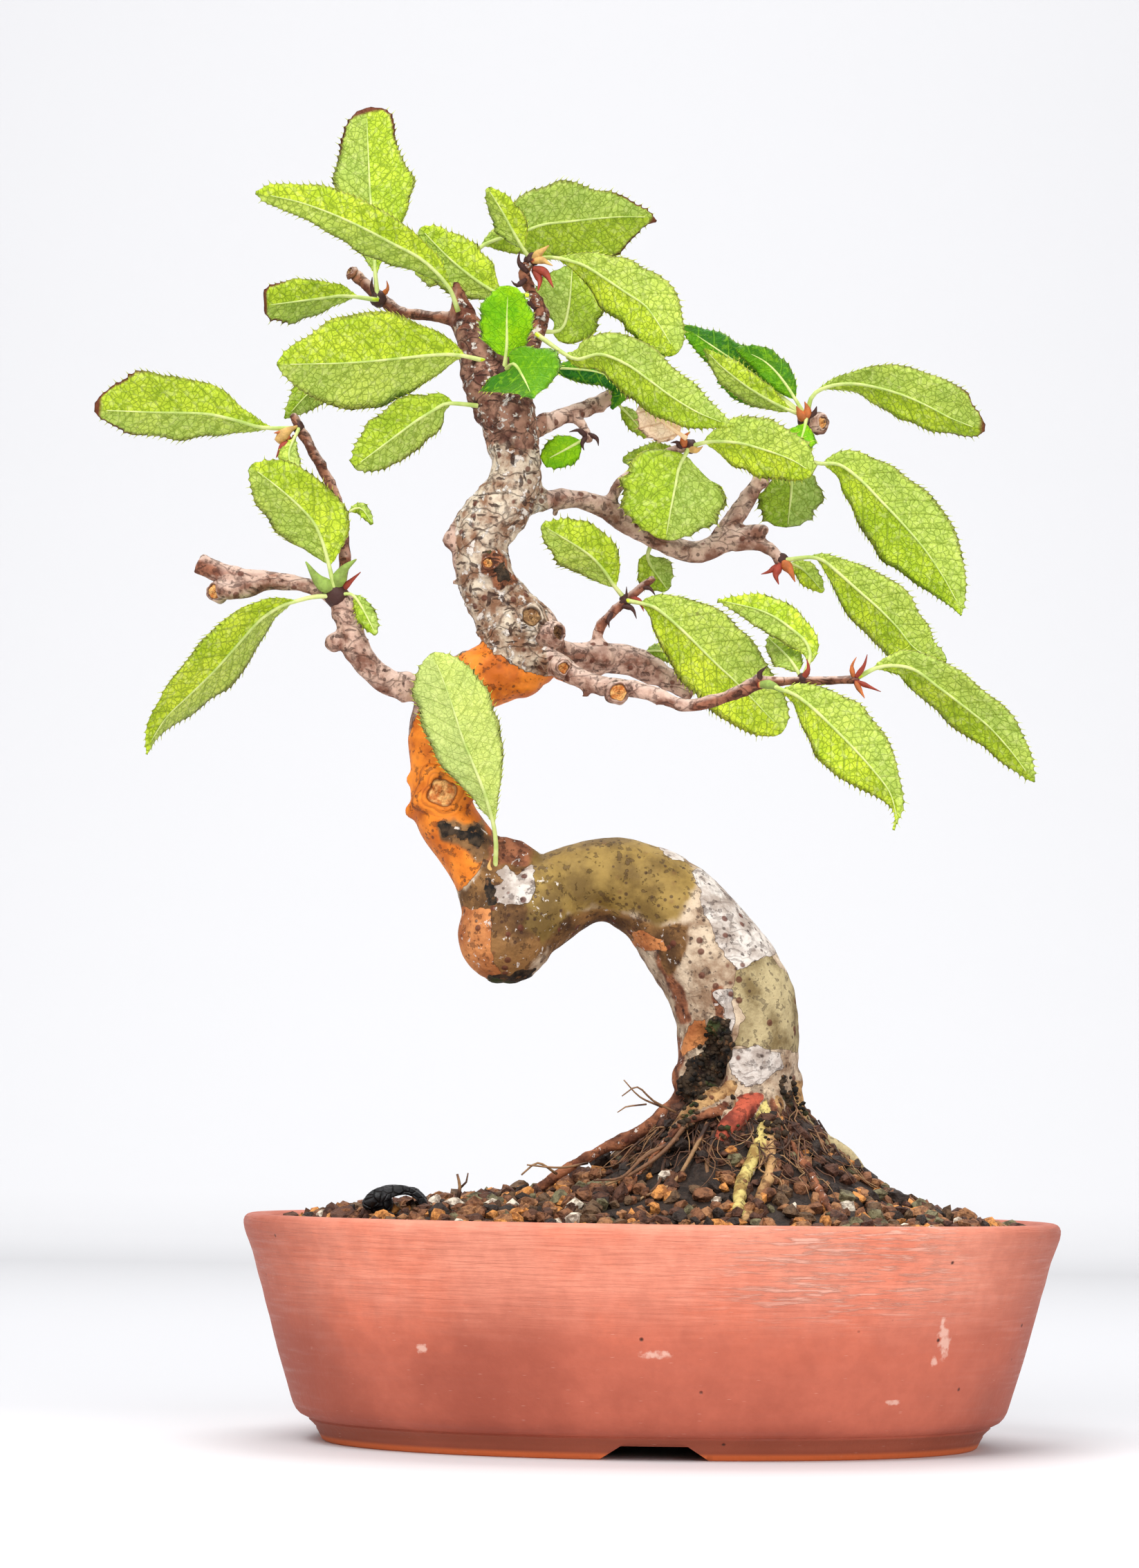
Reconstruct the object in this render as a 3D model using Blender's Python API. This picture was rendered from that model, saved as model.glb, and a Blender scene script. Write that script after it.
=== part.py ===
"""Chinese quince bonsai in an oval terracotta pot, at its real size.

Metres, +Z up, the front of the tree towards -Y. The lists below are in millimetres.
Places on the tree are given as on a front elevation (u to the right, v up), with a depth
behind that elevation, because that is how a tree is drawn before it is shaped.
"""
import math
import random

import bmesh
import bpy
from mathutils import Matrix, Vector

MM = 0.001
SEED = 37

# Sight line of the front elevation: the eye looks slightly up at the middle of the sheet
EYE_DISTANCE = 900.0
EYE_X = -19.5
EYE_Z = 70.0
SHEET_CENTRE_U = -18.0
SHEET_CENTRE_V = 147.0
SHEET_ROLL = math.radians(0.8)
SHEET_SCALE = 1.009
SHEET_FOOT = 1.9

# Fits
GAP = 0.3
WELD = 0.0004 * MM
CAP_WELD = 0.001 * MM

# Pot, insets are measured inwards from the rim's own oval
POT_HALF_LENGTH = 90.0
POT_HALF_DEPTH = 68.0
POT_HEIGHT = 49.2
POT_SIDES = 48
POT_OVAL_POWER = 2.15
POT_WALL = 5.0
POT_FLOOR_TOP = 9.0
POT_RECESS = 3.2
POT_INSIDE = [(12.0, 21.0), (18.5, POT_FLOOR_TOP)]
FOOT_INSET = 18.0
FOOT_WIDTH = 7.0
NOTCH_HALF_BOTTOM = 11.5
NOTCH_HALF_TOP = 7.0
NOTCH_HEIGHT = 3.0
NOTCH_DROP = 1.0
CUT_BEYOND = 5.0
DRAIN_X = 38.0
DRAIN_RADIUS = 6.0
SCREEN_SIZE = 19.0
SCREEN_THICKNESS = 1.0
SCREEN_CELLS = 5

# Soil mound
SOIL_RIM_LEVEL = 46.6
SOIL_DOME = 8.5
SOIL_DOME_POWER = 2.4
SOIL_PEAK = 27.0
SOIL_PEAK_SPREAD = 16.5
SOIL_PEAK_X = 18.5
SOIL_PEAK_Y = 0.0
SOIL_RINGS = 11
GRAIN_RELIEF = 1.1
SOIL_WALL_GAP = 0.6
SOIL_LOW_GAP = 0.4

# Leaves
BLADE_THICKNESS = 0.7
STALK_RADIUS = 0.75
TOOTH_DEPTH = 0.55
FOLD = 0.16
RIB_HALF_THICKNESS = 0.55
WAVE_TURNS = 9.0
WAVE_RIGHT = -0.8
BLADE_PEAK_POWER = 0.9
BLADE_ROUNDNESS = 0.72
BLUNT_FROM = 0.8
NARROWEST_BASE = 0.55
NARROWEST_TIP = 0.4
NARROWEST_TOOTH = 0.5
MIDRIB_STEP = 1.5
HEADING_REACH = 1.2
STALK_END = 0.9
STALK_SECTION = [(-0.87, 0.5), (0, 1), (0.87, 0.5), (0.87, -0.5), (0, -1), (-0.87, -0.5)]

COLOURS = {
    "terracotta": ((0.53, 0.15, 0.09), 0.75),
    "soil": ((0.12, 0.05, 0.03), 0.95),
    "bark": ((0.30, 0.24, 0.19), 0.8),
    "leaf_green": ((0.24, 0.42, 0.07), 0.5),
    "dead_leaf": ((0.75, 0.45, 0.25), 0.8),
    "black_bark": ((0.01, 0.01, 0.012), 0.5),
    "screen_plastic": ((0.02, 0.02, 0.02), 0.6),
}


def clear_scene():
    for thing in list(bpy.data.objects):
        bpy.data.objects.remove(thing, do_unlink=True)


def material(slot):
    found = bpy.data.materials.get(slot)
    if found:
        return found
    made = bpy.data.materials.new(slot)
    made.use_nodes = True
    shader = made.node_tree.nodes["Principled BSDF"]
    colour, roughness = COLOURS[slot]
    shader.inputs["Base Color"].default_value = (*colour, 1.0)
    shader.inputs["Roughness"].default_value = roughness
    shader.inputs["Metallic"].default_value = 0.0
    return made


def new_object(name, mesh, slot):
    made = bpy.data.objects.new(name, mesh)
    bpy.context.scene.collection.objects.link(made)
    mesh.materials.clear()
    mesh.materials.append(material(slot))
    return made


def object_from_bmesh(name, bm, slot):
    bmesh.ops.recalc_face_normals(bm, faces=bm.faces[:])
    mesh = bpy.data.meshes.new(name)
    bm.to_mesh(mesh)
    bm.free()
    return new_object(name, mesh, slot)


def bake(thing):
    """Replace an object by its evaluated mesh, with no modifiers left on it."""
    graph = bpy.context.evaluated_depsgraph_get()
    mesh = bpy.data.meshes.new_from_object(thing.evaluated_get(graph))
    name = thing.name
    slot = mesh.materials[0].name if mesh.materials and mesh.materials[0] else "bark"
    place = thing.matrix_world.copy()
    bpy.data.objects.remove(thing, do_unlink=True)
    mesh.transform(place)
    made = new_object(name, mesh, slot)
    made.name = name
    return made


def unite(name, pieces, solver="EXACT"):
    """Join overlapping closed pieces into one body with one Boolean union."""
    base = pieces[0]
    if len(pieces) > 1:
        group = bpy.data.collections.new(name + "_pieces")
        bpy.context.scene.collection.children.link(group)
        for piece in pieces[1:]:
            bpy.context.scene.collection.objects.unlink(piece)
            group.objects.link(piece)
        joiner = base.modifiers.new("join", "BOOLEAN")
        joiner.operation = "UNION"
        joiner.operand_type = "COLLECTION"
        joiner.collection = group
        joiner.solver = solver
        bpy.context.view_layer.update()
        base = bake(base)
        for piece in list(group.objects):
            bpy.data.objects.remove(piece, do_unlink=True)
        bpy.data.collections.remove(group)
    base.name = name
    return base


def cut(thing, cutter, solver="EXACT"):
    name = thing.name
    knife = thing.modifiers.new("cut", "BOOLEAN")
    knife.operation = "DIFFERENCE"
    knife.object = cutter
    knife.solver = solver
    bpy.context.view_layer.update()
    made = bake(thing)
    made.name = name
    return made


def drop_scraps(thing, weld=True):
    """Keep the largest body of a cut piece and clean its seams."""
    bm = bmesh.new()
    bm.from_mesh(thing.data)
    if weld:
        bmesh.ops.remove_doubles(bm, verts=bm.verts[:], dist=WELD)
        bmesh.ops.dissolve_degenerate(bm, edges=bm.edges[:], dist=WELD)
    unseen = set(bm.verts)
    islands = []
    while unseen:
        stack = [unseen.pop()]
        island = set(stack)
        while stack:
            for edge in stack.pop().link_edges:
                for vert in edge.verts:
                    if vert in unseen:
                        unseen.discard(vert)
                        island.add(vert)
                        stack.append(vert)
        islands.append(island)
    largest = max(islands, key=len)
    spare = [vert for vert in bm.verts if vert not in largest]
    bmesh.ops.delete(bm, geom=spare, context="VERTS")
    bmesh.ops.triangulate(bm, faces=bm.faces[:])
    bm.to_mesh(thing.data)
    bm.free()
    return thing


def seen(u, v, depth=0.0):
    """World point in metres that lines up with (u, v) of the elevation, at a depth behind it."""
    du = (u - SHEET_CENTRE_U) * SHEET_SCALE
    dv = (v - SHEET_CENTRE_V) * SHEET_SCALE
    right = math.cos(SHEET_ROLL) * du - math.sin(SHEET_ROLL) * dv
    up = math.sin(SHEET_ROLL) * du + math.cos(SHEET_ROLL) * dv
    rise = SHEET_CENTRE_V - EYE_Z
    pitch = math.atan2(rise, EYE_DISTANCE)
    ahead = EYE_DISTANCE - math.sin(pitch) * up
    reach = (EYE_DISTANCE + depth) / ahead
    height = EYE_Z + (rise + math.cos(pitch) * up) * reach - SHEET_FOOT
    return Vector((EYE_X + right * reach, depth, height)) * MM


def smooth_route(points, step):
    """Catmull-Rom curve through points of any length, sampled about every step."""
    rows = [Vector(p) for p in points]
    if len(rows) == 2:
        return rows
    rows = [rows[0] * 2 - rows[1]] + rows + [rows[-1] * 2 - rows[-2]]
    route = []
    for a, b, c, d in zip(rows, rows[1:], rows[2:], rows[3:]):
        count = max(1, round((c - b).length / step))
        for k in range(count):
            t = k / count
            route.append(0.5 * ((2 * b) + (c - a) * t + (2 * a - 5 * b + 4 * c - d) * t * t
                                + (3 * b - a - 3 * c + d) * t * t * t))
    route.append(rows[-2])
    return route


def ring_stack(name, rings, slot):
    """Closed body through rings of equal count, with a face over each end."""
    bm = bmesh.new()
    loops = [[bm.verts.new(p) for p in ring] for ring in rings]
    for low, high in zip(loops, loops[1:]):
        for k in range(len(low)):
            n = (k + 1) % len(low)
            bm.faces.new((low[k], low[n], high[n], high[k]))
    bm.faces.new(list(reversed(loops[0])))
    bm.faces.new(loops[-1])
    return object_from_bmesh(name, bm, slot)


# Pot

def oval_ring(inset, z, sides=POT_SIDES, shrink=1.0):
    """Points of the pot's oval, moved inwards by an inset, at a height."""
    ring = []
    for k in range(sides):
        angle = 2 * math.pi * k / sides
        c = math.cos(angle)
        s = math.sin(angle)
        x = (POT_HALF_LENGTH - inset) * math.copysign(abs(c) ** (2 / POT_OVAL_POWER), c)
        y = (POT_HALF_DEPTH - inset) * math.copysign(abs(s) ** (2 / POT_OVAL_POWER), s)
        ring.append(Vector((x * shrink, y * shrink, z)) * MM)
    return ring


def pot_profile():
    """Insets and heights from the middle of the underside, round the outside, to the inner floor."""
    foot_inner = FOOT_INSET + FOOT_WIDTH
    return [
        (foot_inner + 2.0, POT_RECESS), (foot_inner, 0.0), (FOOT_INSET, 0.0), (FOOT_INSET - 1.3, 3.0),
        (14.2, 5.0), (12.2, 6.8), (10.9, 9.6), (8.0, 19.0), (5.0, 30.0),
        (2.1, 40.5), (0.1, POT_HEIGHT - 2.6), (0.3, POT_HEIGHT - 0.8), (1.4, POT_HEIGHT), (3.6, POT_HEIGHT - 0.2),
        (POT_WALL, POT_HEIGHT - 1.6), *POT_INSIDE,
    ]


def trapezoid_bar(name, half_low, half_high, z_low, z_high, half_length):
    outline = [(-half_low, z_low), (half_low, z_low), (half_high, z_high), (-half_high, z_high)]
    rings = [[Vector((x, y, z)) * MM for x, z in outline] for y in (-half_length, half_length)]
    return ring_stack(name, rings, "terracotta")


def cylinder(name, x, y, z_low, z_high, radius, slot, sides=16):
    bm = bmesh.new()
    bmesh.ops.create_cone(bm, cap_ends=True, segments=sides, radius1=radius * MM, radius2=radius * MM,
                          depth=(z_high - z_low) * MM)
    bmesh.ops.translate(bm, verts=bm.verts[:], vec=Vector((x, y, (z_low + z_high) / 2)) * MM)
    return object_from_bmesh(name, bm, slot)


def build_pot():
    rings = [oval_ring(inset, z) for inset, z in pot_profile()]
    pot = ring_stack("pot", rings, "terracotta")
    slope = (NOTCH_HALF_BOTTOM - NOTCH_HALF_TOP) / NOTCH_HEIGHT
    cutters = [trapezoid_bar("foot_notch", NOTCH_HALF_BOTTOM + slope * NOTCH_DROP, NOTCH_HALF_TOP,
                             -NOTCH_DROP, NOTCH_HEIGHT, POT_HALF_DEPTH + CUT_BEYOND)]
    for side in (-1, 1):
        cutters.append(cylinder("drain_cutter", side * DRAIN_X, 0, -NOTCH_DROP, POT_FLOOR_TOP + NOTCH_DROP,
                                DRAIN_RADIUS, "terracotta"))
    for cutter in cutters:
        pot = cut(pot, cutter)
        bpy.data.objects.remove(cutter, do_unlink=True)
    return drop_scraps(pot)


def build_screen(name, side):
    """Plastic mesh square that lies over a drain hole and keeps the soil in."""
    bm = bmesh.new()
    bmesh.ops.create_grid(bm, x_segments=SCREEN_CELLS, y_segments=SCREEN_CELLS, size=SCREEN_SIZE / 2 * MM)
    cell = SCREEN_SIZE / SCREEN_CELLS * MM
    windows = []
    for face in bm.faces:
        middle = face.calc_center_median()
        column = round((middle.x + SCREEN_SIZE / 2 * MM) / cell - 0.5)
        row = round((middle.y + SCREEN_SIZE / 2 * MM) / cell - 0.5)
        if column % 2 == 1 and row % 2 == 1:
            windows.append(face)
    bmesh.ops.delete(bm, geom=windows, context="FACES")
    bmesh.ops.solidify(bm, geom=bm.faces[:], thickness=SCREEN_THICKNESS * MM)
    low = min(vert.co.z for vert in bm.verts)
    place = Vector((side * DRAIN_X * MM, 0, (POT_FLOOR_TOP + GAP) * MM - low))
    bmesh.ops.translate(bm, verts=bm.verts[:], vec=place)
    return object_from_bmesh(name, bm, "screen_plastic")


# Wood, each row is (u, v, depth, radius)

TRUNK_LOW = [
    (20, 56, 0, 16.0), (20, 66, 0, 15.0), (19.3, 74, 0, 14.0), (18.8, 81, 0, 13.6), (19.2, 89, 0, 13.5),
    (18.5, 97.5, 0, 13.6), (15.3, 105, 0.5, 13.0), (10.6, 111.5, 1, 12.4), (3.2, 120.3, 2, 11.2),
    (-2.5, 123.9, 2, 10.2), (-8, 125.9, 2, 9.6), (-14, 125.6, 1, 9.2), (-19.5, 123.2, 0, 9.4),
    (-25.5, 119.6, -2, 10.2), (-31, 116.4, -3.5, 10.2), (-34, 115.6, -4, 8.6),
]
TRUNK_NECK = [
    (-33, 116, -4, 8.8), (-34.8, 122, -3.5, 7.8), (-37.4, 128, -3, 7.0), (-41.2, 133.5, -2, 6.9),
    (-45, 139, -1, 7.0), (-46.4, 144.5, -0.5, 6.7), (-47.2, 151, 0, 6.2), (-47.8, 158, 0, 6.0),
    (-46, 164, 0.5, 6.3), (-41.7, 168.5, 1, 6.8), (-36, 171, 2, 7.2), (-30, 173.5, 3, 7.4), (-26, 176, 3, 7.8),
]
TRUNK_HIGH = [
    (-25.5, 174, 3, 7.6), (-28.5, 179.5, 3, 8.6), (-32.2, 184.7, 3, 7.6), (-35.3, 190, 2.5, 6.7),
    (-37.5, 196.2, 2, 6.4), (-37.3, 202.3, 1.5, 6.6), (-33.5, 207.3, 1, 6.8), (-30.4, 212.6, 1, 6.1),
    (-30, 218.8, 0.5, 5.7), (-31, 225.2, 0, 6.1), (-33.2, 231.7, 0, 6.7), (-36.5, 238.7, 0, 6.0),
    (-39, 245, 0.5, 4.2), (-41.5, 250, 1, 3.0),
]
BRANCHES = {
    "left": [(-44.5, 167.2, 0, 3.5), (-50.6, 167.9, -2, 2.9), (-56.7, 169, -4, 3.0), (-61.5, 172.2, -5, 2.9),
             (-65.2, 177.5, -6, 3.2), (-66.8, 183, -6, 2.9), (-69, 188.5, -6, 2.9)],
    "left_arm": [(-68, 187.5, -6, 2.6), (-75, 190.7, -6, 1.9), (-82.7, 191.9, -6.5, 2.1),
                 (-91, 192.3, -7, 2.6), (-100.1, 195.9, -8, 2.1)],
    "left_stub": [(-87, 191.5, -7, 2.2), (-91.5, 190, -8.5, 2.2), (-96, 189.6, -10, 2.0)],
    "left_shoot": [(-68.9, 187.5, -6, 1.5), (-67.7, 197.7, -5.5, 1.1), (-68.3, 205.4, -5, 1.1),
                   (-70.8, 213, -5, 1.05), (-75, 221, -5, 1.0), (-79, 228.3, -5, 0.85)],
    "right_low": [(-27, 177, 0, 3.0), (-20.5, 173.2, -6, 2.6), (-17, 171, -9, 2.2), (-10.8, 168.7, -12, 1.9),
                  (-3.2, 167.9, -15, 1.6), (2.9, 166, -17, 1.45), (7.5, 164.2, -18.5, 1.4),
                  (13.6, 165.3, -20, 1.25), (19.7, 167.5, -21.5, 1.25), (24.3, 169.5, -22, 1.3),
                  (33.5, 169.8, -23.5, 0.95), (45.4, 170, -25, 0.9)],
    "dead_stub": [(-26, 175, 5, 3.6), (-17, 175.3, 9, 3.1), (-10, 175, 12, 3.2), (-4.5, 174.3, 14, 3.4),
                  (1.4, 171.5, 16, 2.6), (5, 169.5, 17, 2.2), (8, 167, 17.5, 1.4)],
    "dead_stub_twig": [(-12.7, 174.5, 12, 1.2), (-11.2, 181.7, 10, 1.0), (-7.8, 185.5, 9, 1.0),
                       (-4, 188.9, 8.5, 0.9), (0.2, 192.2, 8, 0.8)],
    "right_high": [(-31, 207.8, 1, 2.7), (-23.8, 209.7, 4, 2.0), (-17, 210, 7, 2.0), (-10.8, 208.4, 10, 2.1),
                   (-5.5, 205.1, 12, 2.4), (1.4, 201.1, 14, 2.3), (9.5, 198.2, 15, 2.4), (15.1, 200, 15, 2.2),
                   (22, 202.3, 14, 2.0), (24.9, 203.1, 13.5, 1.2)],
    "right_high_tip": [(18, 201, 14.5, 1.7), (26.1, 199, 14, 1.3), (28.8, 195.9, 13.5, 1.4)],
    "right_high_rise": [(14.5, 200, 15, 2.3), (20, 207.7, 16, 2.1), (24.3, 214.2, 17, 1.9),
                        (30.4, 220.7, 18, 1.6), (34.2, 225.6, 18.5, 1.6), (38.5, 227.6, 19, 1.7)],
    "right_high_twig": [(-9.3, 207.5, 10, 1.4), (-8, 211.5, 9, 1.3), (-5.5, 214.5, 8, 1.3),
                        (-0.2, 217.9, 7, 1.25), (5.2, 220.7, 6, 1.2), (8.5, 221.8, 5.5, 1.1)],
    "right_top": [(-31, 223, 1, 2.4), (-26, 225.5, 5, 2.0), (-21.5, 227.5, 9, 1.9), (-13.9, 230.1, 14, 1.8),
                  (-8.6, 232.6, 17, 1.7), (-3.2, 234.1, 20, 1.4)],
    "right_top_stub": [(-12, 230.5, 15.2, 1.5), (-7, 234.5, 14, 1.3), (-2.4, 237, 13, 1.2)],
    "right_top_low": [(-17.5, 228.8, 12, 1.2), (-15, 226, 10.5, 1.0), (-14, 223.3, 9.5, 0.95)],
    "crown": [(-34.5, 236, 0, 2.4), (-28, 242.5, 4, 1.6), (-25, 246.5, 6, 1.5), (-24.3, 250.5, 6, 1.4),
              (-25.8, 255, 5, 1.3), (-28, 259.5, 4, 1.2), (-26.5, 262.8, 3, 1.2)],
    "crown_left": [(-39.5, 246, 1, 2.4), (-43, 249.5, 2, 1.6), (-50.6, 250.6, 5, 1.05), (-55.9, 251.5, 7, 1.1),
                   (-59.7, 254.3, 8, 1.4), (-63, 257.5, 9, 1.5), (-66, 260.1, 10, 1.4)],
    "leader": [(-41, 248.5, 1, 2.8), (-42.3, 254, 1.5, 2.1), (-43.3, 258.5, 2, 1.7), (-44.8, 263.5, 2.5, 1.3)],
}
ROOTS = [
    [(19, 86, -9, 2.6), (13, 77.5, -13, 2.1), (9, 73.7, -15, 1.9), (4, 65, -17, 1.6)],
    [(27, 80, -8, 3.0), (22.3, 75.5, -13, 2.7), (17.7, 70.5, -17, 2.5), (15, 63, -18, 2.2)],
    [(25, 78, -11, 1.7), (24.1, 70.3, -16.5, 1.4), (21.9, 63.7, -20.5, 1.4), (21, 56, -24, 1.3),
     (21, 50, -26, 1.2)],
    [(27.5, 78, -9, 1.5), (27, 69.7, -17, 1.2), (26.6, 62, -23, 1.15), (23.1, 54.6, -28, 1.1),
     (21.5, 50, -30, 1.0)],
    [(26.8, 78, -10, 1.2), (30.6, 67.2, -17.5, 0.9), (35.3, 61.4, -23, 0.9), (38.2, 55, -28, 0.85),
     (39.5, 50, -30, 0.8)],
    [(29, 80, -2, 2.6), (33.5, 71.5, -4, 2.1), (37.5, 67.8, -5, 1.9), (44, 63, -6, 1.6), (50, 55, -7, 1.2)],
    [(10, 80, -3, 2.8), (4.6, 75, -4.5, 2.1), (-3.8, 69.6, -6, 1.5), (-10.8, 66.3, -7.5, 1.3),
     (-17.9, 62.4, -8.5, 1.1), (-25, 57.5, -9, 0.9)],
    [(17, 75.5, -13, 1.1), (9, 73.6, -16.5, 0.85), (4.3, 70.3, -17.5, 0.85), (0.8, 65.6, -19, 0.8),
     (-4, 58, -20, 0.8)],
    [(13, 80, 8, 3.0), (7, 70.5, 17, 2.2), (1, 61, 26, 1.5), (-3, 55, 31, 1.2)],
    [(23, 80, 9, 3.2), (27, 70, 18, 2.4), (31, 60, 27, 1.7), (34, 53, 33, 1.3)],
    [(28, 80, 4, 2.8), (36, 70, 9, 2.1), (45, 62.5, 14, 1.4), (52, 54, 18, 1.0)],
]
# Knots, stubs and scars: (u, v, depth, radius, flatness along the line of sight)
KNOTS = [
    (-46, 145, -5.6, 4.0, 0.55), (-35.5, 195.4, -4.2, 3.0, 0.7), (-26.4, 184, -3.6, 2.6, 0.9),
    (-21.6, 180.3, -2.5, 2.8, 1.0), (-20, 173.2, -8, 2.6, 1.0), (-43.8, 201.2, 0.5, 3.0, 1.0),
    (-52.6, 141, 0, 1.9, 1.0), (-52.4, 148, 0, 1.9, 1.0), (-70, 178.4, -6, 2.2, 1.0),
    (-7.3, 167.7, -14, 2.1, 1.0), (-36, 108.8, -4, 3.2, 1.0), (30.6, 81.5, 0, 3.0, 1.0),
    (-28.4, 129, -3, 5.3, 0.9), (-31.9, 113.9, -4, 11.0, 0.95), (9, 82, -6, 4.6, 1.0), (26, 216.5, 16.5, 2.3, 1.0),
]
HOLLOW = (12.8, 86.5, -12.5, 4.2, 7.6)

TRUNK_STEP = 5.6
BRANCH_STEP = 5.0
ROOT_STEP = 7.0
BIG_KNOT = 2.7


def tube(name, rows, grow, resolution, step):
    """Tapered round limb along its rows, thicker by grow all round."""
    placed = []
    for u, v, depth, radius in rows:
        point = seen(u, v, depth)
        placed.append((point.x / MM, point.y / MM, point.z / MM, radius))
    route = smooth_route(placed, step)
    curve = bpy.data.curves.new(name, "CURVE")
    curve.dimensions = "3D"
    curve.bevel_depth = MM
    curve.bevel_resolution = resolution
    curve.use_fill_caps = True
    spline = curve.splines.new("POLY")
    spline.points.add(len(route) - 1)
    first = Vector(route[0][:3]) - Vector(route[1][:3])
    last = Vector(route[-1][:3]) - Vector(route[-2][:3])
    for k, row in enumerate(route):
        place = Vector(row[:3])
        if k == 0:
            place += first.normalized() * grow
        if k == len(route) - 1:
            place += last.normalized() * grow
        spline.points[k].co = (*(place * MM), 1.0)
        spline.points[k].radius = row[3] + grow
    made = bpy.data.objects.new(name, curve)
    bpy.context.scene.collection.objects.link(made)
    bpy.context.view_layer.update()
    made = bake(made)
    bm = bmesh.new()
    bm.from_mesh(made.data)
    bmesh.ops.remove_doubles(bm, verts=bm.verts[:], dist=CAP_WELD)
    bmesh.ops.recalc_face_normals(bm, faces=bm.faces[:])
    bm.to_mesh(made.data)
    bm.free()
    return made


def lump(name, place, radii, slot, fineness=2):
    bm = bmesh.new()
    bmesh.ops.create_icosphere(bm, subdivisions=fineness, radius=MM)
    bmesh.ops.scale(bm, verts=bm.verts[:], vec=radii)
    bmesh.ops.translate(bm, verts=bm.verts[:], vec=place)
    return object_from_bmesh(name, bm, slot)


def build_wood(name, grow):
    """Trunk, branches and roots as one grown body. A grown copy serves as a cutter."""
    pieces = [
        tube("trunk_low", TRUNK_LOW, grow, 4, TRUNK_STEP),
        tube("trunk_neck", TRUNK_NECK, grow, 2, TRUNK_STEP),
        tube("trunk_high", TRUNK_HIGH, grow, 2, TRUNK_STEP),
    ]
    for limb, rows in BRANCHES.items():
        pieces.append(tube(limb, rows, grow, 1, BRANCH_STEP))
    for k, rows in enumerate(ROOTS):
        pieces.append(tube("root_%02d" % k, rows, grow, 1, ROOT_STEP))
    for k, (u, v, depth, radius, flat) in enumerate(KNOTS):
        size = radius + grow
        pieces.append(lump("knot_%02d" % k, seen(u, v, depth), (size, size * flat, size), "bark",
                           2 if radius > BIG_KNOT else 1))
    wood = unite(name, pieces)
    u, v, depth, half_width, half_height = HOLLOW
    scoop = lump("hollow", seen(u, v, depth), (half_width - grow, half_width - grow, half_height - grow),
                 "bark")
    wood = cut(wood, scoop)
    bpy.data.objects.remove(scoop, do_unlink=True)
    return drop_scraps(wood)


# Soil

def mound_height(x, y):
    """Soil level at a place on the surface, before the relief of the grains."""
    radius = math.hypot(x / (POT_HALF_LENGTH - POT_WALL), y / (POT_HALF_DEPTH - POT_WALL))
    dome = SOIL_DOME * max(0.0, 1 - radius ** SOIL_DOME_POWER)
    away = ((x - SOIL_PEAK_X) ** 2 + (y - SOIL_PEAK_Y) ** 2) / (2 * SOIL_PEAK_SPREAD ** 2)
    return SOIL_RIM_LEVEL + dome + SOIL_PEAK * math.exp(-away)


def build_soil():
    rng = random.Random(SEED)
    inside = list(reversed(POT_INSIDE))
    rings = [oval_ring(inset + SOIL_LOW_GAP, z + (GAP if k == 0 else 0)) for k, (inset, z) in enumerate(inside)]
    wall_inset = POT_WALL + SOIL_WALL_GAP
    for k in range(SOIL_RINGS):
        shrink = 1 - k / SOIL_RINGS
        ring = oval_ring(wall_inset, 0, shrink=shrink)
        for place in ring:
            bump = 0.0 if k == 0 else rng.uniform(-GRAIN_RELIEF, GRAIN_RELIEF)
            place.z = (mound_height(place.x / MM, place.y / MM) + bump) * MM
        rings.append(ring)
    return ring_stack("soil", rings, "soil")


def box(name, low, high, slot):
    bm = bmesh.new()
    bmesh.ops.create_cube(bm, size=1.0)
    size = Vector(high) - Vector(low)
    bmesh.ops.scale(bm, verts=bm.verts[:], vec=size * MM)
    bmesh.ops.translate(bm, verts=bm.verts[:], vec=(Vector(low) + Vector(high)) / 2 * MM)
    return object_from_bmesh(name, bm, slot)


# Curled chip of black bark that lies on the soil

CHIP_CENTRE = (-56.5, 54.4, -22)
CHIP_HALF_WIDTH = 6.2
CHIP_RISE = 4.4
CHIP_LENGTH = 9.0
CHIP_THICKNESS = 2.0
CHIP_SKEW = 0.25
CHIP_SIDES = 10
CHIP_SWEEP = math.radians(204)


def build_chip(name, grow):
    place = seen(*CHIP_CENTRE) / MM
    wall = CHIP_THICKNESS / 2 + grow
    outer = []
    inner = []
    for k in range(CHIP_SIDES + 1):
        sweep = CHIP_SWEEP + 2 * grow / CHIP_RISE
        angle = (math.pi - sweep) / 2 + sweep * k / CHIP_SIDES
        c = math.cos(angle)
        s = math.sin(angle)
        outer.append(((CHIP_HALF_WIDTH + wall) * c, (CHIP_RISE + wall) * s))
        inner.append(((CHIP_HALF_WIDTH - wall) * c, (CHIP_RISE - wall) * s))
    outline = outer + list(reversed(inner))
    rings = []
    for y in (-CHIP_LENGTH / 2 - grow, CHIP_LENGTH / 2 + grow):
        rings.append([Vector((place.x + x, place.y + y + CHIP_SKEW * x, place.z + z)) * MM for x, z in outline])
    return ring_stack(name, rings, "black_bark")


# Leaves: midrib points (u, v), depth at base and tip, width, turn in degrees, stalk length

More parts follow.
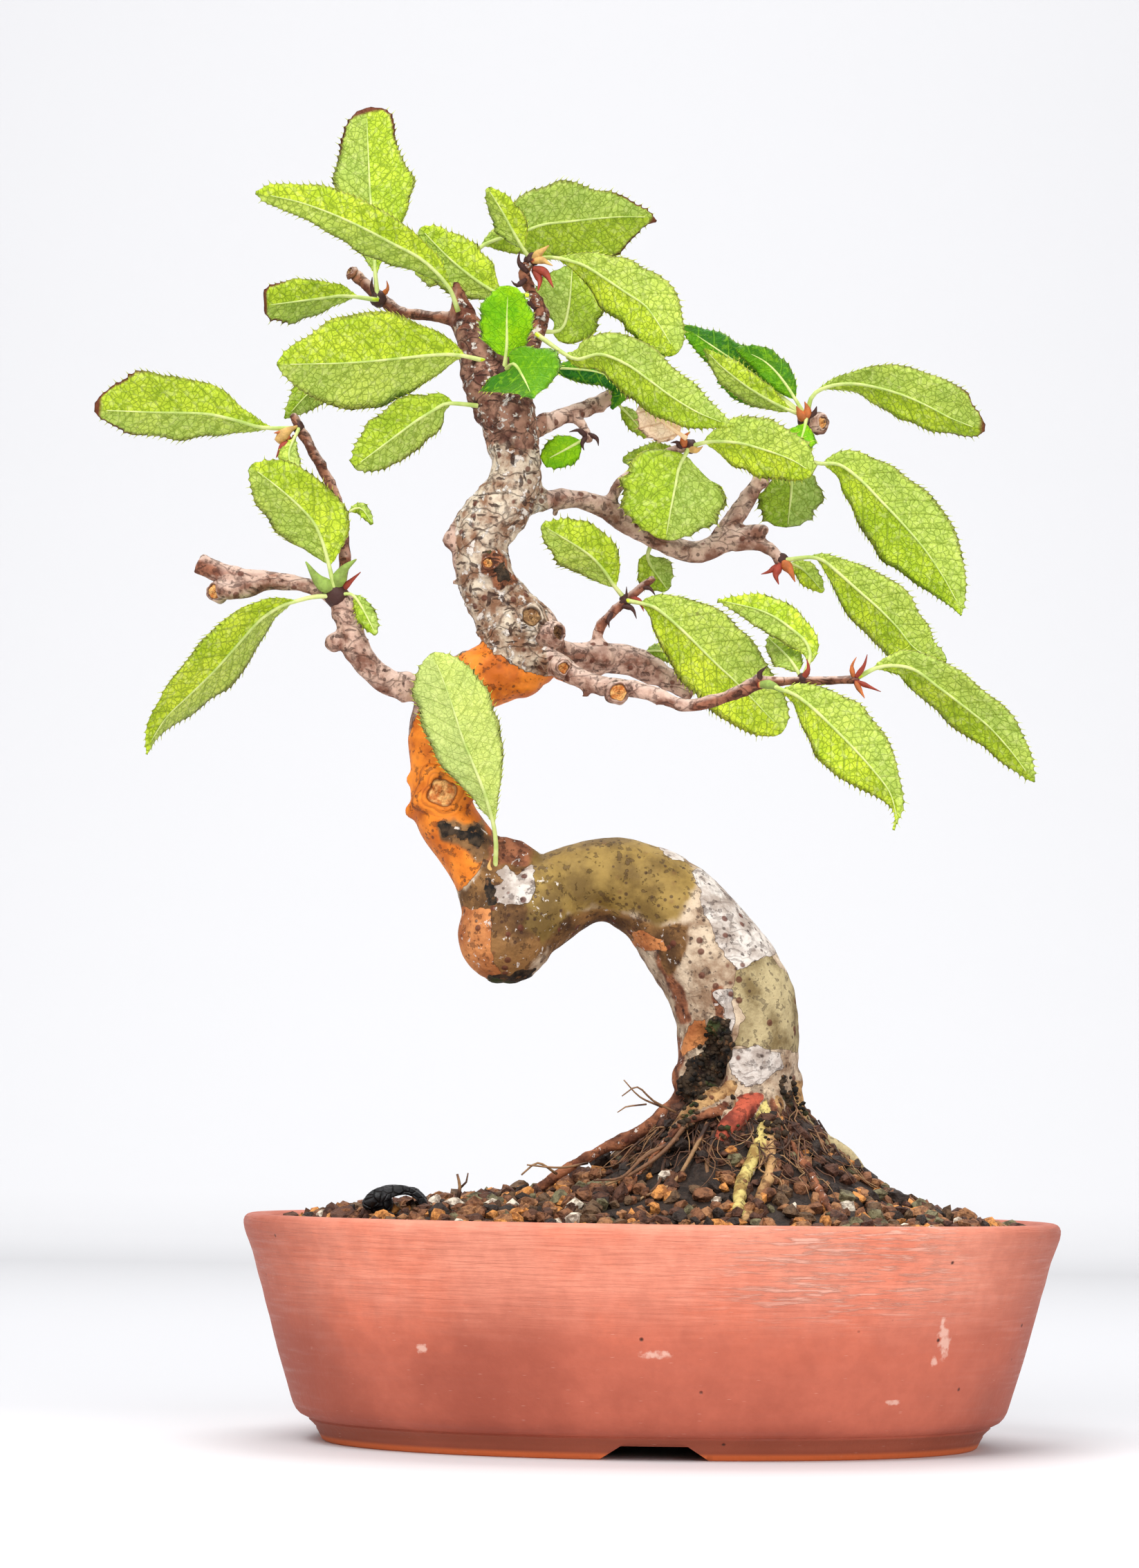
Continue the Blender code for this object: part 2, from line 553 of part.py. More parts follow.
class Leaf:
    def __init__(self, points, depths, width, turn=0.0, stalk=4.0, bow=0.0, cells=6, wave=0.6, blunt=0.0):
        self.points = points
        self.depths = depths
        heading = 1 if points[-1][0] < points[0][0] else -1
        self.turn = math.radians(turn) * heading
        self.width = width / math.cos(self.turn)
        self.stalk = stalk
        self.bow = bow
        self.cells = cells
        self.wave = wave
        self.blunt = blunt

    def route(self):
        """Midrib in millimetres, evenly spaced, with depth running from base to tip."""
        flat = smooth_route([(u, v, 0.0) for u, v in self.points], MIDRIB_STEP)
        lengths = [0.0]
        for a, b in zip(flat, flat[1:]):
            lengths.append(lengths[-1] + (b - a).length)
        total = lengths[-1]
        placed = []
        for row, run in zip(flat, lengths):
            t = run / total
            depth = self.depths[0] + (self.depths[1] - self.depths[0]) * t + self.bow * 4 * t * (1 - t)
            placed.append(seen(row[0], row[1], depth) / MM)
        return placed

    def half_width(self, s):
        """Half width of the blade at a share of its length, an oval drawn out to a short point."""
        full = math.sin(math.pi * s ** BLADE_PEAK_POWER) ** BLADE_ROUNDNESS if 0 < s < 1 else 0.0
        if self.blunt and s > BLUNT_FROM:
            full = max(full, self.blunt)
        return max(self.width / 2 * full, NARROWEST_BASE if s < 0.5 else NARROWEST_TIP)


def sample(route, lengths, run):
    for k in range(1, len(lengths)):
        if run <= lengths[k] or k == len(lengths) - 1:
            span = max(lengths[k] - lengths[k - 1], 1e-6)
            t = min(max((run - lengths[k - 1]) / span, 0.0), 1.0)
            return route[k - 1].lerp(route[k], t)
    return route[-1]


def build_leaf(name, leaf, slot="leaf_green"):
    """Toothed, waved blade with a folded midrib and a stalk, one closed faceted body."""
    route = leaf.route()
    lengths = [0.0]
    for a, b in zip(route, route[1:]):
        lengths.append(lengths[-1] + (b - a).length)
    total = lengths[-1]
    blade = total - leaf.stalk

    def frame(run):
        here = sample(route, lengths, run)
        ahead = sample(route, lengths, min(run + HEADING_REACH, total))
        behind = sample(route, lengths, max(run - HEADING_REACH, 0.0))
        along = (ahead - behind).normalized()
        side = along.cross(Vector((0, 1, 0))).normalized()
        face = side.cross(along).normalized()
        turned = side * math.cos(leaf.turn) + face * math.sin(leaf.turn)
        normal = face * math.cos(leaf.turn) - side * math.sin(leaf.turn)
        return here, turned, normal

    bm = bmesh.new()
    rings = []
    for run in (0.0, leaf.stalk * STALK_END):
        here, side, up = frame(run)
        rings.append([bm.verts.new((here + side * (a * STALK_RADIUS) + up * (b * STALK_RADIUS)) * MM)
                      for a, b in STALK_SECTION])
    sides = len(STALK_SECTION)
    for low, high in zip(rings, rings[1:]):
        for k in range(sides):
            n = (k + 1) % sides
            bm.faces.new((low[k], low[n], high[n]))
            bm.faces.new((low[k], high[n], high[k]))
    bm.faces.new(list(reversed(rings[0])))

    half = BLADE_THICKNESS / 2
    steps = leaf.cells * 2
    edges = []
    ribs = []
    for k in range(steps + 1):
        s = k / steps
        here, side, up = frame(leaf.stalk + blade * s)
        width = leaf.half_width(s)
        if 0 < k < steps and k % 2 == 1:
            width = max(width - TOOTH_DEPTH, NARROWEST_TOOTH)
        lift = FOLD * width
        ripple = leaf.wave * math.sin(s * WAVE_TURNS) * math.sin(math.pi * s)
        row = []
        for sign, turn in ((-1, 1.0), (1, WAVE_RIGHT)):
            edge = here + side * (sign * width) + up * (lift + ripple * turn)
            row.append((bm.verts.new((edge + up * half) * MM), bm.verts.new((edge - up * half) * MM)))
        edges.append(row)
        if k % 2 == 0:
            ribs.append((bm.verts.new((here + up * half) * MM), bm.verts.new((here - up * RIB_HALF_THICKNESS) * MM)))
    top = rings[-1]
    first = [edges[0][0][0], ribs[0][0], edges[0][1][0], edges[0][1][1], ribs[0][1], edges[0][0][1]]
    for k in range(sides):
        n = (k + 1) % sides
        bm.faces.new((top[k], top[n], first[n]))
        bm.faces.new((top[k], first[n], first[k]))
    for c in range(leaf.cells):
        for layer in (0, 1):
            m0 = ribs[c][layer]
            m1 = ribs[c + 1][layer]
            for hand in (0, 1):
                e0 = edges[2 * c][hand][layer]
                e1 = edges[2 * c + 1][hand][layer]
                e2 = edges[2 * c + 2][hand][layer]
                for trio in ((m0, e1, e0), (m0, m1, e1), (m1, e2, e1)):
                    bm.faces.new(trio if (hand + layer) % 2 == 0 else tuple(reversed(trio)))
    for k in range(steps):
        for hand in (0, 1):
            a = edges[k][hand]
            b = edges[k + 1][hand]
            for trio in ((a[0], b[0], b[1]), (a[0], b[1], a[1])):
                bm.faces.new(trio if hand == 0 else tuple(reversed(trio)))
    last = [edges[-1][0][0], ribs[-1][0], edges[-1][1][0], edges[-1][1][1], ribs[-1][1], edges[-1][0][1]]
    bm.faces.new(last)
    return object_from_bmesh(name, bm, slot)


SPRAYS = {
    "leaves_crown_left": ([
        Leaf([(-60.3, 254), (-60.8, 259.6), (-61.1, 267), (-61.9, 277.2), (-62.3, 285.5), (-62.8, 296.5)],
             (5.2, 14), 18.5, 25, 6.5, blunt=0.45),
        Leaf([(-60.3, 254), (-67.4, 255), (-71.8, 254.6), (-85.5, 252.8)], (5.2, -3), 8.0, 35, 5.0, cells=5,
             blunt=0.5)], (-60.2, 254.2, 6.4, 2.4)),
    "leaf_leader_low": ([
        Leaf([(-42.6, 251.5), (-44.5, 256.7), (-48.4, 261.2), (-52.3, 264.1), (-61.1, 268.6), (-67.4, 271.9),
              (-78.7, 276), (-87.4, 277.7)], (-2, -17), 11.5, 30, 5.5, bow=-2.0)], None),
    "leaf_crown_front": ([
        Leaf([(-27, 255), (-33.8, 255.6), (-39.6, 259.2), (-44.9, 263.6), (-51, 269.9)], (1.5, -2), 11.5, 20,
             6.0)], None),
    "leaf_leader_back": ([
        Leaf([(-43.5, 260), (-36.7, 266.4), (-30.4, 268.3), (-24.9, 270.5), (-18.2, 271.4), (-10.4, 272.2),
              (-2.1, 272.5), (1.2, 271.3)], (4, 20), 17.5, 30, 10.0, blunt=0.35),
        Leaf([(-43.5, 260), (-47, 260), (-52.3, 260.6)], (4, 9), 6.0, 20, 2.0, cells=5)],
        (-43.6, 260, 3, 2.2)),
    "leaves_crown_tip": ([
        Leaf([(-26.6, 262.8), (-30, 268.5), (-33, 274), (-36.1, 278.8)], (3, -4), 6.9, 30, 3.0, cells=5),
        Leaf([(-26.6, 262.8), (-21.5, 263.4), (-15.3, 261.9), (-10.4, 259), (-5.5, 255.7), (-0.6, 252.1),
              (5.8, 242.2)], (3, -9), 13.0, 25, 5.5)], (-26.5, 262.9, 3, 2.0)),
    "leaves_crown_back": ([
        Leaf([(-24.5, 247), (-19.9, 247.5), (-18.2, 252.8), (-17.4, 261.5)], (7, 14), 16.5, 15, 3.0)], None),
    "leaf_crown_right": ([
        Leaf([(-25.4, 246.5), (-17.3, 241.2), (-12.8, 241.9), (-8.9, 241.7), (-2.6, 238.1), (1.8, 234.7),
              (9.2, 229.8), (18.2, 226)], (3, -14), 11.5, 25, 8.5)], None),
    "leaf_crown_dark": ([
        Leaf([(-30.5, 239), (-19.3, 238.8), (-11.3, 237.8), (-6.7, 234.6), (-8.6, 229.8)], (4, 10), 6.0, -20,
             8.0, cells=5)], None),
    "leaves_trunk_top": ([
        Leaf([(-32.5, 238), (-31.8, 244), (-31.8, 250), (-31.5, 257.2)], (-6, -12), 12.4, -15, 3.5),
        Leaf([(-32.1, 238.5), (-30.3, 239.8), (-28.3, 237), (-26, 232.2)], (-6.6, -23), 18.5, 0, 2.5, cells=5)],
        (-32.6, 237.8, -5.8, 2.2)),
    "leaf_trunk_left_big": ([
        Leaf([(-36.5, 240.5), (-42.6, 241.9), (-48, 241.9), (-56.2, 241.1), (-66, 240.2), (-76.3, 239.9),
              (-82.7, 239.8)], (-5, -24), 19.4, 28, 5.0)], None),
    "leaf_trunk_left_back": ([
        Leaf([(-38, 241.5), (-50, 241.5), (-62, 239.5), (-72.7, 235.8), (-81, 227.8)], (3, 4), 9.5, 20, 14.0,
             cells=5)], None),
    "leaf_trunk_left_low": ([
        Leaf([(-36, 230.4), (-44.9, 231.2), (-48.4, 229.5), (-52.3, 227.1), (-56.2, 224.2), (-65.7, 217.1)],
             (-3, -10), 11.5, 30, 8.0)], None),
    "leaves_right_tip": ([
        Leaf([(34.4, 228), (27.7, 231), (21.2, 234.9), (15.4, 239.5), (11.8, 243.3)], (18, 9), 6.3, 20, 4.0,
             cells=5),
        Leaf([(34.4, 228), (24, 236.5), (14, 243.5), (6.5, 248.5)], (20, 27), 8.5, 0, 8.0, cells=5),
        Leaf([(34.4, 228), (29, 236.4), (24.5, 240.8), (18.9, 243.2)], (19, 21), 7.0, 0, 5.0, cells=5),
        Leaf([(34.4, 228), (33.6, 224.5), (31.9, 219.6)], (17, 11), 6.6, 0, 2.0, cells=5),
        Leaf([(34.4, 228), (35.5, 232.7), (38.4, 234.7), (41.9, 235.5), (47.7, 235.3), (57.5, 232.4),
              (68.6, 226.9), (73.8, 225.6)], (18, 4), 9.5, 40, 7.5)], (34.4, 227.2, 18.6, 2.8)),
    "leaves_right_rise": ([
        Leaf([(30.6, 219.8), (36.7, 218), (42.8, 217.3), (47.7, 212.9), (57.5, 202.6), (62.3, 196.4),
              (67.1, 188.6), (68.5, 184.2)], (17, 3), 16.2, 25, 8.0),
        Leaf([(30.6, 219.8), (31, 213), (30.1, 203.7)], (20, 29), 15.0, 15, 4.0, cells=5)],
        (30.3, 219.8, 18.2, 2.7)),
    "leaves_twig_tip": ([
        Leaf([(8.5, 221.5), (6.2, 217), (5.3, 212.5), (4.4, 208.1), (3.2, 200.9)], (5, 4), 24.0, 10, 2.5,
             bow=-2.0),
        Leaf([(8.5, 221.5), (12.1, 222.6), (16, 222.8), (20.9, 222.2), (25.7, 220.7), (30.6, 219),
              (35.9, 215.8)], (5, -5), 12.0, 25, 3.5),
        Leaf([(8.5, 221.5), (3, 219.6), (-6.3, 218.6)], (7, 18), 7.0, 0, 3.0, cells=5)],
        (8.7, 221.6, 5.6, 2.1)),
    "leaf_top_small": ([
        Leaf([(-14, 223.6), (-19.1, 220.8), (-24, 218.2)], (9.3, 5), 7.4, 0, 2.0, cells=5)], None),
    "leaf_top_slender": ([
        Leaf([(-8.4, 232), (-4.7, 228.3), (-0.9, 223.6)], (18, 23), 4.0, 0, 2.5, cells=5)], None),
    "leaves_right_end": ([
        Leaf([(29, 196.4), (36.2, 197.2), (40, 195), (44, 191.5), (52.7, 183.7), (59.6, 175.9),
              (65.3, 174.1)], (13, -2), 12.2, 30, 6.5),
        Leaf([(29, 196.4), (33.5, 194.4), (38.1, 189.4)], (14, 18), 5.0, 0, 2.0, cells=5)],
        (29, 196.2, 13.5, 2.2)),
    "leaf_shoot_end": ([
        Leaf([(45.4, 170.4), (49.8, 172.8), (53.6, 173.4), (57.2, 173), (65.4, 167.2), (75.2, 159.4),
              (79.9, 154), (84.8, 147.4)], (-25, -21), 9.6, 38, 4.5)], None),
    "leaves_shoot_middle": ([
        Leaf([(25, 169.6), (29.8, 167.5), (33.8, 165.6), (43.4, 156.5), (50.7, 148.2), (54.4, 142),
              (53.6, 136.8)], (-22.5, -38), 13.0, 25, 5.0, bow=-4.0)], None),
    "leaves_shoot_upper": ([
        Leaf([(33.5, 170), (35.2, 175.1), (34.1, 178.6), (27.4, 183.9), (22.8, 185.8), (14.7, 187.7)],
             (-23, -15), 7.8, 10, 4.0),
        Leaf([(33.5, 170), (30.6, 174.6), (25.8, 179.4)], (-22, -10), 6.6, 0, 3.0, cells=5)],
        (33.5, 169.9, -23.4, 1.9)),
    "leaves_stub_twig": ([
        Leaf([(-5.5, 187.6), (0.2, 186.4), (3.2, 184.3), (7.2, 180.9), (15, 173.1), (18.8, 169.6),
              (26.6, 161.5), (29, 158.4)], (8, -9), 16.8, 22, 3.5),
        Leaf([(-5.5, 187.6), (-8.2, 191), (-10.5, 194.4), (-14.4, 198.3), (-24.1, 204.3)], (9, -2), 11.0, 20,
             4.0)], (-5.6, 187.6, 8.8, 1.8)),
    "leaf_branch_hanging": ([
        Leaf([(0.5, 201), (-0.6, 196.5), (3.7, 189.8)], (15, 20), 8.6, 0, 3.5, cells=5)], None),
    "leaf_stub_small": ([
        Leaf([(-4.5, 175.5), (2, 176.4), (8, 173.8)], (15, 21), 4.4, 0, 4.0, cells=5)], None),
    "leaf_elbow": ([
        Leaf([(-34.6, 126.5), (-34.2, 133.5), (-35, 139.4), (-35.8, 142), (-37.3, 146.7), (-42, 158.3),
              (-44.2, 165.6), (-48.3, 176)], (-8, -20), 16.0, 15, 12.5, bow=-2.5)], None),
    "leaves_left_fork": ([
        Leaf([(-69.6, 188.6), (-75, 188.4), (-82.1, 186.4), (-86.2, 183.8), (-97, 171.8), (-108.6, 160.3),
              (-111.4, 153.5)], (-8, -11), 9.0, 58, 9.0),
        Leaf([(-69.6, 188.6), (-71.7, 198), (-74.1, 204.3), (-77.8, 208.6), (-82.7, 212.9), (-88.5, 217.3)],
             (-8, -20), 15.5, 22, 7.0),
        Leaf([(-69.6, 188.6), (-65.5, 188.4), (-60.7, 180)], (-8, -11.5), 4.4, 0, 4.0, cells=5)],
        (-69.5, 188.7, -7, 3.5)),
    "leaves_left_shoot_tip": ([
        Leaf([(-77.8, 225.6), (-86.2, 226), (-94.7, 228.4), (-101.3, 229.1), (-110.3, 229.3), (-123, 229.8)],
             (-5, -15), 14.0, 35, 6.5, blunt=0.5),
        Leaf([(-77.8, 225.6), (-80, 219.6), (-77.8, 213.6)], (-6, -11), 4.6, 0, 2.5, cells=5)],
        (-77.8, 225.8, -5, 1.8)),
    "leaf_left_shoot_curl": ([
        Leaf([(-68, 206.4), (-64.3, 208), (-61.5, 204.4)], (-5, -5), 2.6, 0, 1.5, cells=5)], None),
}
DEAD_LEAF = Leaf([(7.8, 223.4), (4, 226), (-2, 230.4)], (3, -1), 7.6, 0, 2.0, cells=5, wave=0.9)


def build_sprays(cutter):
    for name, (leaves, core) in SPRAYS.items():
        pieces = [build_leaf("%s_%d" % (name, k), leaf) for k, leaf in enumerate(leaves)]
        if core:
            u, v, depth, radius = core
            pieces.append(lump(name + "_bud", seen(u, v, depth), (radius,) * 3, "leaf_green", 1))
        spray = unite(name, pieces, "MANIFOLD")
        drop_scraps(cut(spray, cutter))
    drop_scraps(cut(build_leaf("dead_leaf", DEAD_LEAF, "dead_leaf"), cutter))


def centre_on_box():
    """Stand the part on z = 0 with the middle of its box over the origin."""
    solids = [o for o in bpy.context.scene.objects if o.type == "MESH" and not o.hide_render]
    places = [vert.co for solid in solids for vert in solid.data.vertices]
    lows = Vector(min(place[axis] for place in places) for axis in range(3))
    highs = Vector(max(place[axis] for place in places) for axis in range(3))
    shift = Vector((-(lows.x + highs.x) / 2, -(lows.y + highs.y) / 2, -lows.z))
    for solid in solids:
        solid.data.transform(Matrix.Translation(shift))


def main():
    clear_scene()
    build_pot()
    soil = build_soil()
    wood_cutter = build_wood("wood_clearance", GAP)
    soil = cut(soil, wood_cutter, "MANIFOLD")
    for name, side in (("drain_screen_left", -1), ("drain_screen_right", 1)):
        build_screen(name, side)
        half = SCREEN_SIZE / 2 + GAP
        pocket = box(name + "_pocket", (side * DRAIN_X - half, -half, POT_FLOOR_TOP - CUT_BEYOND),
                     (side * DRAIN_X + half, half, POT_FLOOR_TOP + 2 * GAP + SCREEN_THICKNESS), "soil")
        soil = cut(soil, pocket, "MANIFOLD")
        bpy.data.objects.remove(pocket, do_unlink=True)
    chip_cutter = build_chip("chip_clearance", GAP)
    soil = cut(soil, chip_cutter, "MANIFOLD")
    bpy.data.objects.remove(chip_cutter, do_unlink=True)
    drop_scraps(soil, weld=False)
    build_chip("bark_chip", 0.0)
    build_sprays(wood_cutter)
    bpy.data.objects.remove(wood_cutter, do_unlink=True)
    build_wood("wood", 0.0)
    centre_on_box()


main()
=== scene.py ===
"""Chinese quince bonsai in an oval terracotta pot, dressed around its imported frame.

The tree is drawn as on a front elevation: u to the right and v up, in millimetres, with a
depth behind the sheet. SightLine turns such a place into the row frame, in metres.
"""
import functools
import logging
import math
import random
from collections.abc import Callable, Sequence
from dataclasses import dataclass, field
from enum import Enum

import bmesh
import bpy
from mathutils import Matrix, Vector, noise
from mathutils.bvhtree import BVHTree
from mathutils.kdtree import KDTree


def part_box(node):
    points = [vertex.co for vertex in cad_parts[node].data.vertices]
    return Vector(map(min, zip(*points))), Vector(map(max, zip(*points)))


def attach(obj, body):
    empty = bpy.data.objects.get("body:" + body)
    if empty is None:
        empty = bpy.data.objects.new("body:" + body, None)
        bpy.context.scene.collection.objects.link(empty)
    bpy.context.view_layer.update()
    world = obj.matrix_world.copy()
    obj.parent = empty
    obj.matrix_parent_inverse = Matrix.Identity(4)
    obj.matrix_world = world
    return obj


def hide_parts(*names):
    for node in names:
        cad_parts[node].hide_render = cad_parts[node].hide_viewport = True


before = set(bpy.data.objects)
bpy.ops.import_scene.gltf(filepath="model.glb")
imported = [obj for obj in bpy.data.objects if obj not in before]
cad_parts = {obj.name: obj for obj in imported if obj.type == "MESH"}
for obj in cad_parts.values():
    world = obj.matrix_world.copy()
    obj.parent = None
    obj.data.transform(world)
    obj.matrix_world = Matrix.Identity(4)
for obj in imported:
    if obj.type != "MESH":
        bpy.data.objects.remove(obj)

LOG = logging.getLogger("bonsai")
MM = 0.001
ROUND = 2 * math.pi

Row = tuple[float, float, float, float]
Place = tuple[float, float]
Tone = tuple[float, float, float, float]
Pair = tuple[Tone, Tone]
BMesh = bmesh.types.BMesh
Vert = bmesh.types.BMVert
Layer = bmesh.types.BMLayerItem
Socket = bpy.types.NodeSocket
Material = bpy.types.Material


def tone(red: int, green: int, blue: int) -> Tone:
    """Linear colour of a paint given on the usual 0 to 255 scale."""
    return (*(linear(value / 255) for value in (red, green, blue)), 1.0)


def linear(value: float) -> float:
    """Linear share of light for a display value from 0 to 1."""
    return value / 12.92 if value <= 0.04045 else ((value + 0.055) / 1.055) ** 2.4


def smooth_step(value: float, low: float, high: float) -> float:
    """Soft ramp from 0 at low to 1 at high."""
    share = min(max((value - low) / (high - low), 0.0), 1.0)
    return share * share * (3 - 2 * share)


def between(first: float, second: float, share: float) -> float:
    """Value at a share of the way from the first to the second."""
    return first + (second - first) * share


@dataclass(frozen=True)
class SightLine:
    """The elevation that the tree is drawn on, and the eye in front of it."""

    pot_x: float
    eye_distance: float = 900.0
    eye_x: float = -19.5
    eye_z: float = 70.0
    centre_u: float = -18.0
    centre_v: float = 147.0
    roll: float = math.radians(0.8)
    scale: float = 1.009
    foot: float = 1.9

    @property
    def rise(self) -> float:
        """Height of the sheet's middle above the eye."""
        return self.centre_v - self.eye_z

    @property
    def pitch(self) -> float:
        """Upward tilt of the eye."""
        return math.atan2(self.rise, self.eye_distance)

    def point(self, u: float, v: float, depth: float = 0.0) -> Vector:
        """Place in the row frame that lines up with a place on the sheet.

        Args:
            u: Millimetres to the right on the sheet.
            v: Millimetres up on the sheet.
            depth: Millimetres behind the sheet.

        Returns:
            The place in metres.
        """
        across = (u - self.centre_u) * self.scale
        up_sheet = (v - self.centre_v) * self.scale
        right = math.cos(self.roll) * across - math.sin(self.roll) * up_sheet
        rise = math.sin(self.roll) * across + math.cos(self.roll) * up_sheet
        reach = (self.eye_distance + depth) / (self.eye_distance - math.sin(self.pitch) * rise)
        height = self.eye_z + (self.rise + math.cos(self.pitch) * rise) * reach - self.foot
        return Vector((self.eye_x + right * reach, depth, height)) * MM + Vector((self.pot_x, 0, 0))

    def sheet(self, place: Vector) -> Place:
        """Place on the sheet, in millimetres, that a place in the row frame lines up with."""
        spot = (place - Vector((self.pot_x, 0, 0))) / MM
        slope = (spot.z + self.foot - self.eye_z) / (self.eye_distance + spot.y)
        rise = (slope * self.eye_distance - self.rise) / (math.cos(self.pitch) + slope * math.sin(self.pitch))
        reach = (self.eye_distance + spot.y) / (self.eye_distance - math.sin(self.pitch) * rise)
        right = (spot.x - self.eye_x) / reach
        across = math.cos(self.roll) * right + math.sin(self.roll) * rise
        up_sheet = -math.sin(self.roll) * right + math.cos(self.roll) * rise
        return self.centre_u + across / self.scale, self.centre_v + up_sheet / self.scale


POT_LOW, POT_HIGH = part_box("pot")
SIGHT = SightLine(pot_x=(POT_LOW[0] + POT_HIGH[0]) / 2)


# Mesh helpers

def smooth_route(rows: Sequence[Sequence[float]], step: float) -> list[Vector]:
    """Catmull-Rom curve through rows of any length.

    Args:
        rows: The rows, such as x, y, z and radius.
        step: Distance between samples, about.

    Returns:
        The sampled rows.
    """
    spots = [Vector(row) for row in rows]
    spots = [spots[0] * 2 - spots[1]] + spots + [spots[-1] * 2 - spots[-2]]
    route = []
    for a, b, c, d in zip(spots, spots[1:], spots[2:], spots[3:]):
        count = max(1, round((c - b).length / step))
        for k in range(count):
            t = k / count
            route.append(0.5 * (2 * b + (c - a) * t + (2 * a - 5 * b + 4 * c - d) * t ** 2
                                + (3 * b - a - 3 * c + d) * t ** 3))
    route.append(spots[-2])
    return route


def loft(bm: BMesh, across: int, along: int, place: Callable[[float, int], Vector],
         closed: bool = True, caps: bool = True, chart: Callable[[float, int], Place] | None = None,
         paint: Callable[[float], int] | None = None,
         mark: Callable[[Vert, float, int], None] | None = None) -> list[Vert]:
    """Shape one grid into a skin: the grid's two directions become turns and stations.

    Args:
        bm: The mesh that the skin is added to.
        across: Number of cells round the skin.
        along: Number of cells along it.
        place: Gives a vertex its place from its share round and its station number.
        closed: Whether the skin closes on itself.
        caps: Whether the two open ends are filled.
        chart: Gives a corner its place on the chart that patterns follow.
        paint: Gives a face its material from its middle's share round; it goes with a chart.
        mark: Sets the values that a vertex holds.

    Returns:
        The vertices of the skin.
    """
    made = bmesh.ops.create_grid(bm, x_segments=across, y_segments=along, size=1.0)["verts"]
    if chart:
        sheet = bm.loops.layers.uv.get("chart") or bm.loops.layers.uv.new("chart")
        for face in {face for vert in made for face in vert.link_faces}:
            face.material_index = paint((face.calc_center_median().x + 1) / 2)
            for corner in face.loops:
                spot = corner.vert.co
                corner[sheet].uv = chart((spot.x + 1) / 2, round((spot.y + 1) / 2 * along))
    for vert in made:
        share, ring = (vert.co.x + 1) / 2, round((vert.co.y + 1) / 2 * along)
        if mark:
            mark(vert, share, ring)
        vert.co = place(share, ring)
    if closed:
        seam = [vert for vert in made if vert.is_boundary]
        bmesh.ops.remove_doubles(bm, verts=seam, dist=1e-7)
        made = [vert for vert in made if vert.is_valid]
    if caps:
        rim = {edge for vert in made for edge in vert.link_edges if edge.is_boundary}
        bmesh.ops.holes_fill(bm, edges=list(rim), sides=0)
    return made


def limb(bm: BMesh, rows: Sequence[Sequence[float]], sides: int, step: float,
         squeeze: Callable[[float, int], float] | None = None, round_tip: bool = False) -> None:
    """Tapered round limb along rows of x, y, z and radius in metres.

    Args:
        bm: The mesh that the limb is added to.
        rows: Places and radii.
        sides: Number of sides of its section.
        step: Distance between its rings.
        squeeze: Factor on the radius by share round and ring number.
        round_tip: Whether its far end closes in a dome.
    """
    route = smooth_route(rows, step)
    if round_tip:
        last = route[-1]
        ahead = (Vector(last[:3]) - Vector(route[-2][:3])).normalized()
        for share in (0.5, 0.85, 1.0):
            spot = Vector(last[:3]) + ahead * (last[3] * share)
            route.append(Vector((*spot, last[3] * max(math.sqrt(1 - share ** 2), 0.15))))
    spots = [Vector(row[:3]) for row in route]
    aheads = [(b - a).normalized() for a, b in zip([spots[0]] + spots, spots[1:] + [spots[-1]])]
    aheads[0] = (spots[1] - spots[0]).normalized()
    side = aheads[0].orthogonal().normalized()
    sideways = []
    for ahead in aheads:
        side = (side - ahead * side.dot(ahead)).normalized()
        sideways.append(side)

    def place(share: float, ring: int) -> Vector:
        """Place on the limb's skin."""
        angle = ROUND * share
        radius = route[ring][3] * (squeeze(share % 1.0, ring) if squeeze else 1.0)
        up = aheads[ring].cross(sideways[ring])
        return spots[ring] + (sideways[ring] * math.cos(angle) + up * math.sin(angle)) * radius

    loft(bm, sides, len(route) - 1, place)


def drawn(rows: Sequence[Row], extra: float = 0.0) -> list[tuple[float, ...]]:
    """Rows of x, y, z and radius in metres from rows of the elevation in millimetres."""
    return [(*SIGHT.point(u, v, depth), (radius + extra) * MM) for u, v, depth, radius in rows]


def lump(bm: BMesh, place: Vector, size: Vector, fineness: int = 2,
         turn: Matrix | None = None) -> list[Vert]:
    """Rounded lump of a size in metres at a place.

    Args:
        bm: The mesh that it is added to.
        place: Its middle.
        size: Its three half sizes.
        fineness: Subdivisions of the icosphere that it is made from.
        turn: Its rotation.

    Returns:
        Its vertices.
    """
    matrix = Matrix.Translation(place) @ (turn or Matrix()) @ Matrix.Diagonal((*size, 1.0))
    return bmesh.ops.create_icosphere(bm, subdivisions=fineness, radius=1.0, matrix=matrix)["verts"]


def add_float(bm: BMesh, name: str) -> Layer:
    """Float layer of the vertices, made if it isn't there yet."""
    return bm.verts.layers.float.get(name) or bm.verts.layers.float.new(name)


def added(parts: bmesh.types.BMVertSeq | bmesh.types.BMFaceSeq, before: int) -> list:
    """Vertices or faces that were added after the first so many."""
    parts.ensure_lookup_table()
    return parts[before:]


def runs_along(places: Sequence[Vector]) -> list[float]:
    """Run from the first place to each place."""
    runs = [0.0]
    for a, b in zip(places, places[1:]):
        runs.append(runs[-1] + (b - a).length)
    return runs


def mesh_of(name: str, bm: BMesh) -> bpy.types.Mesh:
    """Mesh of a bmesh, which is freed."""
    mesh = bpy.data.meshes.new(name)
    bm.to_mesh(mesh)
    bm.free()
    return mesh


def linked(name: str, data: bpy.types.ID) -> bpy.types.Object:
    """Object of a mesh, lamp or camera, in the scene."""
    made = bpy.data.objects.new(name, data)
    bpy.context.scene.collection.objects.link(made)
    return made


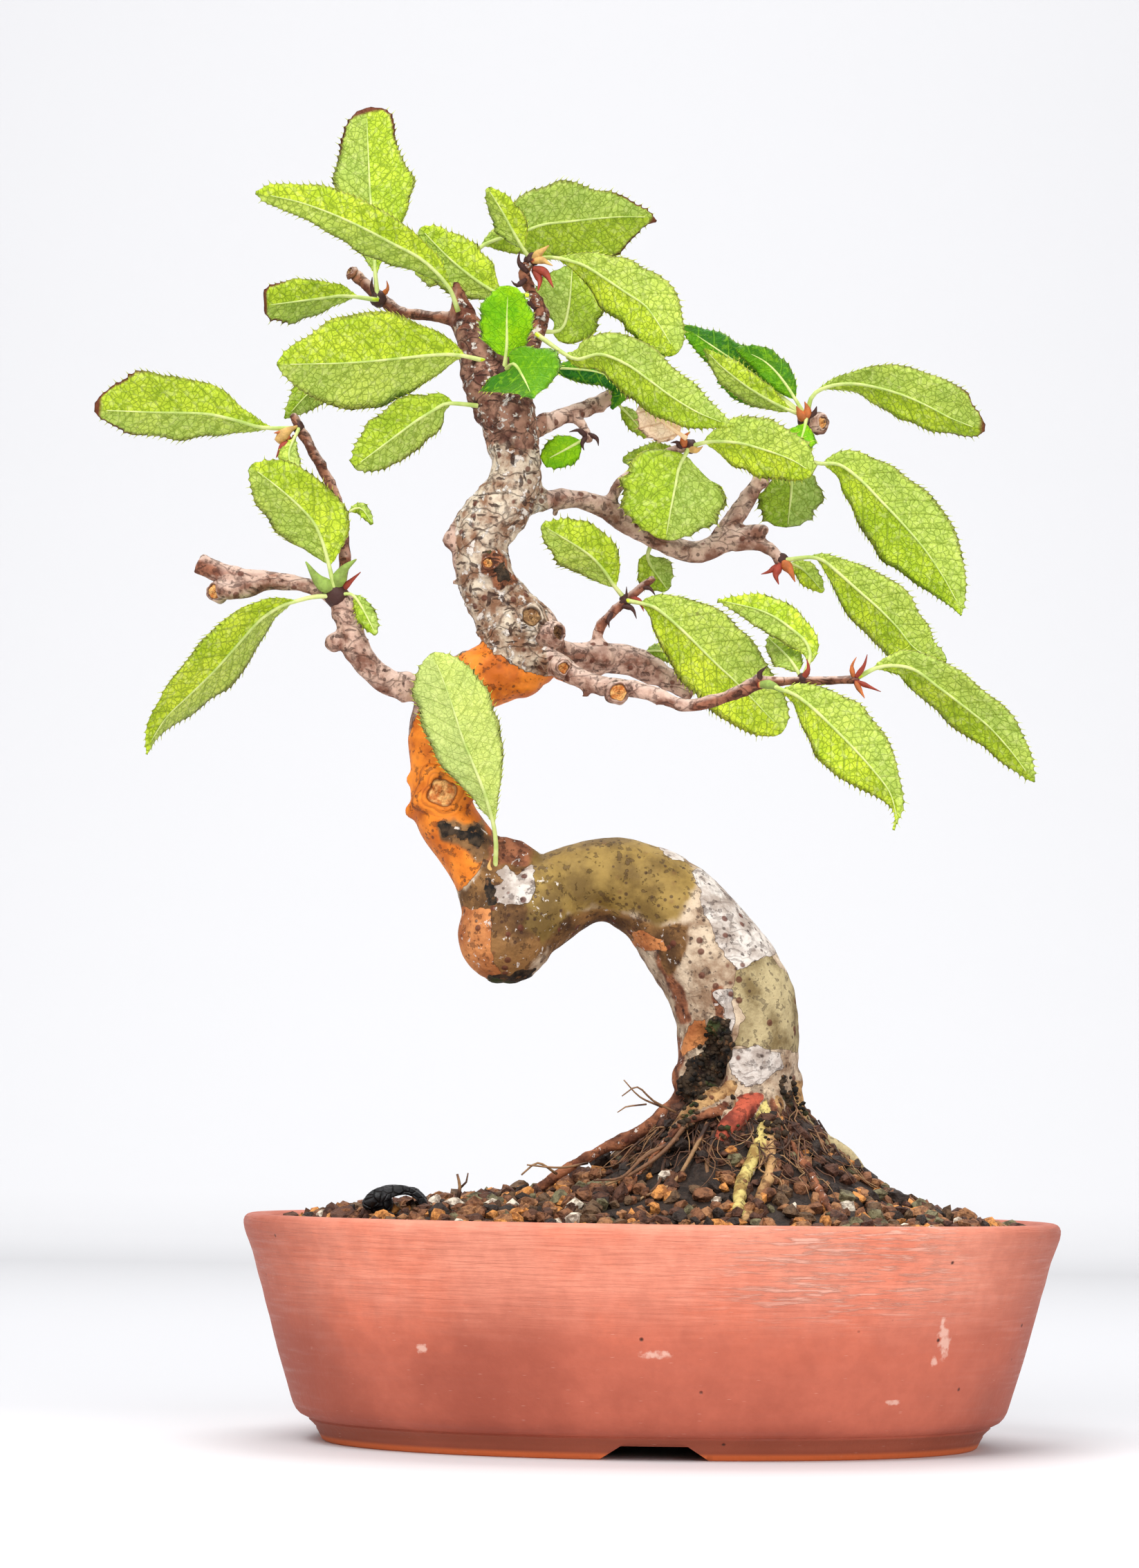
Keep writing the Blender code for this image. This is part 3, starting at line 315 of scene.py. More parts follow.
def piece_from(name: str, bm: BMesh, finishes: Sequence[Material],
               nodes: Sequence[str] = (), smooth: bool = True) -> bpy.types.Object:
    """Make a piece of a mesh: give it its finishes, hang it on the root body and hide the CAD nodes that it stands
    for.

    Args:
        name: Name of the piece.
        bm: Its mesh, which is freed.
        finishes: Its materials, in the order of their indices.
        nodes: The CAD nodes that it stands for.
        smooth: Whether its faces are shaded smooth.

    Returns:
        The object.
    """
    bmesh.ops.recalc_face_normals(bm, faces=bm.faces[:])
    return piece_of(name, mesh_of(name, bm), finishes, nodes, smooth)


def piece_of(name: str, mesh: bpy.types.Mesh, finishes: Sequence[Material],
             nodes: Sequence[str] = (), smooth: bool = True) -> bpy.types.Object:
    """Make a piece of a finished mesh, as piece_from does."""
    for finish in finishes:
        mesh.materials.append(finish)
    mesh.polygons.foreach_set("use_smooth", [smooth] * len(mesh.polygons))
    made = linked(name, mesh)
    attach(made, "root")
    if nodes:
        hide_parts(*nodes)
    LOG.info("%s: %d faces", name, len(mesh.polygons))
    return made


def baked(bm: BMesh, *modifiers: tuple[str, dict[str, object]]) -> bpy.types.Mesh:
    """Mesh of a bmesh after modifiers, with nothing left on it.

    Args:
        bm: The mesh that they work on, which is freed.
        modifiers: Kinds of modifier with their settings.

    Returns:
        The new mesh.
    """
    rough = mesh_of("rough", bm)
    holder = linked("rough", rough)
    for kind, settings in modifiers:
        modifier = holder.modifiers.new(kind.lower(), kind)
        for key, value in settings.items():
            setattr(modifier, key, value)
    bpy.context.view_layer.update()
    graph = bpy.context.evaluated_depsgraph_get()
    mesh = bpy.data.meshes.new_from_object(holder.evaluated_get(graph))
    bpy.data.objects.remove(holder, do_unlink=True)
    bpy.data.meshes.remove(rough)
    return mesh


# Node helpers and shared effects

class Board:
    """A node tree, with short calls that add and join its nodes."""

    def __init__(self, tree: bpy.types.NodeTree, shader: bpy.types.Node | None = None) -> None:
        """Hold the tree that the calls add to, and the shader that a material's nodes end in."""
        self.tree = tree
        self.shader = shader

    def fill(self, node: bpy.types.Node, sockets: dict[str | int, object]) -> bpy.types.Node:
        """Join a link, or set a plain value, at each input named."""
        for key, value in sockets.items():
            if isinstance(value, Socket):
                self.tree.links.new(value, node.inputs[key])
            else:
                node.inputs[key].default_value = value
        return node

    def add(self, kind: str, sockets: dict[str | int, object] | None = None,
            **settings: object) -> bpy.types.Node:
        """Place a node.

        Args:
            kind: Its type.
            sockets: A link or a plain value for each input.
            settings: Its own settings.

        Returns:
            The node.
        """
        node = self.tree.nodes.new(kind)
        for name, value in settings.items():
            setattr(node, name, value)
        return self.fill(node, sockets or {})

    def blend(self, factor: object, first: object, second: object) -> Socket:
        """Colour between two colours."""
        return self.add("ShaderNodeMix", {0: factor, 6: first, 7: second}, data_type="RGBA").outputs[2]

    def sums(self, operation: str, first: object, second: object = 0.0) -> Socket:
        """Result of a sum of one or two values."""
        return self.add("ShaderNodeMath", {0: first, 1: second}, operation=operation).outputs[0]

    def vectors(self, operation: str, first: object, second: object) -> Socket:
        """Result of a sum of two vectors."""
        return self.add("ShaderNodeVectorMath", {0: first, 1: second}, operation=operation).outputs[0]

    def times(self, *values: object) -> Socket:
        """Product of values."""
        return functools.reduce(functools.partial(self.sums, "MULTIPLY"), values)

    def total(self, *values: object) -> Socket:
        """Sum of values."""
        return functools.reduce(functools.partial(self.sums, "ADD"), values)

    def most(self, *values: object) -> Socket:
        """Greatest of values."""
        return functools.reduce(functools.partial(self.sums, "MAXIMUM"), values)

    def rest(self, value: object) -> Socket:
        """What is left of 1 after a value."""
        return self.sums("SUBTRACT", 1.0, value)

    def covered(self, colour: object, *layers: tuple[object, ...]) -> Socket:
        """Colour with paints over it, each as thick as the product of the shares after it."""
        for paint, *shares in layers:
            colour = self.blend(self.times(*shares), colour, paint)
        return colour

    def ramp(self, value: object, low: object, high: object, start: float = 0.0, end: float = 1.0) -> Socket:
        """Soft ramp from start where the value is low to end where it is high."""
        sockets = {0: value, 1: low, 2: high, 3: start, 4: end}
        return self.add("ShaderNodeMapRange", sockets, interpolation_type="SMOOTHSTEP").outputs[0]

    def fade(self, value: object, reach: object) -> Socket:
        """Straight ramp from 1 at a value of 0 to 0 at a reach."""
        return self.add("ShaderNodeMapRange", {0: value, 1: reach, 2: 0.0}).outputs[0]

    def steps(self, value: object, stops: Sequence[tuple[float, Tone]], kind: str = "LINEAR") -> Socket:
        """Colour by a value, from stops of position and colour."""
        node = self.add("ShaderNodeValToRGB", {0: value})
        ramp = node.color_ramp
        ramp.interpolation = kind
        ramp.elements.remove(ramp.elements[-1])
        for number, (position, colour) in enumerate(stops):
            stop = ramp.elements.new(position) if number else ramp.elements[0]
            stop.position = position
            stop.color = colour
        return node.outputs[0]

    def attribute(self, name: str) -> Socket:
        """Value that the mesh holds under a name."""
        return self.add("ShaderNodeAttribute", attribute_name=name).outputs["Fac"]

    def plain(self) -> Socket:
        """Object coordinates."""
        return self.add("ShaderNodeTexCoord").outputs["Object"]

    def mapped(self, where: Socket, scale: tuple[float, ...], turn: tuple[float, ...] = (0, 0, 0)) -> Socket:
        """Coordinates stretched by a factor on each axis, and turned."""
        return self.add("ShaderNodeMapping", {"Vector": where, "Rotation": turn, "Scale": scale}).outputs[0]

    def parts(self, vector: Socket) -> tuple[Socket, ...]:
        """Parts of a vector along the three axes."""
        return tuple(self.add("ShaderNodeSeparateXYZ", {0: vector}).outputs)

    def noise(self, where: Socket, scale: float, detail: float) -> Sequence[Socket]:
        """Even noise: its value, then its colour."""
        return self.add("ShaderNodeTexNoise", {"Vector": where, "Scale": scale, "Detail": detail}).outputs

    def shared(self, effect: bpy.types.NodeTree, **sockets: object) -> bpy.types.Node:
        """Place a shared effect."""
        return self.fill(self.add("ShaderNodeGroup", node_tree=effect), sockets)

    def clouds(self, where: Socket, scale: float, low: float, high: float, *pair: object) -> Sequence[Socket]:
        """Clouds of a pair of colours: their colour, then their mask."""
        colours = dict(zip(("First", "Second"), pair))
        return self.shared(EFFECTS.mottle, Vector=where, Scale=scale, Low=low, High=high, **colours).outputs

    def mottle(self, where: Socket, scale: float, low: float, high: float) -> Socket:
        """Mask of clouds."""
        return self.clouds(where, scale, low, high)[1]

    def specks(self, where: Socket, scale: float, size: float, amount: float) -> Socket:
        """Mask of scattered dots."""
        return self.shared(EFFECTS.specks, Vector=where, Scale=scale, Size=size, Amount=amount).outputs[0]

    def cells(self, where: Socket, scale: float, width: float) -> Socket:
        """Mask of the lines of a net."""
        return self.shared(EFFECTS.cells, Vector=where, Scale=scale, Width=width).outputs[0]

    def finish(self, **sockets: object) -> None:
        """Join what is drawn to the shader; underscores in the inputs' names stand for spaces."""
        self.fill(self.shader, {name.replace("_", " "): value for name, value in sockets.items()})

    def relief(self, height: Socket, distance: float, strength: float = 1.0) -> None:
        """Join a height to the shader's normal through a bump of a depth in metres."""
        bump = self.add("ShaderNodeBump", {"Height": height, "Distance": distance, "Strength": strength})
        self.finish(Normal=bump.outputs[0])


class Effects:
    """Shader node groups that more than one finish uses."""

    def __init__(self) -> None:
        """Build each group once."""
        self.mottle = self.build(self.draw_mottle, ("Colour", "Mask"), Scale=100.0, Low=0.4, High=0.6,
                                 First=(0, 0, 0, 1), Second=(1, 1, 1, 1))
        self.specks = self.build(self.draw_specks, ("Mask",), Scale=400.0, Size=0.25, Amount=0.3)
        self.cells = self.build(self.draw_cells, ("Line",), Scale=400.0, Width=0.1)

    @staticmethod
    def build(draw: Callable[[Board, object], tuple[Socket, ...]], results: tuple[str, ...],
              **inputs: object) -> bpy.types.NodeTree:
        """Make a group.

        Args:
            draw: Draws it from its inputs, and gives its results.
            results: Their names.
            inputs: The default of each input besides the coordinates; a tuple is a colour.

        Returns:
            The group.
        """
        tree = bpy.data.node_groups.new(draw.__name__.removeprefix("draw_"), "ShaderNodeTree")
        tree.interface.new_socket("Vector", in_out="INPUT", socket_type="NodeSocketVector")
        for key, default in inputs.items():
            kind = "NodeSocketColor" if isinstance(default, tuple) else "NodeSocketFloat"
            tree.interface.new_socket(key, in_out="INPUT", socket_type=kind).default_value = default
        for key in results:
            kind = "NodeSocketColor" if key == "Colour" else "NodeSocketFloat"
            tree.interface.new_socket(key, in_out="OUTPUT", socket_type=kind)
        board = Board(tree)
        made = draw(board, board.add("NodeGroupInput").outputs)
        board.fill(board.add("NodeGroupOutput"), dict(zip(results, made)))
        return tree

    @staticmethod
    def draw_mottle(board: Board, given: bpy.types.NodeOutputs) -> tuple[Socket, ...]:
        """Cloudy change between two colours, with its mask."""
        cloud = board.add("ShaderNodeTexNoise", {
            "Vector": given["Vector"], "Scale": given["Scale"], "Detail": 6.0, "Roughness": 0.6}).outputs[0]
        mask = board.ramp(cloud, given["Low"], given["High"])
        return board.blend(mask, given["First"], given["Second"]), mask

    @staticmethod
    def draw_specks(board: Board, given: bpy.types.NodeOutputs) -> tuple[Socket, ...]:
        """Small scattered dots of uneven size."""
        dots = board.add("ShaderNodeTexVoronoi", {"Vector": given["Vector"], "Scale": given["Scale"]}).outputs
        pick = board.add("ShaderNodeSeparateColor", {0: dots["Color"]}).outputs[0]
        chosen = board.sums("LESS_THAN", pick, given["Amount"])
        return (board.times(chosen, board.fade(dots["Distance"], given["Size"])),)

    @staticmethod
    def draw_cells(board: Board, given: bpy.types.NodeOutputs) -> tuple[Socket, ...]:
        """Net of fine lines between uneven cells."""
        net = board.add("ShaderNodeTexVoronoi", {"Vector": given["Vector"], "Scale": given["Scale"]},
                        feature="DISTANCE_TO_EDGE").outputs
        return (board.fade(net["Distance"], given["Width"]),)


EFFECTS = Effects()


@dataclass(frozen=True)
class Finish:
    """A material: its own values, and the nodes that its subclasses draw."""

    name: str
    roughness: float = 0.7
    specular: float = 0.4

    def build(self) -> Material:
        """Make the material, with its colour, roughness and relief joined to its shader."""
        made = bpy.data.materials.new(self.name)
        made.use_nodes = True
        board = Board(made.node_tree, made.node_tree.nodes["Principled BSDF"])
        board.finish(Metallic=0.0, Roughness=self.roughness, Specular_IOR_Level=self.specular)
        self.draw(board)
        return made

    def draw(self, board: Board) -> None:
        """Draw the pattern of the finish; each subclass has its own."""


@dataclass(frozen=True)
class Clouded(Finish):
    """Two tones in clouds, with a faint relief."""

    roughness: float = 0.5
    first: Tone = tone(0, 0, 0)
    second: Tone = tone(255, 255, 255)
    scale: float = 300.0
    low: float = 0.3
    high: float = 0.7

    def draw(self, board: Board) -> None:
        """Clouds of both tones, which also give the relief."""
        colour, mask = board.clouds(board.plain(), self.scale, self.low, self.high, self.first, self.second)
        board.finish(Base_Color=colour)
        board.relief(mask, 0.0001, 0.5)


# Pot

@dataclass(frozen=True)
class Terracotta(Finish):
    """Unglazed fired clay, brushed while it was leather hard."""

    name: str = "terracotta"
    roughness: float = 0.62
    specular: float = 0.35
    body: Tone = tone(196, 104, 80)
    pale: Tone = tone(246, 158, 130)
    warm: Tone = tone(228, 116, 82)
    deep: Tone = tone(160, 78, 58)
    # whitish efflorescence, pale marks and specks, and also the painted sheen over the tool's swirls
    bloom: Tone = tone(236, 196, 178)
    foot: Tone = tone(140, 70, 46)
    edge: Tone = tone(232, 120, 62)
    dirt: Tone = tone(84, 44, 34)
    foot_height: float = 0.0052
    edge_height: float = 0.0012
    tilt: float = math.radians(-9)
    marks: tuple[Row, ...] = (
        (-0.0485, 0.0225, 0.0013, 0.0011), (0.0605, 0.0255, 0.0014, 0.0042), (0.0, 0.0225, 0.0036, 0.001),
        (0.05, 0.0125, 0.0016, 0.0007), (0.0585, 0.021, 0.0007, 0.0014))

    def draw(self, board: Board) -> None:
        """Clouds, brush strokes, swirls of the tool under a painted sheen, whitish efflorescence, painted shade at
        both ends, pits and a few pale marks.
        """
        plain = board.plain()
        brushed = board.mapped(plain, (1.0, 1.0, 16.0))
        x, y, height = board.parts(plain)
        across = board.sums("SUBTRACT", x, SIGHT.pot_x)
        high = board.ramp(height, 0.022, 0.042)
        upper = board.covered(
            board.clouds(plain, 20.0, 0.36, 0.66, self.deep, self.body)[0], (self.pale, high, 0.7),
            (self.warm, board.mottle(plain, 27.0, 0.47, 0.62), board.ramp(height, 0.014, 0.034, 0.0, 0.45)))
        streaky, strokes = board.clouds(brushed, 50.0, 0.4, 0.7, upper, self.pale)
        tilted = board.mapped(plain, (1.0, 1.0, 14.0), (0.0, self.tilt, 0.0))
        near = board.times(board.ramp(across, 0.0, 0.03), board.ramp(across, 0.075, 0.05))
        # real swirl marks of the tool with a painted sheen: the pale tone laid over them stands in for the light that
        # they catch
        swirls_and_sheen = board.times(board.mottle(tilted, 120.0, 0.5, 0.62), near, board.ramp(height, 0.026, 0.036))
        # painted shade: the deep tone darkens the left and right ends of the pot, where the light falls off round its
        # sides
        ends = board.ramp(board.sums("ABSOLUTE", across), 0.06, 0.09)
        foot = board.ramp(height, self.foot_height, self.foot_height - 0.001)
        rim = board.ramp(height, self.edge_height + 0.0006, self.edge_height - 0.0004)
        colour = board.covered(
            upper, (streaky, high, 0.5), (self.deep, board.mottle(plain, 260.0, 0.3, 0.7), 0.25),
            (self.bloom, swirls_and_sheen, 0.4), (self.deep, ends, 0.8),
            (self.bloom, board.mottle(plain, 60.0, 0.48, 0.72), ends, 0.14), (self.foot, foot, 0.7),
            (self.edge, rim, 0.85))
        worn = board.noise(plain, 700.0, 4.0)[0]
        front = board.sums("LESS_THAN", y, 0.0)
        for mark_x, mark_z, half_x, half_z in self.marks:
            aside = board.sums("DIVIDE", board.sums("SUBTRACT", across, mark_x), half_x)
            rise = board.sums("DIVIDE", board.sums("SUBTRACT", height, mark_z), half_z)
            away = board.total(board.times(aside, aside), board.times(rise, rise), board.times(worn, 4.0))
            colour = board.covered(colour, (self.bloom, board.ramp(away, 3.2, 2.0), front, 0.65))
        dark = board.specks(plain, 400.0, 0.2, 0.03)
        colour = board.covered(colour, (self.dirt, dark, 1.6),
                               (self.bloom, board.specks(brushed, 330.0, 0.2, 0.04), 0.8))
        gleam = board.most(board.times(strokes, 0.6), swirls_and_sheen)
        board.finish(Base_Color=colour, Roughness=board.ramp(gleam, 0.0, 1.0, 0.62, 0.36))
        lines = board.times(board.noise(brushed, 90.0, 5.0)[0], high, 1.6)
        raised = board.total(board.times(worn, 0.3), lines, board.times(swirls_and_sheen, 0.45))
        board.relief(board.sums("SUBTRACT", raised, board.times(dark, 1.5)), 0.0005, 0.75)


@dataclass
class Pot:
    """Oval thrown pot with a rounded lip, a foot ring and a notch front and back."""

    half_length: float = 90.0
    half_depth: float = 68.0
    height: float = 49.2
    power: float = 2.15
    sides: int = 288
    wobble: float = 0.22
    notch_low: float = 13.0
    notch_high: float = 7.0
    notch_height: float = 3.0
    notch_reach: float = 80.0
    drain_x: float = 38.0
    drain_radius: float = 6.0
    drain_middle: float = 0.005
    drain_depth: float = 0.014
    sharp: float = math.radians(50)
    rows: list[Place] = field(default_factory=lambda: [
        (27.0, 3.2), (25.6, 3.0), (25.1, 0.5), (24.6, 0.0), (18.6, 0.0), (18.1, 0.3), (17.4, 1.7),
        (16.9, 2.5), (16.8, 3.0), (15.9, 3.9), (15.2, 4.5), (15.3, 4.9), (14.3, 5.3), (13.1, 5.9),
        (12.2, 6.8), (11.5, 8.0), (10.9, 9.6), (10.0, 12.5), (9.0, 15.7), (8.0, 19.0), (7.0, 22.6),
        (6.0, 26.3), (5.0, 30.0), (4.2, 33.0), (3.3, 36.0), (2.6, 38.6), (2.05, 40.7), (1.3, 42.8),
        (0.7, 44.4), (0.25, 45.8), (0.05, 46.9), (0.05, 47.7), (0.3, 48.4), (0.8, 48.9), (1.5, 49.15),
        (2.4, 49.2), (3.3, 49.05), (4.0, 48.7), (4.6, 48.2), (5.0, 47.4), (5.4, 45.8), (7.4, 38.0),
        (12.0, 21.0), (18.5, 9.0),
    ])

    def oval(self, inset: float, z: float, share: float, shrink: float = 1.0) -> Vector:
        """Place on the pot's oval.

        Args:
            inset: Millimetres inwards from the rim.
            z: Millimetres above the table.
            share: Share of the way round.
            shrink: Factor on both half sizes.

        Returns:
            The place in metres.
        """
        angle = ROUND * (share % 1.0)
        c, s = math.cos(angle), math.sin(angle)
        x = (self.half_length - inset) * math.copysign(abs(c) ** (2 / self.power), c)
        y = (self.half_depth - inset) * math.copysign(abs(s) ** (2 / self.power), s)
        return Vector((x * shrink, y * shrink, z)) * MM + Vector((SIGHT.pot_x, 0, 0))

    def thrown(self, share: float, row: int) -> Vector:
        """Place on the skin, a little uneven as handwork is, within the CAD pot's size."""
        inset, z = self.rows[row]
        spot = self.oval(inset, z, share)
        free = smooth_step(z, 3.0, 12.0) * (1 - smooth_step(z, 40.0, 48.0) * 0.7)
        band = Vector((spot.x * 60, spot.y * 60, spot.z * 330))
        swell = noise.noise(spot * 28.0) * 0.6 + noise.noise(band) * 0.4
        return self.oval(inset + (self.wobble + swell * self.wobble) * free, z, share)

    def build(self) -> bpy.types.Object:
        """Make the pot."""
        bm = bmesh.new()
        loft(bm, self.sides, len(self.rows) - 1, self.thrown)
        bmesh.ops.recalc_face_normals(bm, faces=bm.faces[:])
        cutters = [self.notch_cutter(), self.drain_cutter()]
        mesh = baked(bm, *(("BOOLEAN", {"operation": "DIFFERENCE", "solver": "EXACT", "object": cutter})
                           for cutter in cutters))
        for cutter in cutters:
            bpy.data.objects.remove(cutter, do_unlink=True)
        made = piece_of("pot_dressed", mesh, [Terracotta().build()], ["pot"])
        mesh.set_sharp_from_angle(angle=self.sharp)
        return made

    @staticmethod
    def cutter(name: str, bm: BMesh) -> bpy.types.Object:
        """Loose object for the Boolean to cut with."""
        bmesh.ops.recalc_face_normals(bm, faces=bm.faces[:])
        return linked(name, mesh_of(name, bm))

    def notch_cutter(self) -> bpy.types.Object:
        """Bar of trapezoid section that runs under the pot from front to back."""
        bm = bmesh.new()
        verts = bmesh.ops.create_cube(bm, size=1.0)["verts"]
        for vert in verts:
            half = self.notch_high if vert.co.z > 0 else self.notch_low
            z = self.notch_height if vert.co.z > 0 else -1.0
            x, y = math.copysign(half, vert.co.x), math.copysign(self.notch_reach, vert.co.y)
            vert.co = Vector((x, y, z)) * MM
            vert.co.x += SIGHT.pot_x
        return self.cutter("notch_cutter", bm)

    def drain_cutter(self) -> bpy.types.Object:
        """Two round bars through the pot's floor."""
        bm = bmesh.new()
        for side in (-1, 1):
            place = Matrix.Translation(Vector((SIGHT.pot_x + side * self.drain_x * MM, 0, self.drain_middle)))
            bmesh.ops.create_cone(bm, cap_ends=True, segments=32, radius1=self.drain_radius * MM,
                                  radius2=self.drain_radius * MM, depth=self.drain_depth, matrix=place)
        return self.cutter("drain_cutter", bm)


# Soil

@dataclass(frozen=True)
class Granules(Finish):
    """Fired clay granules in mixed colours, damp and dull."""

    name: str = "soil_granules"
    roughness: float = 0.7
    specular: float = 0.4
    tones: tuple[tuple[float, Tone], ...] = (
        (0.0, tone(54, 40, 32)), (0.1, tone(96, 60, 42)), (0.3, tone(138, 90, 58)), (0.5, tone(170, 118, 76)),
        (0.66, tone(112, 84, 58)), (0.8, tone(126, 118, 84)), (0.87, tone(224, 150, 76)),
        (0.965, tone(240, 226, 204)))
    damp: Tone = tone(112, 84, 66)

    def draw(self, board: Board) -> None:
        """Each granule's own colour, then grain, dust and pores."""
        own = board.steps(board.attribute("kind"), self.tones, "CONSTANT")
        darker = board.add("ShaderNodeMix", {0: 0.7, 6: own, 7: self.damp}, data_type="RGBA",
                           blend_type="MULTIPLY").outputs[2]
        plain = board.plain()
        board.finish(Base_Color=board.blend(board.mottle(plain, 620.0, 0.4, 0.56), darker, own))
        board.relief(board.noise(plain, 1100.0, 4.0)[0], 0.0009, 0.9)


CLODS: list[tuple[float, float, float]] = [
    (31.6, 68.6, 2.6), (35.4, 66.2, 2.2), (39.4, 63.6, 2.8), (43.6, 62.4, 2.4), (47.2, 59.2, 2.6),
    (50.8, 56.6, 2.2), (54.4, 55.6, 2.4), (58.6, 52.8, 2.0), (62.6, 51.6, 1.8), (36.4, 62.6, 2.6),
    (42.2, 58.8, 2.4), (46.8, 55.4, 2.2), (-11.4, 63.6, 2.2), (-16.2, 60.6, 2.2), (-22.4, 57.6, 2.2),
    (-28.6, 55.8, 2.0),
]


@dataclass
class Soil:
    """Mound of granules heaped round the roots, over a closed bed."""

    pot: Pot
    rim_level: float = 46.6
    dome: float = 8.5
    peak: float = 27.0
    spread: float = 16.5
    peak_x: float = 18.5
    wall: float = 5.6
    rim_gap: float = 5.0
    sunk: float = 1.5
    count: int = 2300
    crumbs: int = 2600
    crumb_reach: float = 25.0
    sides: int = 120
    rings: int = 22
    seed: int = 11

    def level(self, x: float, y: float) -> float:
        """Height of the mound over a place measured from the pot's middle, in millimetres."""
        half_length, half_depth = self.pot.half_length - self.rim_gap, self.pot.half_depth - self.rim_gap
        radius = math.hypot(x / half_length, y / half_depth)
        away = ((x - self.peak_x) ** 2 + y ** 2) / (2 * self.spread ** 2)
        return self.rim_level + self.dome * max(0.0, 1 - radius ** 2.4) + self.peak * math.exp(-away)

    def bed(self, share: float, row: int) -> Vector:
        """Place on the closed bed that carries the granules."""
        if row == 0:
            return self.pot.oval(self.wall + 6, 26.0, share)
        shrink = 1 - (row - 1) / self.rings
        spot = self.pot.oval(self.wall, 0.0, share, max(shrink, 0.001))
        x, y = (spot.x - SIGHT.pot_x) / MM, spot.y / MM
        spot.z = (self.level(x, y) - self.sunk + 0.6 * noise.noise(spot * 300)) * MM
        return spot

    def build(self) -> bpy.types.Object:
        """Make the bed and heap the granules on it."""
        rng = random.Random(self.seed)
        bm = bmesh.new()
        loft(bm, self.sides, self.rings + 1, self.bed)
        kind = add_float(bm, "kind")
        for vert in bm.verts:
            vert[kind] = 0.05
        shapes = [self.granule(rng, fine) for fine in (2, 2, 1, 1, 1, 1)]
        for _ in range(self.count):
            size = rng.triangular(0.9, 2.4, 1.4)
            angle = rng.uniform(0, ROUND)
            reach = math.sqrt(rng.uniform(0, 1))
            spot = self.pot.oval(self.wall + size * 0.8, 0.0, angle / ROUND, reach)
            away = math.hypot((spot.x - SIGHT.pot_x) / MM - self.peak_x, spot.y / MM)
            dark = 0.9 * (1 - smooth_step(away, self.crumb_reach * 0.6, self.crumb_reach * 1.3))
            value = rng.uniform(0.0, 0.2) if rng.random() < dark else rng.random()
            size *= 1 - 0.4 * dark
            self.drop(bm, rng, rng.choice(shapes), spot, size, value)
        for _ in range(self.crumbs):
            angle, reach = rng.uniform(0, ROUND), rng.triangular(5, self.crumb_reach, 14)
            spot = Vector((self.peak_x + reach * math.cos(angle), reach * math.sin(angle), 0)) * MM
            spot.x += SIGHT.pot_x
            size = rng.triangular(0.5, 1.5, 0.8) if rng.random() < 0.96 else rng.uniform(1.8, 2.6)
            self.drop(bm, rng, rng.choice(shapes[3:5]), spot, size, rng.uniform(0.0, 0.2))
        for u, v, size in CLODS:
            spot = SIGHT.point(u, v, -2.0)
            height = spot.z
            self.drop(bm, rng, rng.choice(shapes[:2]), spot, size, rng.uniform(0.0, 0.12), height)
        made = piece_from("soil_dressed", bm, [Granules().build()], ["soil"], smooth=False)
        for shape in shapes:
            bpy.data.meshes.remove(shape)
        return made

    def drop(self, bm: BMesh, rng: random.Random, shape: bpy.types.Mesh, spot: Vector, size: float,
             kind: float, height: float | None = None) -> None:
        """Lay one granule on the mound, or at a given height.

        Args:
            bm: The mesh that it is added to.
            rng: Source of its turn and its depth.
            shape: Its form.
            spot: Its place in plan, in metres.
            size: Its size in millimetres.
            kind: Its place on the scale of colours.
            height: Its height in metres, where it doesn't simply lie on the mound.
        """
        x, y = (spot.x - SIGHT.pot_x) / MM, spot.y / MM
        lain = (self.level(x, y) - self.sunk + size * rng.uniform(0.1, 0.75)) * MM
        spot.z = lain if height is None else height
        turn = Matrix.Rotation(rng.uniform(0, 6.28), 4, Vector((rng.uniform(-1, 1), rng.uniform(-1, 1), 1)))
        place = Matrix.Translation(spot) @ turn @ Matrix.Scale(size * MM, 4)
        shape.transform(place)
        shape.attributes["kind"].data.foreach_set("value", [kind] * len(shape.vertices))
        bm.from_mesh(shape)
        shape.transform(place.inverted())

    @staticmethod
    def granule(rng: random.Random, fineness: int) -> bpy.types.Mesh:
        """One broken granule about two units across, with flat faces."""
        bm = bmesh.new()
        kind = add_float(bm, "kind")
        verts = lump(bm, Vector(), Vector((1.0, rng.uniform(0.75, 1.0), rng.uniform(0.6, 0.85))), fineness)
        seed = Vector((rng.uniform(0, 50), 0, 0))
        broken = [(Vector((rng.uniform(-1, 1), rng.uniform(-1, 1), rng.uniform(-1, 1))).normalized(),
                   rng.uniform(0.5, 0.8)) for _ in range(8)]
        for vert in verts:
            vert.co *= 1 + 0.45 * noise.noise(vert.co * 1.1 + seed)
            for out, limit in broken:
                vert.co -= out * max(0.0, vert.co.dot(out) - limit)
            vert.co *= 1.25 + 0.14 * noise.noise(vert.co * 3.1 + seed)
            vert[kind] = 0.0
        return mesh_of("granule", bm)


# Wood

class Bark(Enum):
    """Kinds of bark; each is a mask on the wood's vertices."""

    OLIVE = "olive"
    OCHRE = "ochre"
    WHITE = "white"
    ORANGE = "orange"
    FLAKE = "flake"
    DARK = "dark"
    RED = "red"
    SHOOT = "shoot"
    TWIG = "twig"
    CRUST = "crust"
    TAN = "tan"
    UMBER = "umber"
    RUST = "rust"
    SAGE = "sage"
    LIME = "lime"
    CUT = "cut"
    # painted shade in creases and in the grooves of scars; not a kind of bark
    GROOVE = "groove"


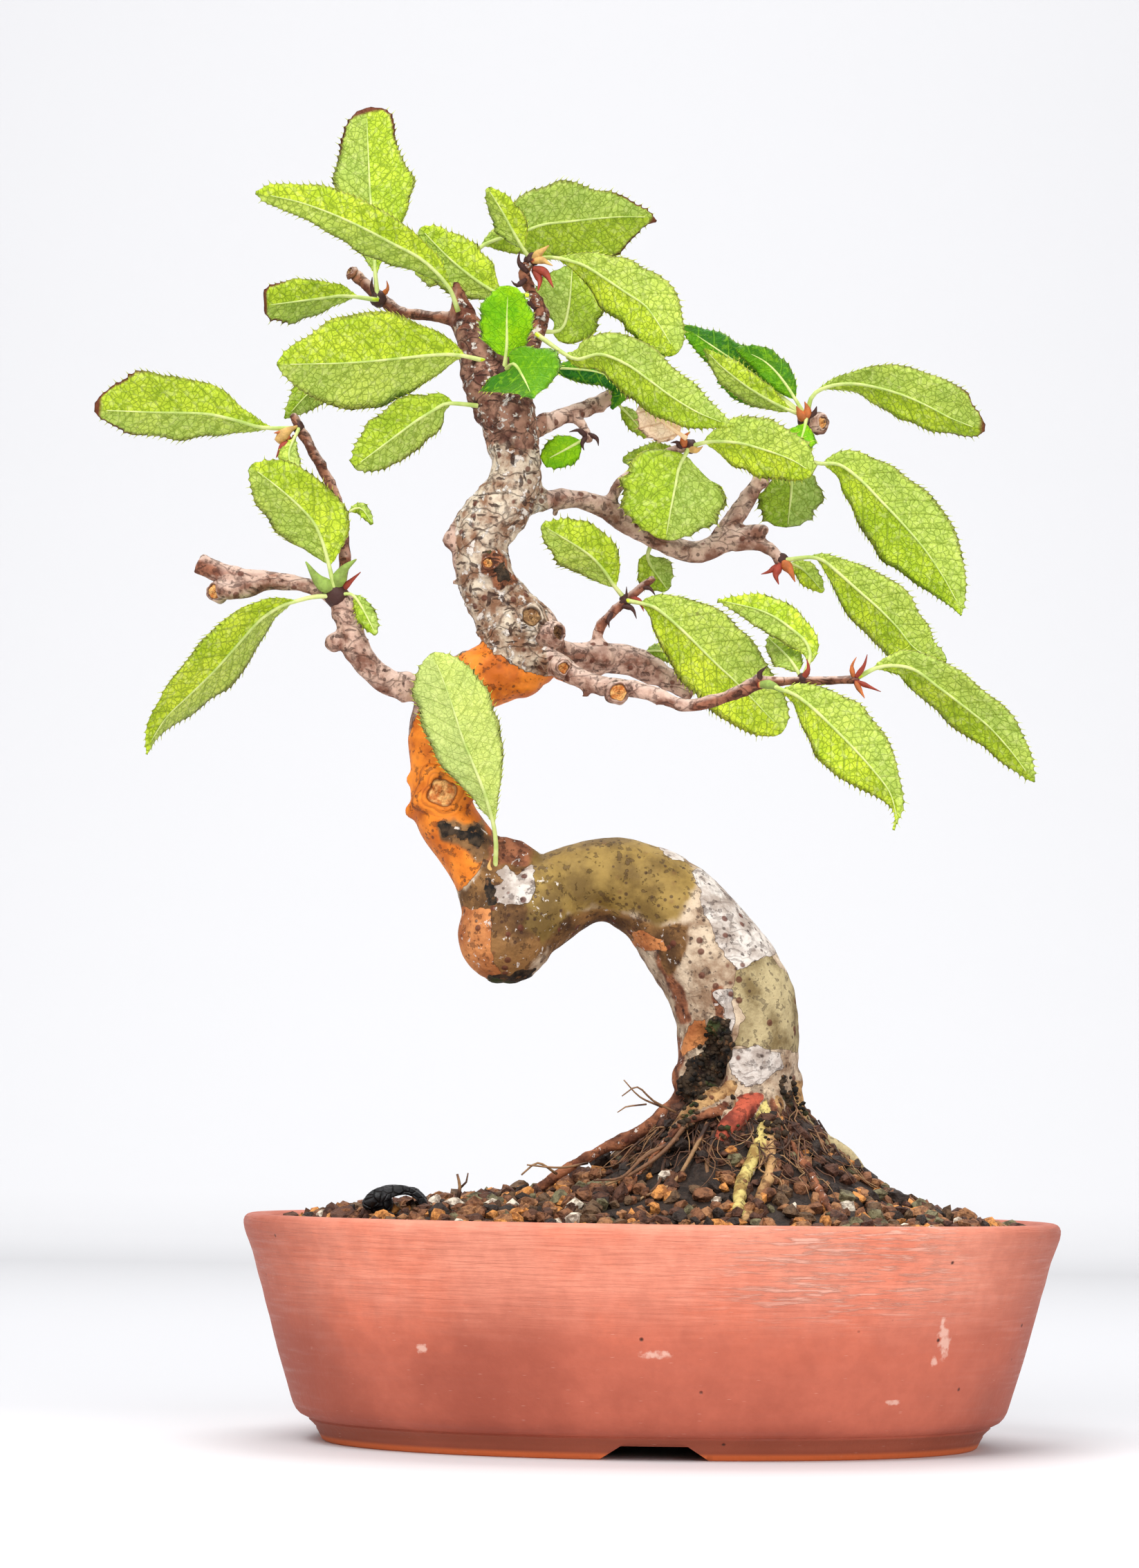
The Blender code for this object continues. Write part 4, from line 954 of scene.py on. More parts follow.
@dataclass(frozen=True)
class Patch:
    """Patch of one kind of bark, by its outline on the elevation in millimetres."""

    kind: Bark
    outline: tuple[Place, ...]
    soft: float = 0.4
    torn: float = 1.0

    @functools.cached_property
    def box(self) -> Row:
        """Least and greatest u, then v, of the outline with its ragged edge."""
        margin = 1.5 * self.torn + self.soft
        us, vs = zip(*self.outline)
        return min(us) - margin, max(us) + margin, min(vs) - margin, max(vs) + margin

    def near(self, u: float, v: float) -> bool:
        """Whether a place is in or close to the outline's box."""
        low_u, high_u, low_v, high_v = self.box
        return low_u < u < high_u and low_v < v < high_v

    def share(self, u: float, v: float, ragged: float) -> float:
        """How far a place belongs to the patch, from 0 to 1, with a ragged edge."""
        inside = False
        nearest = math.inf
        for (au, av), (bu, bv) in zip(self.outline, self.outline[1:] + self.outline[:1]):
            if (av > v) != (bv > v) and u < (bu - au) * (v - av) / (bv - av) + au:
                inside = not inside
            run_u, run_v = bu - au, bv - av
            t = min(max(((u - au) * run_u + (v - av) * run_v) / (run_u ** 2 + run_v ** 2), 0.0), 1.0)
            nearest = min(nearest, math.hypot(u - au - run_u * t, v - av - run_v * t))
        return smooth_step((nearest if inside else -nearest) + ragged * self.torn, -self.soft, self.soft)


@dataclass(frozen=True)
class Scar:
    """Scar or stub of a cut branch: place on the elevation, radius and how proud it stands.

    fresh is the share of orange on its face. A bare one has no swollen ring round it.
    """

    u: float
    v: float
    radius: float
    proud: float = 1.0
    fresh: float = 0.5
    lean: tuple[float, float, float] = (0.0, -0.6, 0.0)
    bare: bool = False


TRUNK_LOW: list[Row] = [
    (20, 56, 0, 16.0), (20, 66, 0, 15.0), (19.3, 74, 0, 14.0), (18.8, 81, 0, 13.6), (19.2, 89, 0, 13.5),
    (18.5, 97.5, 0, 13.6), (15.3, 105, 0.5, 13.0), (10.6, 111.5, 1, 12.4), (3.2, 120.3, 2, 11.2),
    (-2.5, 123.9, 2, 10.2), (-8, 125.9, 2, 9.6), (-14, 125.6, 1, 9.2), (-19.5, 123.2, 0, 9.4),
    (-25.5, 119.6, -2, 10.2), (-31, 116.4, -3.5, 10.2), (-34, 115.6, -4, 8.6),
]
TRUNK_NECK: list[Row] = [
    (-33, 116, -4, 8.8), (-34.8, 122, -3.5, 7.8), (-37.4, 128, -3, 7.0), (-41.2, 133.5, -2, 6.9),
    (-45, 139, -1, 7.0), (-46.4, 144.5, -0.5, 6.7), (-47.2, 151, 0, 6.2), (-47.8, 158, 0, 6.0),
    (-46, 164, 0.5, 6.3), (-41.7, 168.5, 1, 6.8), (-36, 171, 2, 7.2), (-30, 173.5, 3, 7.4),
    (-26, 176, 3, 7.8),
]
TRUNK_HIGH: list[Row] = [
    (-25.5, 174, 3, 7.6), (-28.5, 179.5, 3, 8.6), (-32.2, 184.7, 3, 7.6), (-35.3, 190, 2.5, 6.7),
    (-37.5, 196.2, 2, 6.4), (-37.3, 202.3, 1.5, 6.6), (-33.5, 207.3, 1, 6.8), (-30.4, 212.6, 1, 6.1),
    (-30, 218.8, 0.5, 5.7), (-31, 225.2, 0, 6.1), (-33.2, 231.7, 0, 6.7), (-36.5, 238.7, 0, 6.0),
    (-39, 245, 0.5, 4.2), (-41.5, 250, 1, 3.0),
]
BRANCHES: dict[str, list[Row]] = {
    "left": [(-44.5, 167.2, 0, 3.5), (-50.6, 167.9, -2, 2.9), (-56.7, 169, -4, 3.0), (-61.5, 172.2, -5, 2.9),
             (-65.2, 177.5, -6, 3.2), (-66.8, 183, -6, 2.9), (-69, 188.5, -6, 2.9)],
    "left_arm": [(-68, 187.5, -6, 2.6), (-75, 190.7, -6, 1.9), (-82.7, 191.9, -6.5, 2.1),
                 (-91, 192.3, -7, 2.6), (-100.1, 195.9, -8, 2.1)],
    "left_stub": [(-87, 191.5, -7, 2.2), (-91.5, 190, -8.5, 2.2), (-96, 189.6, -10, 2.0)],
    "left_shoot": [(-68.9, 187.5, -6, 1.5), (-67.7, 197.7, -5.5, 1.1), (-68.3, 205.4, -5, 1.1),
                   (-70.8, 213, -5, 1.05), (-75, 221, -5, 1.0), (-79, 228.3, -5, 0.85)],
    "right_low": [(-27, 177, 0, 3.0), (-20.5, 173.2, -6, 2.6), (-17, 171, -9, 2.2), (-10.8, 168.7, -12, 1.9),
                  (-3.2, 167.9, -15, 1.6), (2.9, 166, -17, 1.45), (7.5, 164.2, -18.5, 1.4),
                  (13.6, 165.3, -20, 1.25), (19.7, 167.5, -21.5, 1.25), (24.3, 169.5, -22, 1.3),
                  (33.5, 169.8, -23.5, 0.95), (45.4, 170, -25, 0.9)],
    "dead_stub": [(-26, 175, 5, 3.6), (-17, 175.3, 9, 3.1), (-10, 175, 12, 3.2), (-4.5, 174.3, 14, 3.4),
                  (1.4, 171.5, 16, 2.6), (5, 169.5, 17, 2.2), (8, 167, 17.5, 1.4)],
    "dead_stub_twig": [(-12.7, 174.5, 12, 1.2), (-11.2, 181.7, 10, 1.0), (-7.8, 185.5, 9, 1.0),
                       (-4, 188.9, 8.5, 0.9), (0.2, 192.2, 8, 0.8)],
    "right_high": [(-31, 207.8, 1, 2.7), (-23.8, 209.7, 4, 2.0), (-17, 210, 7, 2.0), (-10.8, 208.4, 10, 2.1),
                   (-5.5, 205.1, 12, 2.4), (1.4, 201.1, 14, 2.3), (9.5, 198.2, 15, 2.4), (15.1, 200, 15, 2.2),
                   (22, 202.3, 14, 2.0), (24.9, 203.1, 13.5, 1.2)],
    "right_high_tip": [(18, 201, 14.5, 1.7), (26.1, 199, 14, 1.3), (28.8, 195.9, 13.5, 1.4)],
    "right_high_rise": [(14.5, 200, 15, 2.3), (20, 207.7, 16, 2.1), (24.3, 214.2, 17, 1.9),
                        (30.4, 220.7, 18, 1.6), (34.2, 225.6, 18.5, 1.6), (38.5, 227.6, 19, 1.7)],
    "right_high_twig": [(-9.3, 207.5, 10, 1.4), (-8, 211.5, 9, 1.3), (-5.5, 214.5, 8, 1.3),
                        (-0.2, 217.9, 7, 1.25), (5.2, 220.7, 6, 1.2), (8.5, 221.8, 5.5, 1.1)],
    "right_top": [(-31, 223, 1, 2.4), (-26, 225.5, 5, 2.0), (-21.5, 227.5, 9, 1.9), (-13.9, 230.1, 14, 1.8),
                  (-8.6, 232.6, 17, 1.7), (-3.2, 234.1, 20, 1.4)],
    "right_top_stub": [(-12, 230.5, 15.2, 1.5), (-7, 234.5, 14, 1.3), (-2.4, 237, 13, 1.2)],
    "right_top_low": [(-17.5, 228.8, 12, 1.2), (-15, 226, 10.5, 1.0), (-14, 223.3, 9.5, 0.95)],
    "crown": [(-34.5, 236, 0, 2.4), (-28, 242.5, 4, 1.6), (-25, 246.5, 6, 1.5), (-24.3, 250.5, 6, 1.4),
              (-25.8, 255, 5, 1.3), (-28, 259.5, 4, 1.2), (-26.5, 262.8, 3, 1.2)],
    "crown_left": [(-39.5, 246, 1, 2.4), (-43, 249.5, 2, 1.6), (-50.6, 250.6, 5, 1.05),
                   (-55.9, 251.5, 7, 1.1), (-59.7, 254.3, 8, 1.2), (-63, 257.5, 9, 1.05),
                   (-66, 260.1, 10, 0.95)],
    "leader": [(-41, 248.5, 1, 2.8), (-42.3, 254, 1.5, 1.8), (-43.3, 258.5, 2, 1.3),
               (-44.8, 263.5, 2.5, 0.9)],
}
ROOTS: list[tuple[Bark, list[Row]]] = [
    (Bark.TAN, [(20, 86, -8, 2.2), (16, 79.5, -12, 2.0), (12.4, 76.6, -14, 1.8), (7.9, 73.2, -15, 1.7),
                (3, 66, -17, 1.4)]),
    (Bark.RED, [(28, 81, -7, 2.6), (24.5, 77.6, -11, 2.6), (20.5, 74, -14.5, 2.5), (17, 70.8, -17, 2.2),
                (14.8, 68, -16, 1.2)]),
    (Bark.LIME, [(25.5, 75, -13, 1.5), (24.8, 70.7, -16, 1.5), (22.4, 64, -20, 1.5), (19.8, 57.6, -24, 1.4),
                 (19, 52, -26, 1.2)]),
    (Bark.TAN, [(27.5, 76, -11, 1.4), (26.9, 70, -16, 1.25), (26.3, 62, -21, 1.2), (24.8, 57, -25, 1.2),
                (20.6, 50, -29, 1.0)]),
    (Bark.UMBER, [(26, 76.4, -12, 1.0), (29, 70.6, -16, 0.9), (32.3, 65.7, -19, 0.9), (36, 59.4, -24, 0.9),
                  (40.5, 51, -29, 0.8)]),
    (Bark.TAN, [(30.4, 82, -2, 2.4), (32.2, 76, -4, 1.9), (33.4, 71, -4.5, 1.7), (35.6, 68, -4, 1.4)]),
    (Bark.SAGE, [(33, 73, -3, 1.6), (37.6, 68.4, -3, 2.1), (42.5, 65.2, -2, 1.9), (47.5, 60, 0, 1.3)]),
    (Bark.UMBER, [(10, 80, -3, 2.8), (4.6, 75, -4.5, 2.1), (-3.8, 69.2, -6, 1.5), (-10.8, 66.1, -7.5, 1.3),
                  (-17.9, 62.4, -8.5, 1.1), (-25, 57.5, -9, 0.9)]),
    (Bark.UMBER, [(16, 75.5, -13, 1.0), (14.8, 74.5, -16, 0.85), (9.8, 72.9, -17.5, 0.8),
                  (5.3, 70.1, -18, 0.8), (1, 65.1, -20, 0.75), (-2.6, 60.6, -22, 0.7), (-6, 56, -22, 0.6)]),
    (Bark.UMBER, [(13, 80, 8, 3.0), (7, 70.5, 17, 2.2), (1, 61, 26, 1.5), (-3, 55, 31, 1.2)]),
    (Bark.TAN, [(23, 80, 9, 3.2), (27, 70, 18, 2.4), (31, 60, 27, 1.7), (34, 53, 33, 1.3)]),
    (Bark.UMBER, [(28, 80, 4, 2.8), (36, 70, 9, 2.1), (45, 62.5, 14, 1.4), (52, 54, 18, 1.0)]),
]
KNOTS: list[tuple[float, float, float, float, float]] = [
    (-46, 145, -5.6, 4.0, 0.55), (-28.8, 171.3, 2, 5.7, 1.0), (-25.4, 173.2, 2, 5.0, 1.0),
    (-35.5, 195.4, -4.2, 3.0, 0.7), (-26.4, 184, -3.6, 2.6, 0.9), (-21.6, 180.3, -2.5, 2.8, 1.0),
    (-20, 173.2, -8, 2.6, 1.0), (-43.8, 201.0, 0.5, 2.4, 1.0), (-52.6, 141, 0, 1.9, 1.0),
    (-52.4, 148, 0, 1.9, 1.0), (-70, 178.4, -6, 2.2, 1.0), (-7.3, 167.7, -14, 2.1, 1.0),
    (-36, 108.8, -4, 3.2, 1.0), (30.6, 81.5, 0, 3.0, 1.0), (-34.6, 130.8, -3, 4.4, 0.9),
    (-32.4, 130.9, -3, 4.3, 0.9), (-30.4, 130.4, -3, 4.1, 0.9), (-28.5, 129.7, -3, 3.8, 0.9),
    (-26.7, 129.0, -3, 3.4, 0.9), (-25.0, 128.3, -3, 3.0, 0.9), (-33.0, 193.0, -4.4, 2.4, 0.8),
    (-31.9, 113.9, -4, 11.0, 0.95), (9, 82, -6, 4.6, 1.0), (26, 216.5, 16.5, 2.3, 1.0),
    (-44.0, 203.8, 0, 0.8, 1.0), (-41.0, 206.4, 0, 0.8, 1.0), (-43.4, 191.6, 0, 0.7, 1.0),
    (-40.6, 186.6, 0, 0.8, 1.0), (-38.6, 183.2, 0, 0.8, 1.0), (-37.8, 180.2, 0, 1.0, 1.0),
    (-21.2, 206.8, 7, 1.0, 1.0), (-14.4, 166.6, -10, 0.8, 1.0),
]
PATCHES: list[Patch] = [
    Patch(Bark.OCHRE, ((-42, 123), (-38.6, 127), (-36.8, 129.4), (-31, 128.8), (-24, 127.6), (-20, 126),
                       (-21, 118), (-23, 110), (-30, 102), (-42, 102), (-44, 116)), 1.2),
    Patch(Bark.UMBER, ((-37, 132), (-35, 137.4), (-29, 136.6), (-23.4, 132), (-23, 127.6), (-30, 128.4),
                       (-36, 129)), 1.0),
    Patch(Bark.OLIVE, ((-26, 136), (-6, 137), (2, 134), (8, 130), (10.3, 126), (9, 121.5), (5.8, 117.6),
                       (1.7, 115.4), (-3, 117.6), (-11, 119.6), (-18, 118), (-24, 112), (-28, 116),
                       (-26.6, 125)), 1.6),
    Patch(Bark.OCHRE, ((-20, 118.6), (-11, 119.6), (-3, 118), (2.5, 115), (-3, 112), (-12, 112), (-22, 109.5),
                       (-25, 113)), 1.3),
    Patch(Bark.UMBER, ((-5, 112), (0.4, 109.5), (4.8, 101), (6.4, 94), (9, 94.6), (7.6, 101), (3, 108.6),
                       (-1, 113.4)), 0.8),
    Patch(Bark.UMBER, ((13.6, 101.4), (15.6, 102), (16.6, 96), (15.4, 93.6), (14.2, 96)), 0.6),
    Patch(Bark.WHITE, ((-34.4, 127.6), (-32, 128.6), (-30.2, 126.4), (-26.1, 128.6), (-25.5, 124),
                       (-27.2, 121), (-31.6, 120), (-35, 121), (-37, 120.3), (-35.2, 123.7), (-32.6, 125.4))),
    Patch(Bark.DARK, ((-37.4, 126.4), (-35.8, 126.8), (-35, 123.6), (-34.4, 120.4), (-36, 120), (-36.6, 123)),
          0.4, 1.4),
    Patch(Bark.WHITE, ((0, 136), (5, 135), (8, 130.4), (4.6, 129.6), (2.4, 131.6))),
    Patch(Bark.WHITE, ((9, 127.6), (14, 129), (21, 121), (28, 110), (24, 108), (19.2, 106.2), (16.4, 108.4),
                       (14.4, 113.6), (11.6, 118), (10.8, 123.4))),
    Patch(Bark.SAGE, ((20.8, 107.2), (26, 109.4), (33, 102), (36, 96), (35, 87.6), (27.6, 88.2), (23.6, 87.4),
                       (18.6, 89.2), (20.4, 95.3), (17.6, 100.6), (18.6, 104.9)), 0.5),
    Patch(Bark.WHITE, ((18, 88.4), (22.6, 89.4), (28.4, 87.6), (29.2, 84.4), (26.3, 81.6), (21, 80.4),
                       (17.8, 83), (16.8, 86))),
    Patch(Bark.WHITE, ((14, 100.8), (18.2, 101.6), (18.8, 96), (17.4, 89.6), (15.9, 92), (16.2, 97)), 0.7),
    Patch(Bark.OCHRE, ((-1.4, 115), (3, 115.6), (8.6, 116), (7, 108), (4.4, 104.4), (1.7, 109)), 0.8),
    Patch(Bark.RUST, ((-4, 115), (0.1, 113.7), (2.9, 112.5), (3, 110.4), (0.1, 109.6), (-4, 111.6))),
    Patch(Bark.RUST, ((9.4, 95), (12.4, 95.2), (11.6, 91.8), (8.9, 87.8), (6.8, 86.4), (6.2, 88.2),
                      (8, 91.8))),
    Patch(Bark.RUST, ((-45, 119.6), (-35.2, 119.5), (-35.2, 110.3), (-32.8, 104.6), (-39, 103), (-45, 110))),
    Patch(Bark.ORANGE, ((-51.4, 163.6), (-48, 166.5), (-40.5, 162), (-38, 150), (-34, 142), (-33, 137.4),
                        (-37, 131.5), (-38.4, 127), (-41, 124.4), (-47, 122), (-60, 138)), 0.7),
    Patch(Bark.ORANGE, ((-48, 166), (-47, 174), (-42.4, 175.4), (-38.8, 178), (-36.9, 178.6), (-34.9, 176.2),
                        (-31.6, 174.6), (-27.6, 172.2), (-23.2, 171), (-19.4, 169.6), (-22, 162),
                        (-38, 158))),
    Patch(Bark.OCHRE, ((-47, 138.1), (-43.2, 139.4), (-40.6, 138.4), (-37.3, 138.6), (-35.4, 134.9),
                       (-36.1, 130.4), (-38.6, 129.8), (-42.2, 133), (-45.9, 135)), 0.9),
    Patch(Bark.DARK, ((-46.6, 138.4), (-43.4, 137.6), (-40.4, 136.2), (-41.4, 134.4), (-44.4, 135.8)),
          0.5, 2.0),
    Patch(Bark.DARK, ((-40.6, 137.4), (-38.4, 137.4), (-36.8, 133.4), (-37.8, 131.6), (-39.6, 133.4)),
          0.6, 2.2),
    Patch(Bark.WHITE, ((-44.2, 137.6), (-42.6, 138.4), (-41.4, 136.2), (-43, 135.4)), 0.5),
    Patch(Bark.DARK, ((12.6, 95.8), (17.4, 94.8), (17.6, 86.4), (14.6, 81.2), (11, 76), (9, 72), (5.4, 72),
                      (6.2, 77), (6.8, 82.4), (9.2, 87.6), (11.8, 91.4)), 0.4, 1.6),
    Patch(Bark.UMBER, ((2.6, 92), (6.6, 91), (7.6, 87), (6, 82), (5.6, 74), (2.6, 74)), 0.7),
    Patch(Bark.UMBER, ((-37.8, 198), (-33.6, 198.6), (-31.2, 195.6), (-30.4, 192.2), (-33, 190),
                       (-36.2, 191.8)),
          0.8, 2.0),
    Patch(Bark.DARK, ((-34.4, 194.2), (-32.6, 194.6), (-32, 192.6), (-33.4, 191.6)), 0.4, 1.8),
    Patch(Bark.DARK, ((-38, 198.4), (-35, 198.6), (-35.4, 197.8), (-37.6, 197.2)), 0.3, 1.4),
    Patch(Bark.DARK, ((28.4, 83.4), (31.6, 82), (34, 74), (31, 72), (29, 77)), 0.6),
    Patch(Bark.DARK, ((-36, 105.2), (-31, 104.6), (-25.4, 106.6), (-27, 100), (-36, 100)), 0.8),
]
SCARS: list[Scar] = [
    Scar(-46.0, 145.0, 4.4, 1.5, 0.8), Scar(-36.0, 195.8, 1.5, 0.8, 1.0, bare=True),
    Scar(-26.6, 183.6, 3.0, 2.3, 0.0, (0.1, -0.8, 0.4)),
    Scar(-21.4, 180.2, 2.3, 2.6, 0.0, (0.9, -0.5, 0.3)), Scar(-19.5, 172.7, 1.7, 1.8, 1.0, (0.4, -0.8, -0.1)),
    Scar(-7.2, 167.2, 2.6, 0.9, 1.0, (0.1, -0.9, 0.0), bare=True),
    Scar(-96.2, 189.5, 2.4, 1.0, 1.0, (-0.3, -0.9, 0.0), bare=True),
    Scar(-100.2, 196.3, 2.0, 1.0, 0.2, (-0.8, -0.4, 0.3)), Scar(37.6, 226.8, 1.8, 1.2, 0.6, (0.6, -0.7, 0.2)),
    Scar(-66.4, 260.2, 1.1, 0.6, 0.2, (-0.7, -0.5, 0.6)),
]


@dataclass(frozen=True)
class BarkFinish(Finish):
    """Bark that peels in patches of many colours, as this tree's does."""

    name: str = "quince_bark"
    roughness: float = 0.75
    specular: float = 0.3
    plain: Pair = (tone(146, 116, 90), tone(216, 194, 166))
    olive: Pair = (tone(112, 86, 36), tone(162, 132, 66))
    sage: Pair = (tone(122, 102, 64), tone(194, 176, 132))
    rust: Pair = (tone(158, 88, 44), tone(214, 140, 82))
    ochre: Pair = (tone(84, 56, 30), tone(148, 106, 60))
    white: Pair = (tone(170, 154, 142), tone(226, 216, 206))
    orange: Pair = (tone(194, 96, 12), tone(246, 142, 38))
    flake: Pair = (tone(138, 98, 72), tone(220, 202, 178))
    crust: Pair = (tone(92, 54, 42), tone(168, 124, 102))
    twig: Pair = (tone(132, 88, 70), tone(212, 176, 156))
    shoot: Pair = (tone(100, 54, 40), tone(164, 106, 80))
    tan: Pair = (tone(124, 84, 50), tone(204, 162, 108))
    umber: Pair = (tone(96, 54, 36), tone(166, 104, 70))
    red: Pair = (tone(116, 50, 38), tone(198, 92, 66))
    lime: Pair = (tone(150, 118, 62), tone(222, 202, 122))
    dark: Pair = (tone(12, 10, 8), tone(70, 54, 38))
    cut: Pair = (tone(204, 112, 42), tone(255, 196, 120))
    # dark of the cracks, also used as painted shade in creases and grooves
    crack: Tone = tone(54, 28, 20)
    fleck: Tone = tone(236, 226, 216)
    lit: Tone = tone(224, 196, 180)
    moss: Tone = tone(58, 66, 30)
    dot: Tone = tone(104, 54, 38)
    sharp_edge: float = 0.1
    soft_edge: float = 0.42

    def draw(self, board: Board) -> None:
        """Lay one kind of bark over the other by the wood's masks, with painted light on the tops of the twigs, then
        dots, cracks, painted shade in creases and grooves, and relief.
        """
        plain = board.plain()
        shift = board.times(board.sums("SUBTRACT", board.noise(plain, 330.0, 4.0)[0], 0.5), 0.8)
        masks = {}
        for kind in Bark:
            half = self.soft_edge if kind in (Bark.OLIVE, Bark.OCHRE, Bark.UMBER) else self.sharp_edge
            masks[kind] = board.ramp(board.total(board.attribute(kind.value), shift), 0.5 - half, 0.5 + half)

        def cloud(pair: Pair, scale: float) -> Socket:
            """Clouds of a kind's two tones."""
            return board.clouds(plain, scale, 0.36, 0.64, *pair)[0]

        peeled = (masks[kind] for kind in (Bark.ORANGE, Bark.OLIVE, Bark.OCHRE, Bark.SAGE, Bark.RUST))
        bare = board.rest(board.most(*peeled))
        scaly = board.times(bare, board.most(masks[Bark.FLAKE], masks[Bark.CRUST]))
        drift = board.vectors("SUBTRACT", board.noise(plain, 190.0, 3.0)[1], (0.5, 0.5, 0.5))
        moved = board.add("ShaderNodeVectorMath", {0: drift, "Scale": 0.0045}, operation="SCALE").outputs[0]
        warped = board.vectors("ADD", plain, moved)

        def dashes(stretch: tuple[float, ...], scale: float, amount: float) -> Socket:
            """Mask of short cracks, longer on the axis that is stretched least."""
            dash = board.specks(board.mapped(warped, stretch), scale, 0.36, amount)
            return board.sums("MINIMUM", board.times(dash, 5.0), 1.0)

        split = board.cells(board.mapped(warped, (1.0, 1.0, 1.7)), 120.0, 0.04)
        cracks = board.most(dashes((1.0, 1.0, 4.4), 260.0, 0.3), dashes((3.4, 3.4, 0.9), 220.0, 0.16),
                            board.times(split, 0.7))
        fine = board.mottle(plain, 560.0, 0.57, 0.62)
        flecks = board.times(board.mottle(plain, 440.0, 0.56, 0.6), scaly)
        # painted light: the lit tone lightens the twigs' faces that point up, as though lit from above
        _, _, up = board.parts(board.add("ShaderNodeNewGeometry").outputs["Normal"])
        colour = board.covered(
            cloud(self.plain, 190.0), (cloud(self.twig, 260.0), masks[Bark.TWIG]),
            (cloud(self.flake, 230.0), masks[Bark.FLAKE]), (cloud(self.crust, 260.0), masks[Bark.CRUST]),
            (cloud(self.shoot, 300.0), masks[Bark.SHOOT]),
            (self.lit, board.ramp(up, -0.1, 0.9), masks[Bark.TWIG], 0.8), (self.fleck, flecks, 0.8))
        for kind, pair, scale, outlined in (
                (Bark.ORANGE, self.orange, 120.0, True), (Bark.UMBER, self.umber, 260.0, False),
                (Bark.OCHRE, self.ochre, 130.0, False), (Bark.OLIVE, self.olive, 110.0, False),
                (Bark.SAGE, self.sage, 140.0, True), (Bark.RUST, self.rust, 120.0, True),
                (Bark.WHITE, self.white, 240.0, True), (Bark.TAN, self.tan, 260.0, False),
                (Bark.RED, self.red, 260.0, False), (Bark.LIME, self.lime, 300.0, False)):
            colour = board.covered(colour, (cloud(pair, scale), masks[kind]))
            if outlined:
                colour = board.covered(colour, (self.crack, masks[kind], board.rest(masks[kind]), 3.2))
        smooth = board.most(masks[Bark.ORANGE], masks[Bark.OLIVE])
        dashed = board.most(scaly, board.times(masks[Bark.WHITE], 0.34), board.times(masks[Bark.TWIG], 0.7))
        cracked = board.times(cracks, board.total(board.times(dashed, 0.74), 0.1),
                              board.total(board.times(bare, 0.94), 0.06))
        scuffed = board.most(masks[Bark.UMBER], masks[Bark.OCHRE])
        calm = board.rest(board.times(smooth, 0.85))
        dotted = board.times(board.specks(plain, 330.0, 0.28, 0.42), 3.0, calm)
        pricks = board.times(board.specks(plain, 700.0, 0.34, 0.16), 2.4)
        mossy = board.clouds(plain, 150.0, 0.55, 0.66, cloud(self.dark, 420.0), self.moss)[0]
        crumbs = board.covered(mossy, (self.tan[0], board.mottle(plain, 620.0, 0.58, 0.64), 0.6))
        # the last layer here is painted shade: the crack tone darkens the creases and the grooves of scars
        colour = board.covered(
            colour, (self.crack, cracked), (self.crack, fine, 0.5),
            (self.white[1], board.mottle(plain, 640.0, 0.62, 0.66), scuffed, 0.8),
            (self.dot, board.sums("MINIMUM", dotted, 0.85)), (self.crack, board.sums("MINIMUM", pricks, 0.7)),
            (crumbs, masks[Bark.DARK]), (cloud(self.cut, 600.0), masks[Bark.CUT]),
            (self.crack, board.attribute(Bark.GROOVE.value), 0.75))
        board.finish(Base_Color=colour, Roughness=board.ramp(smooth, 0.0, 1.0, 0.8, 0.55))
        rough = board.times(board.noise(plain, 800.0, 5.0)[0], board.rest(board.times(smooth, 0.7)))
        raised = board.total(
            rough, board.times(cracked, -0.9), board.times(fine, -0.3), board.times(masks[Bark.WHITE], 0.3),
            board.times(flecks, 0.3), board.times(dotted, 0.4))
        board.relief(raised, 0.0006, 0.85)


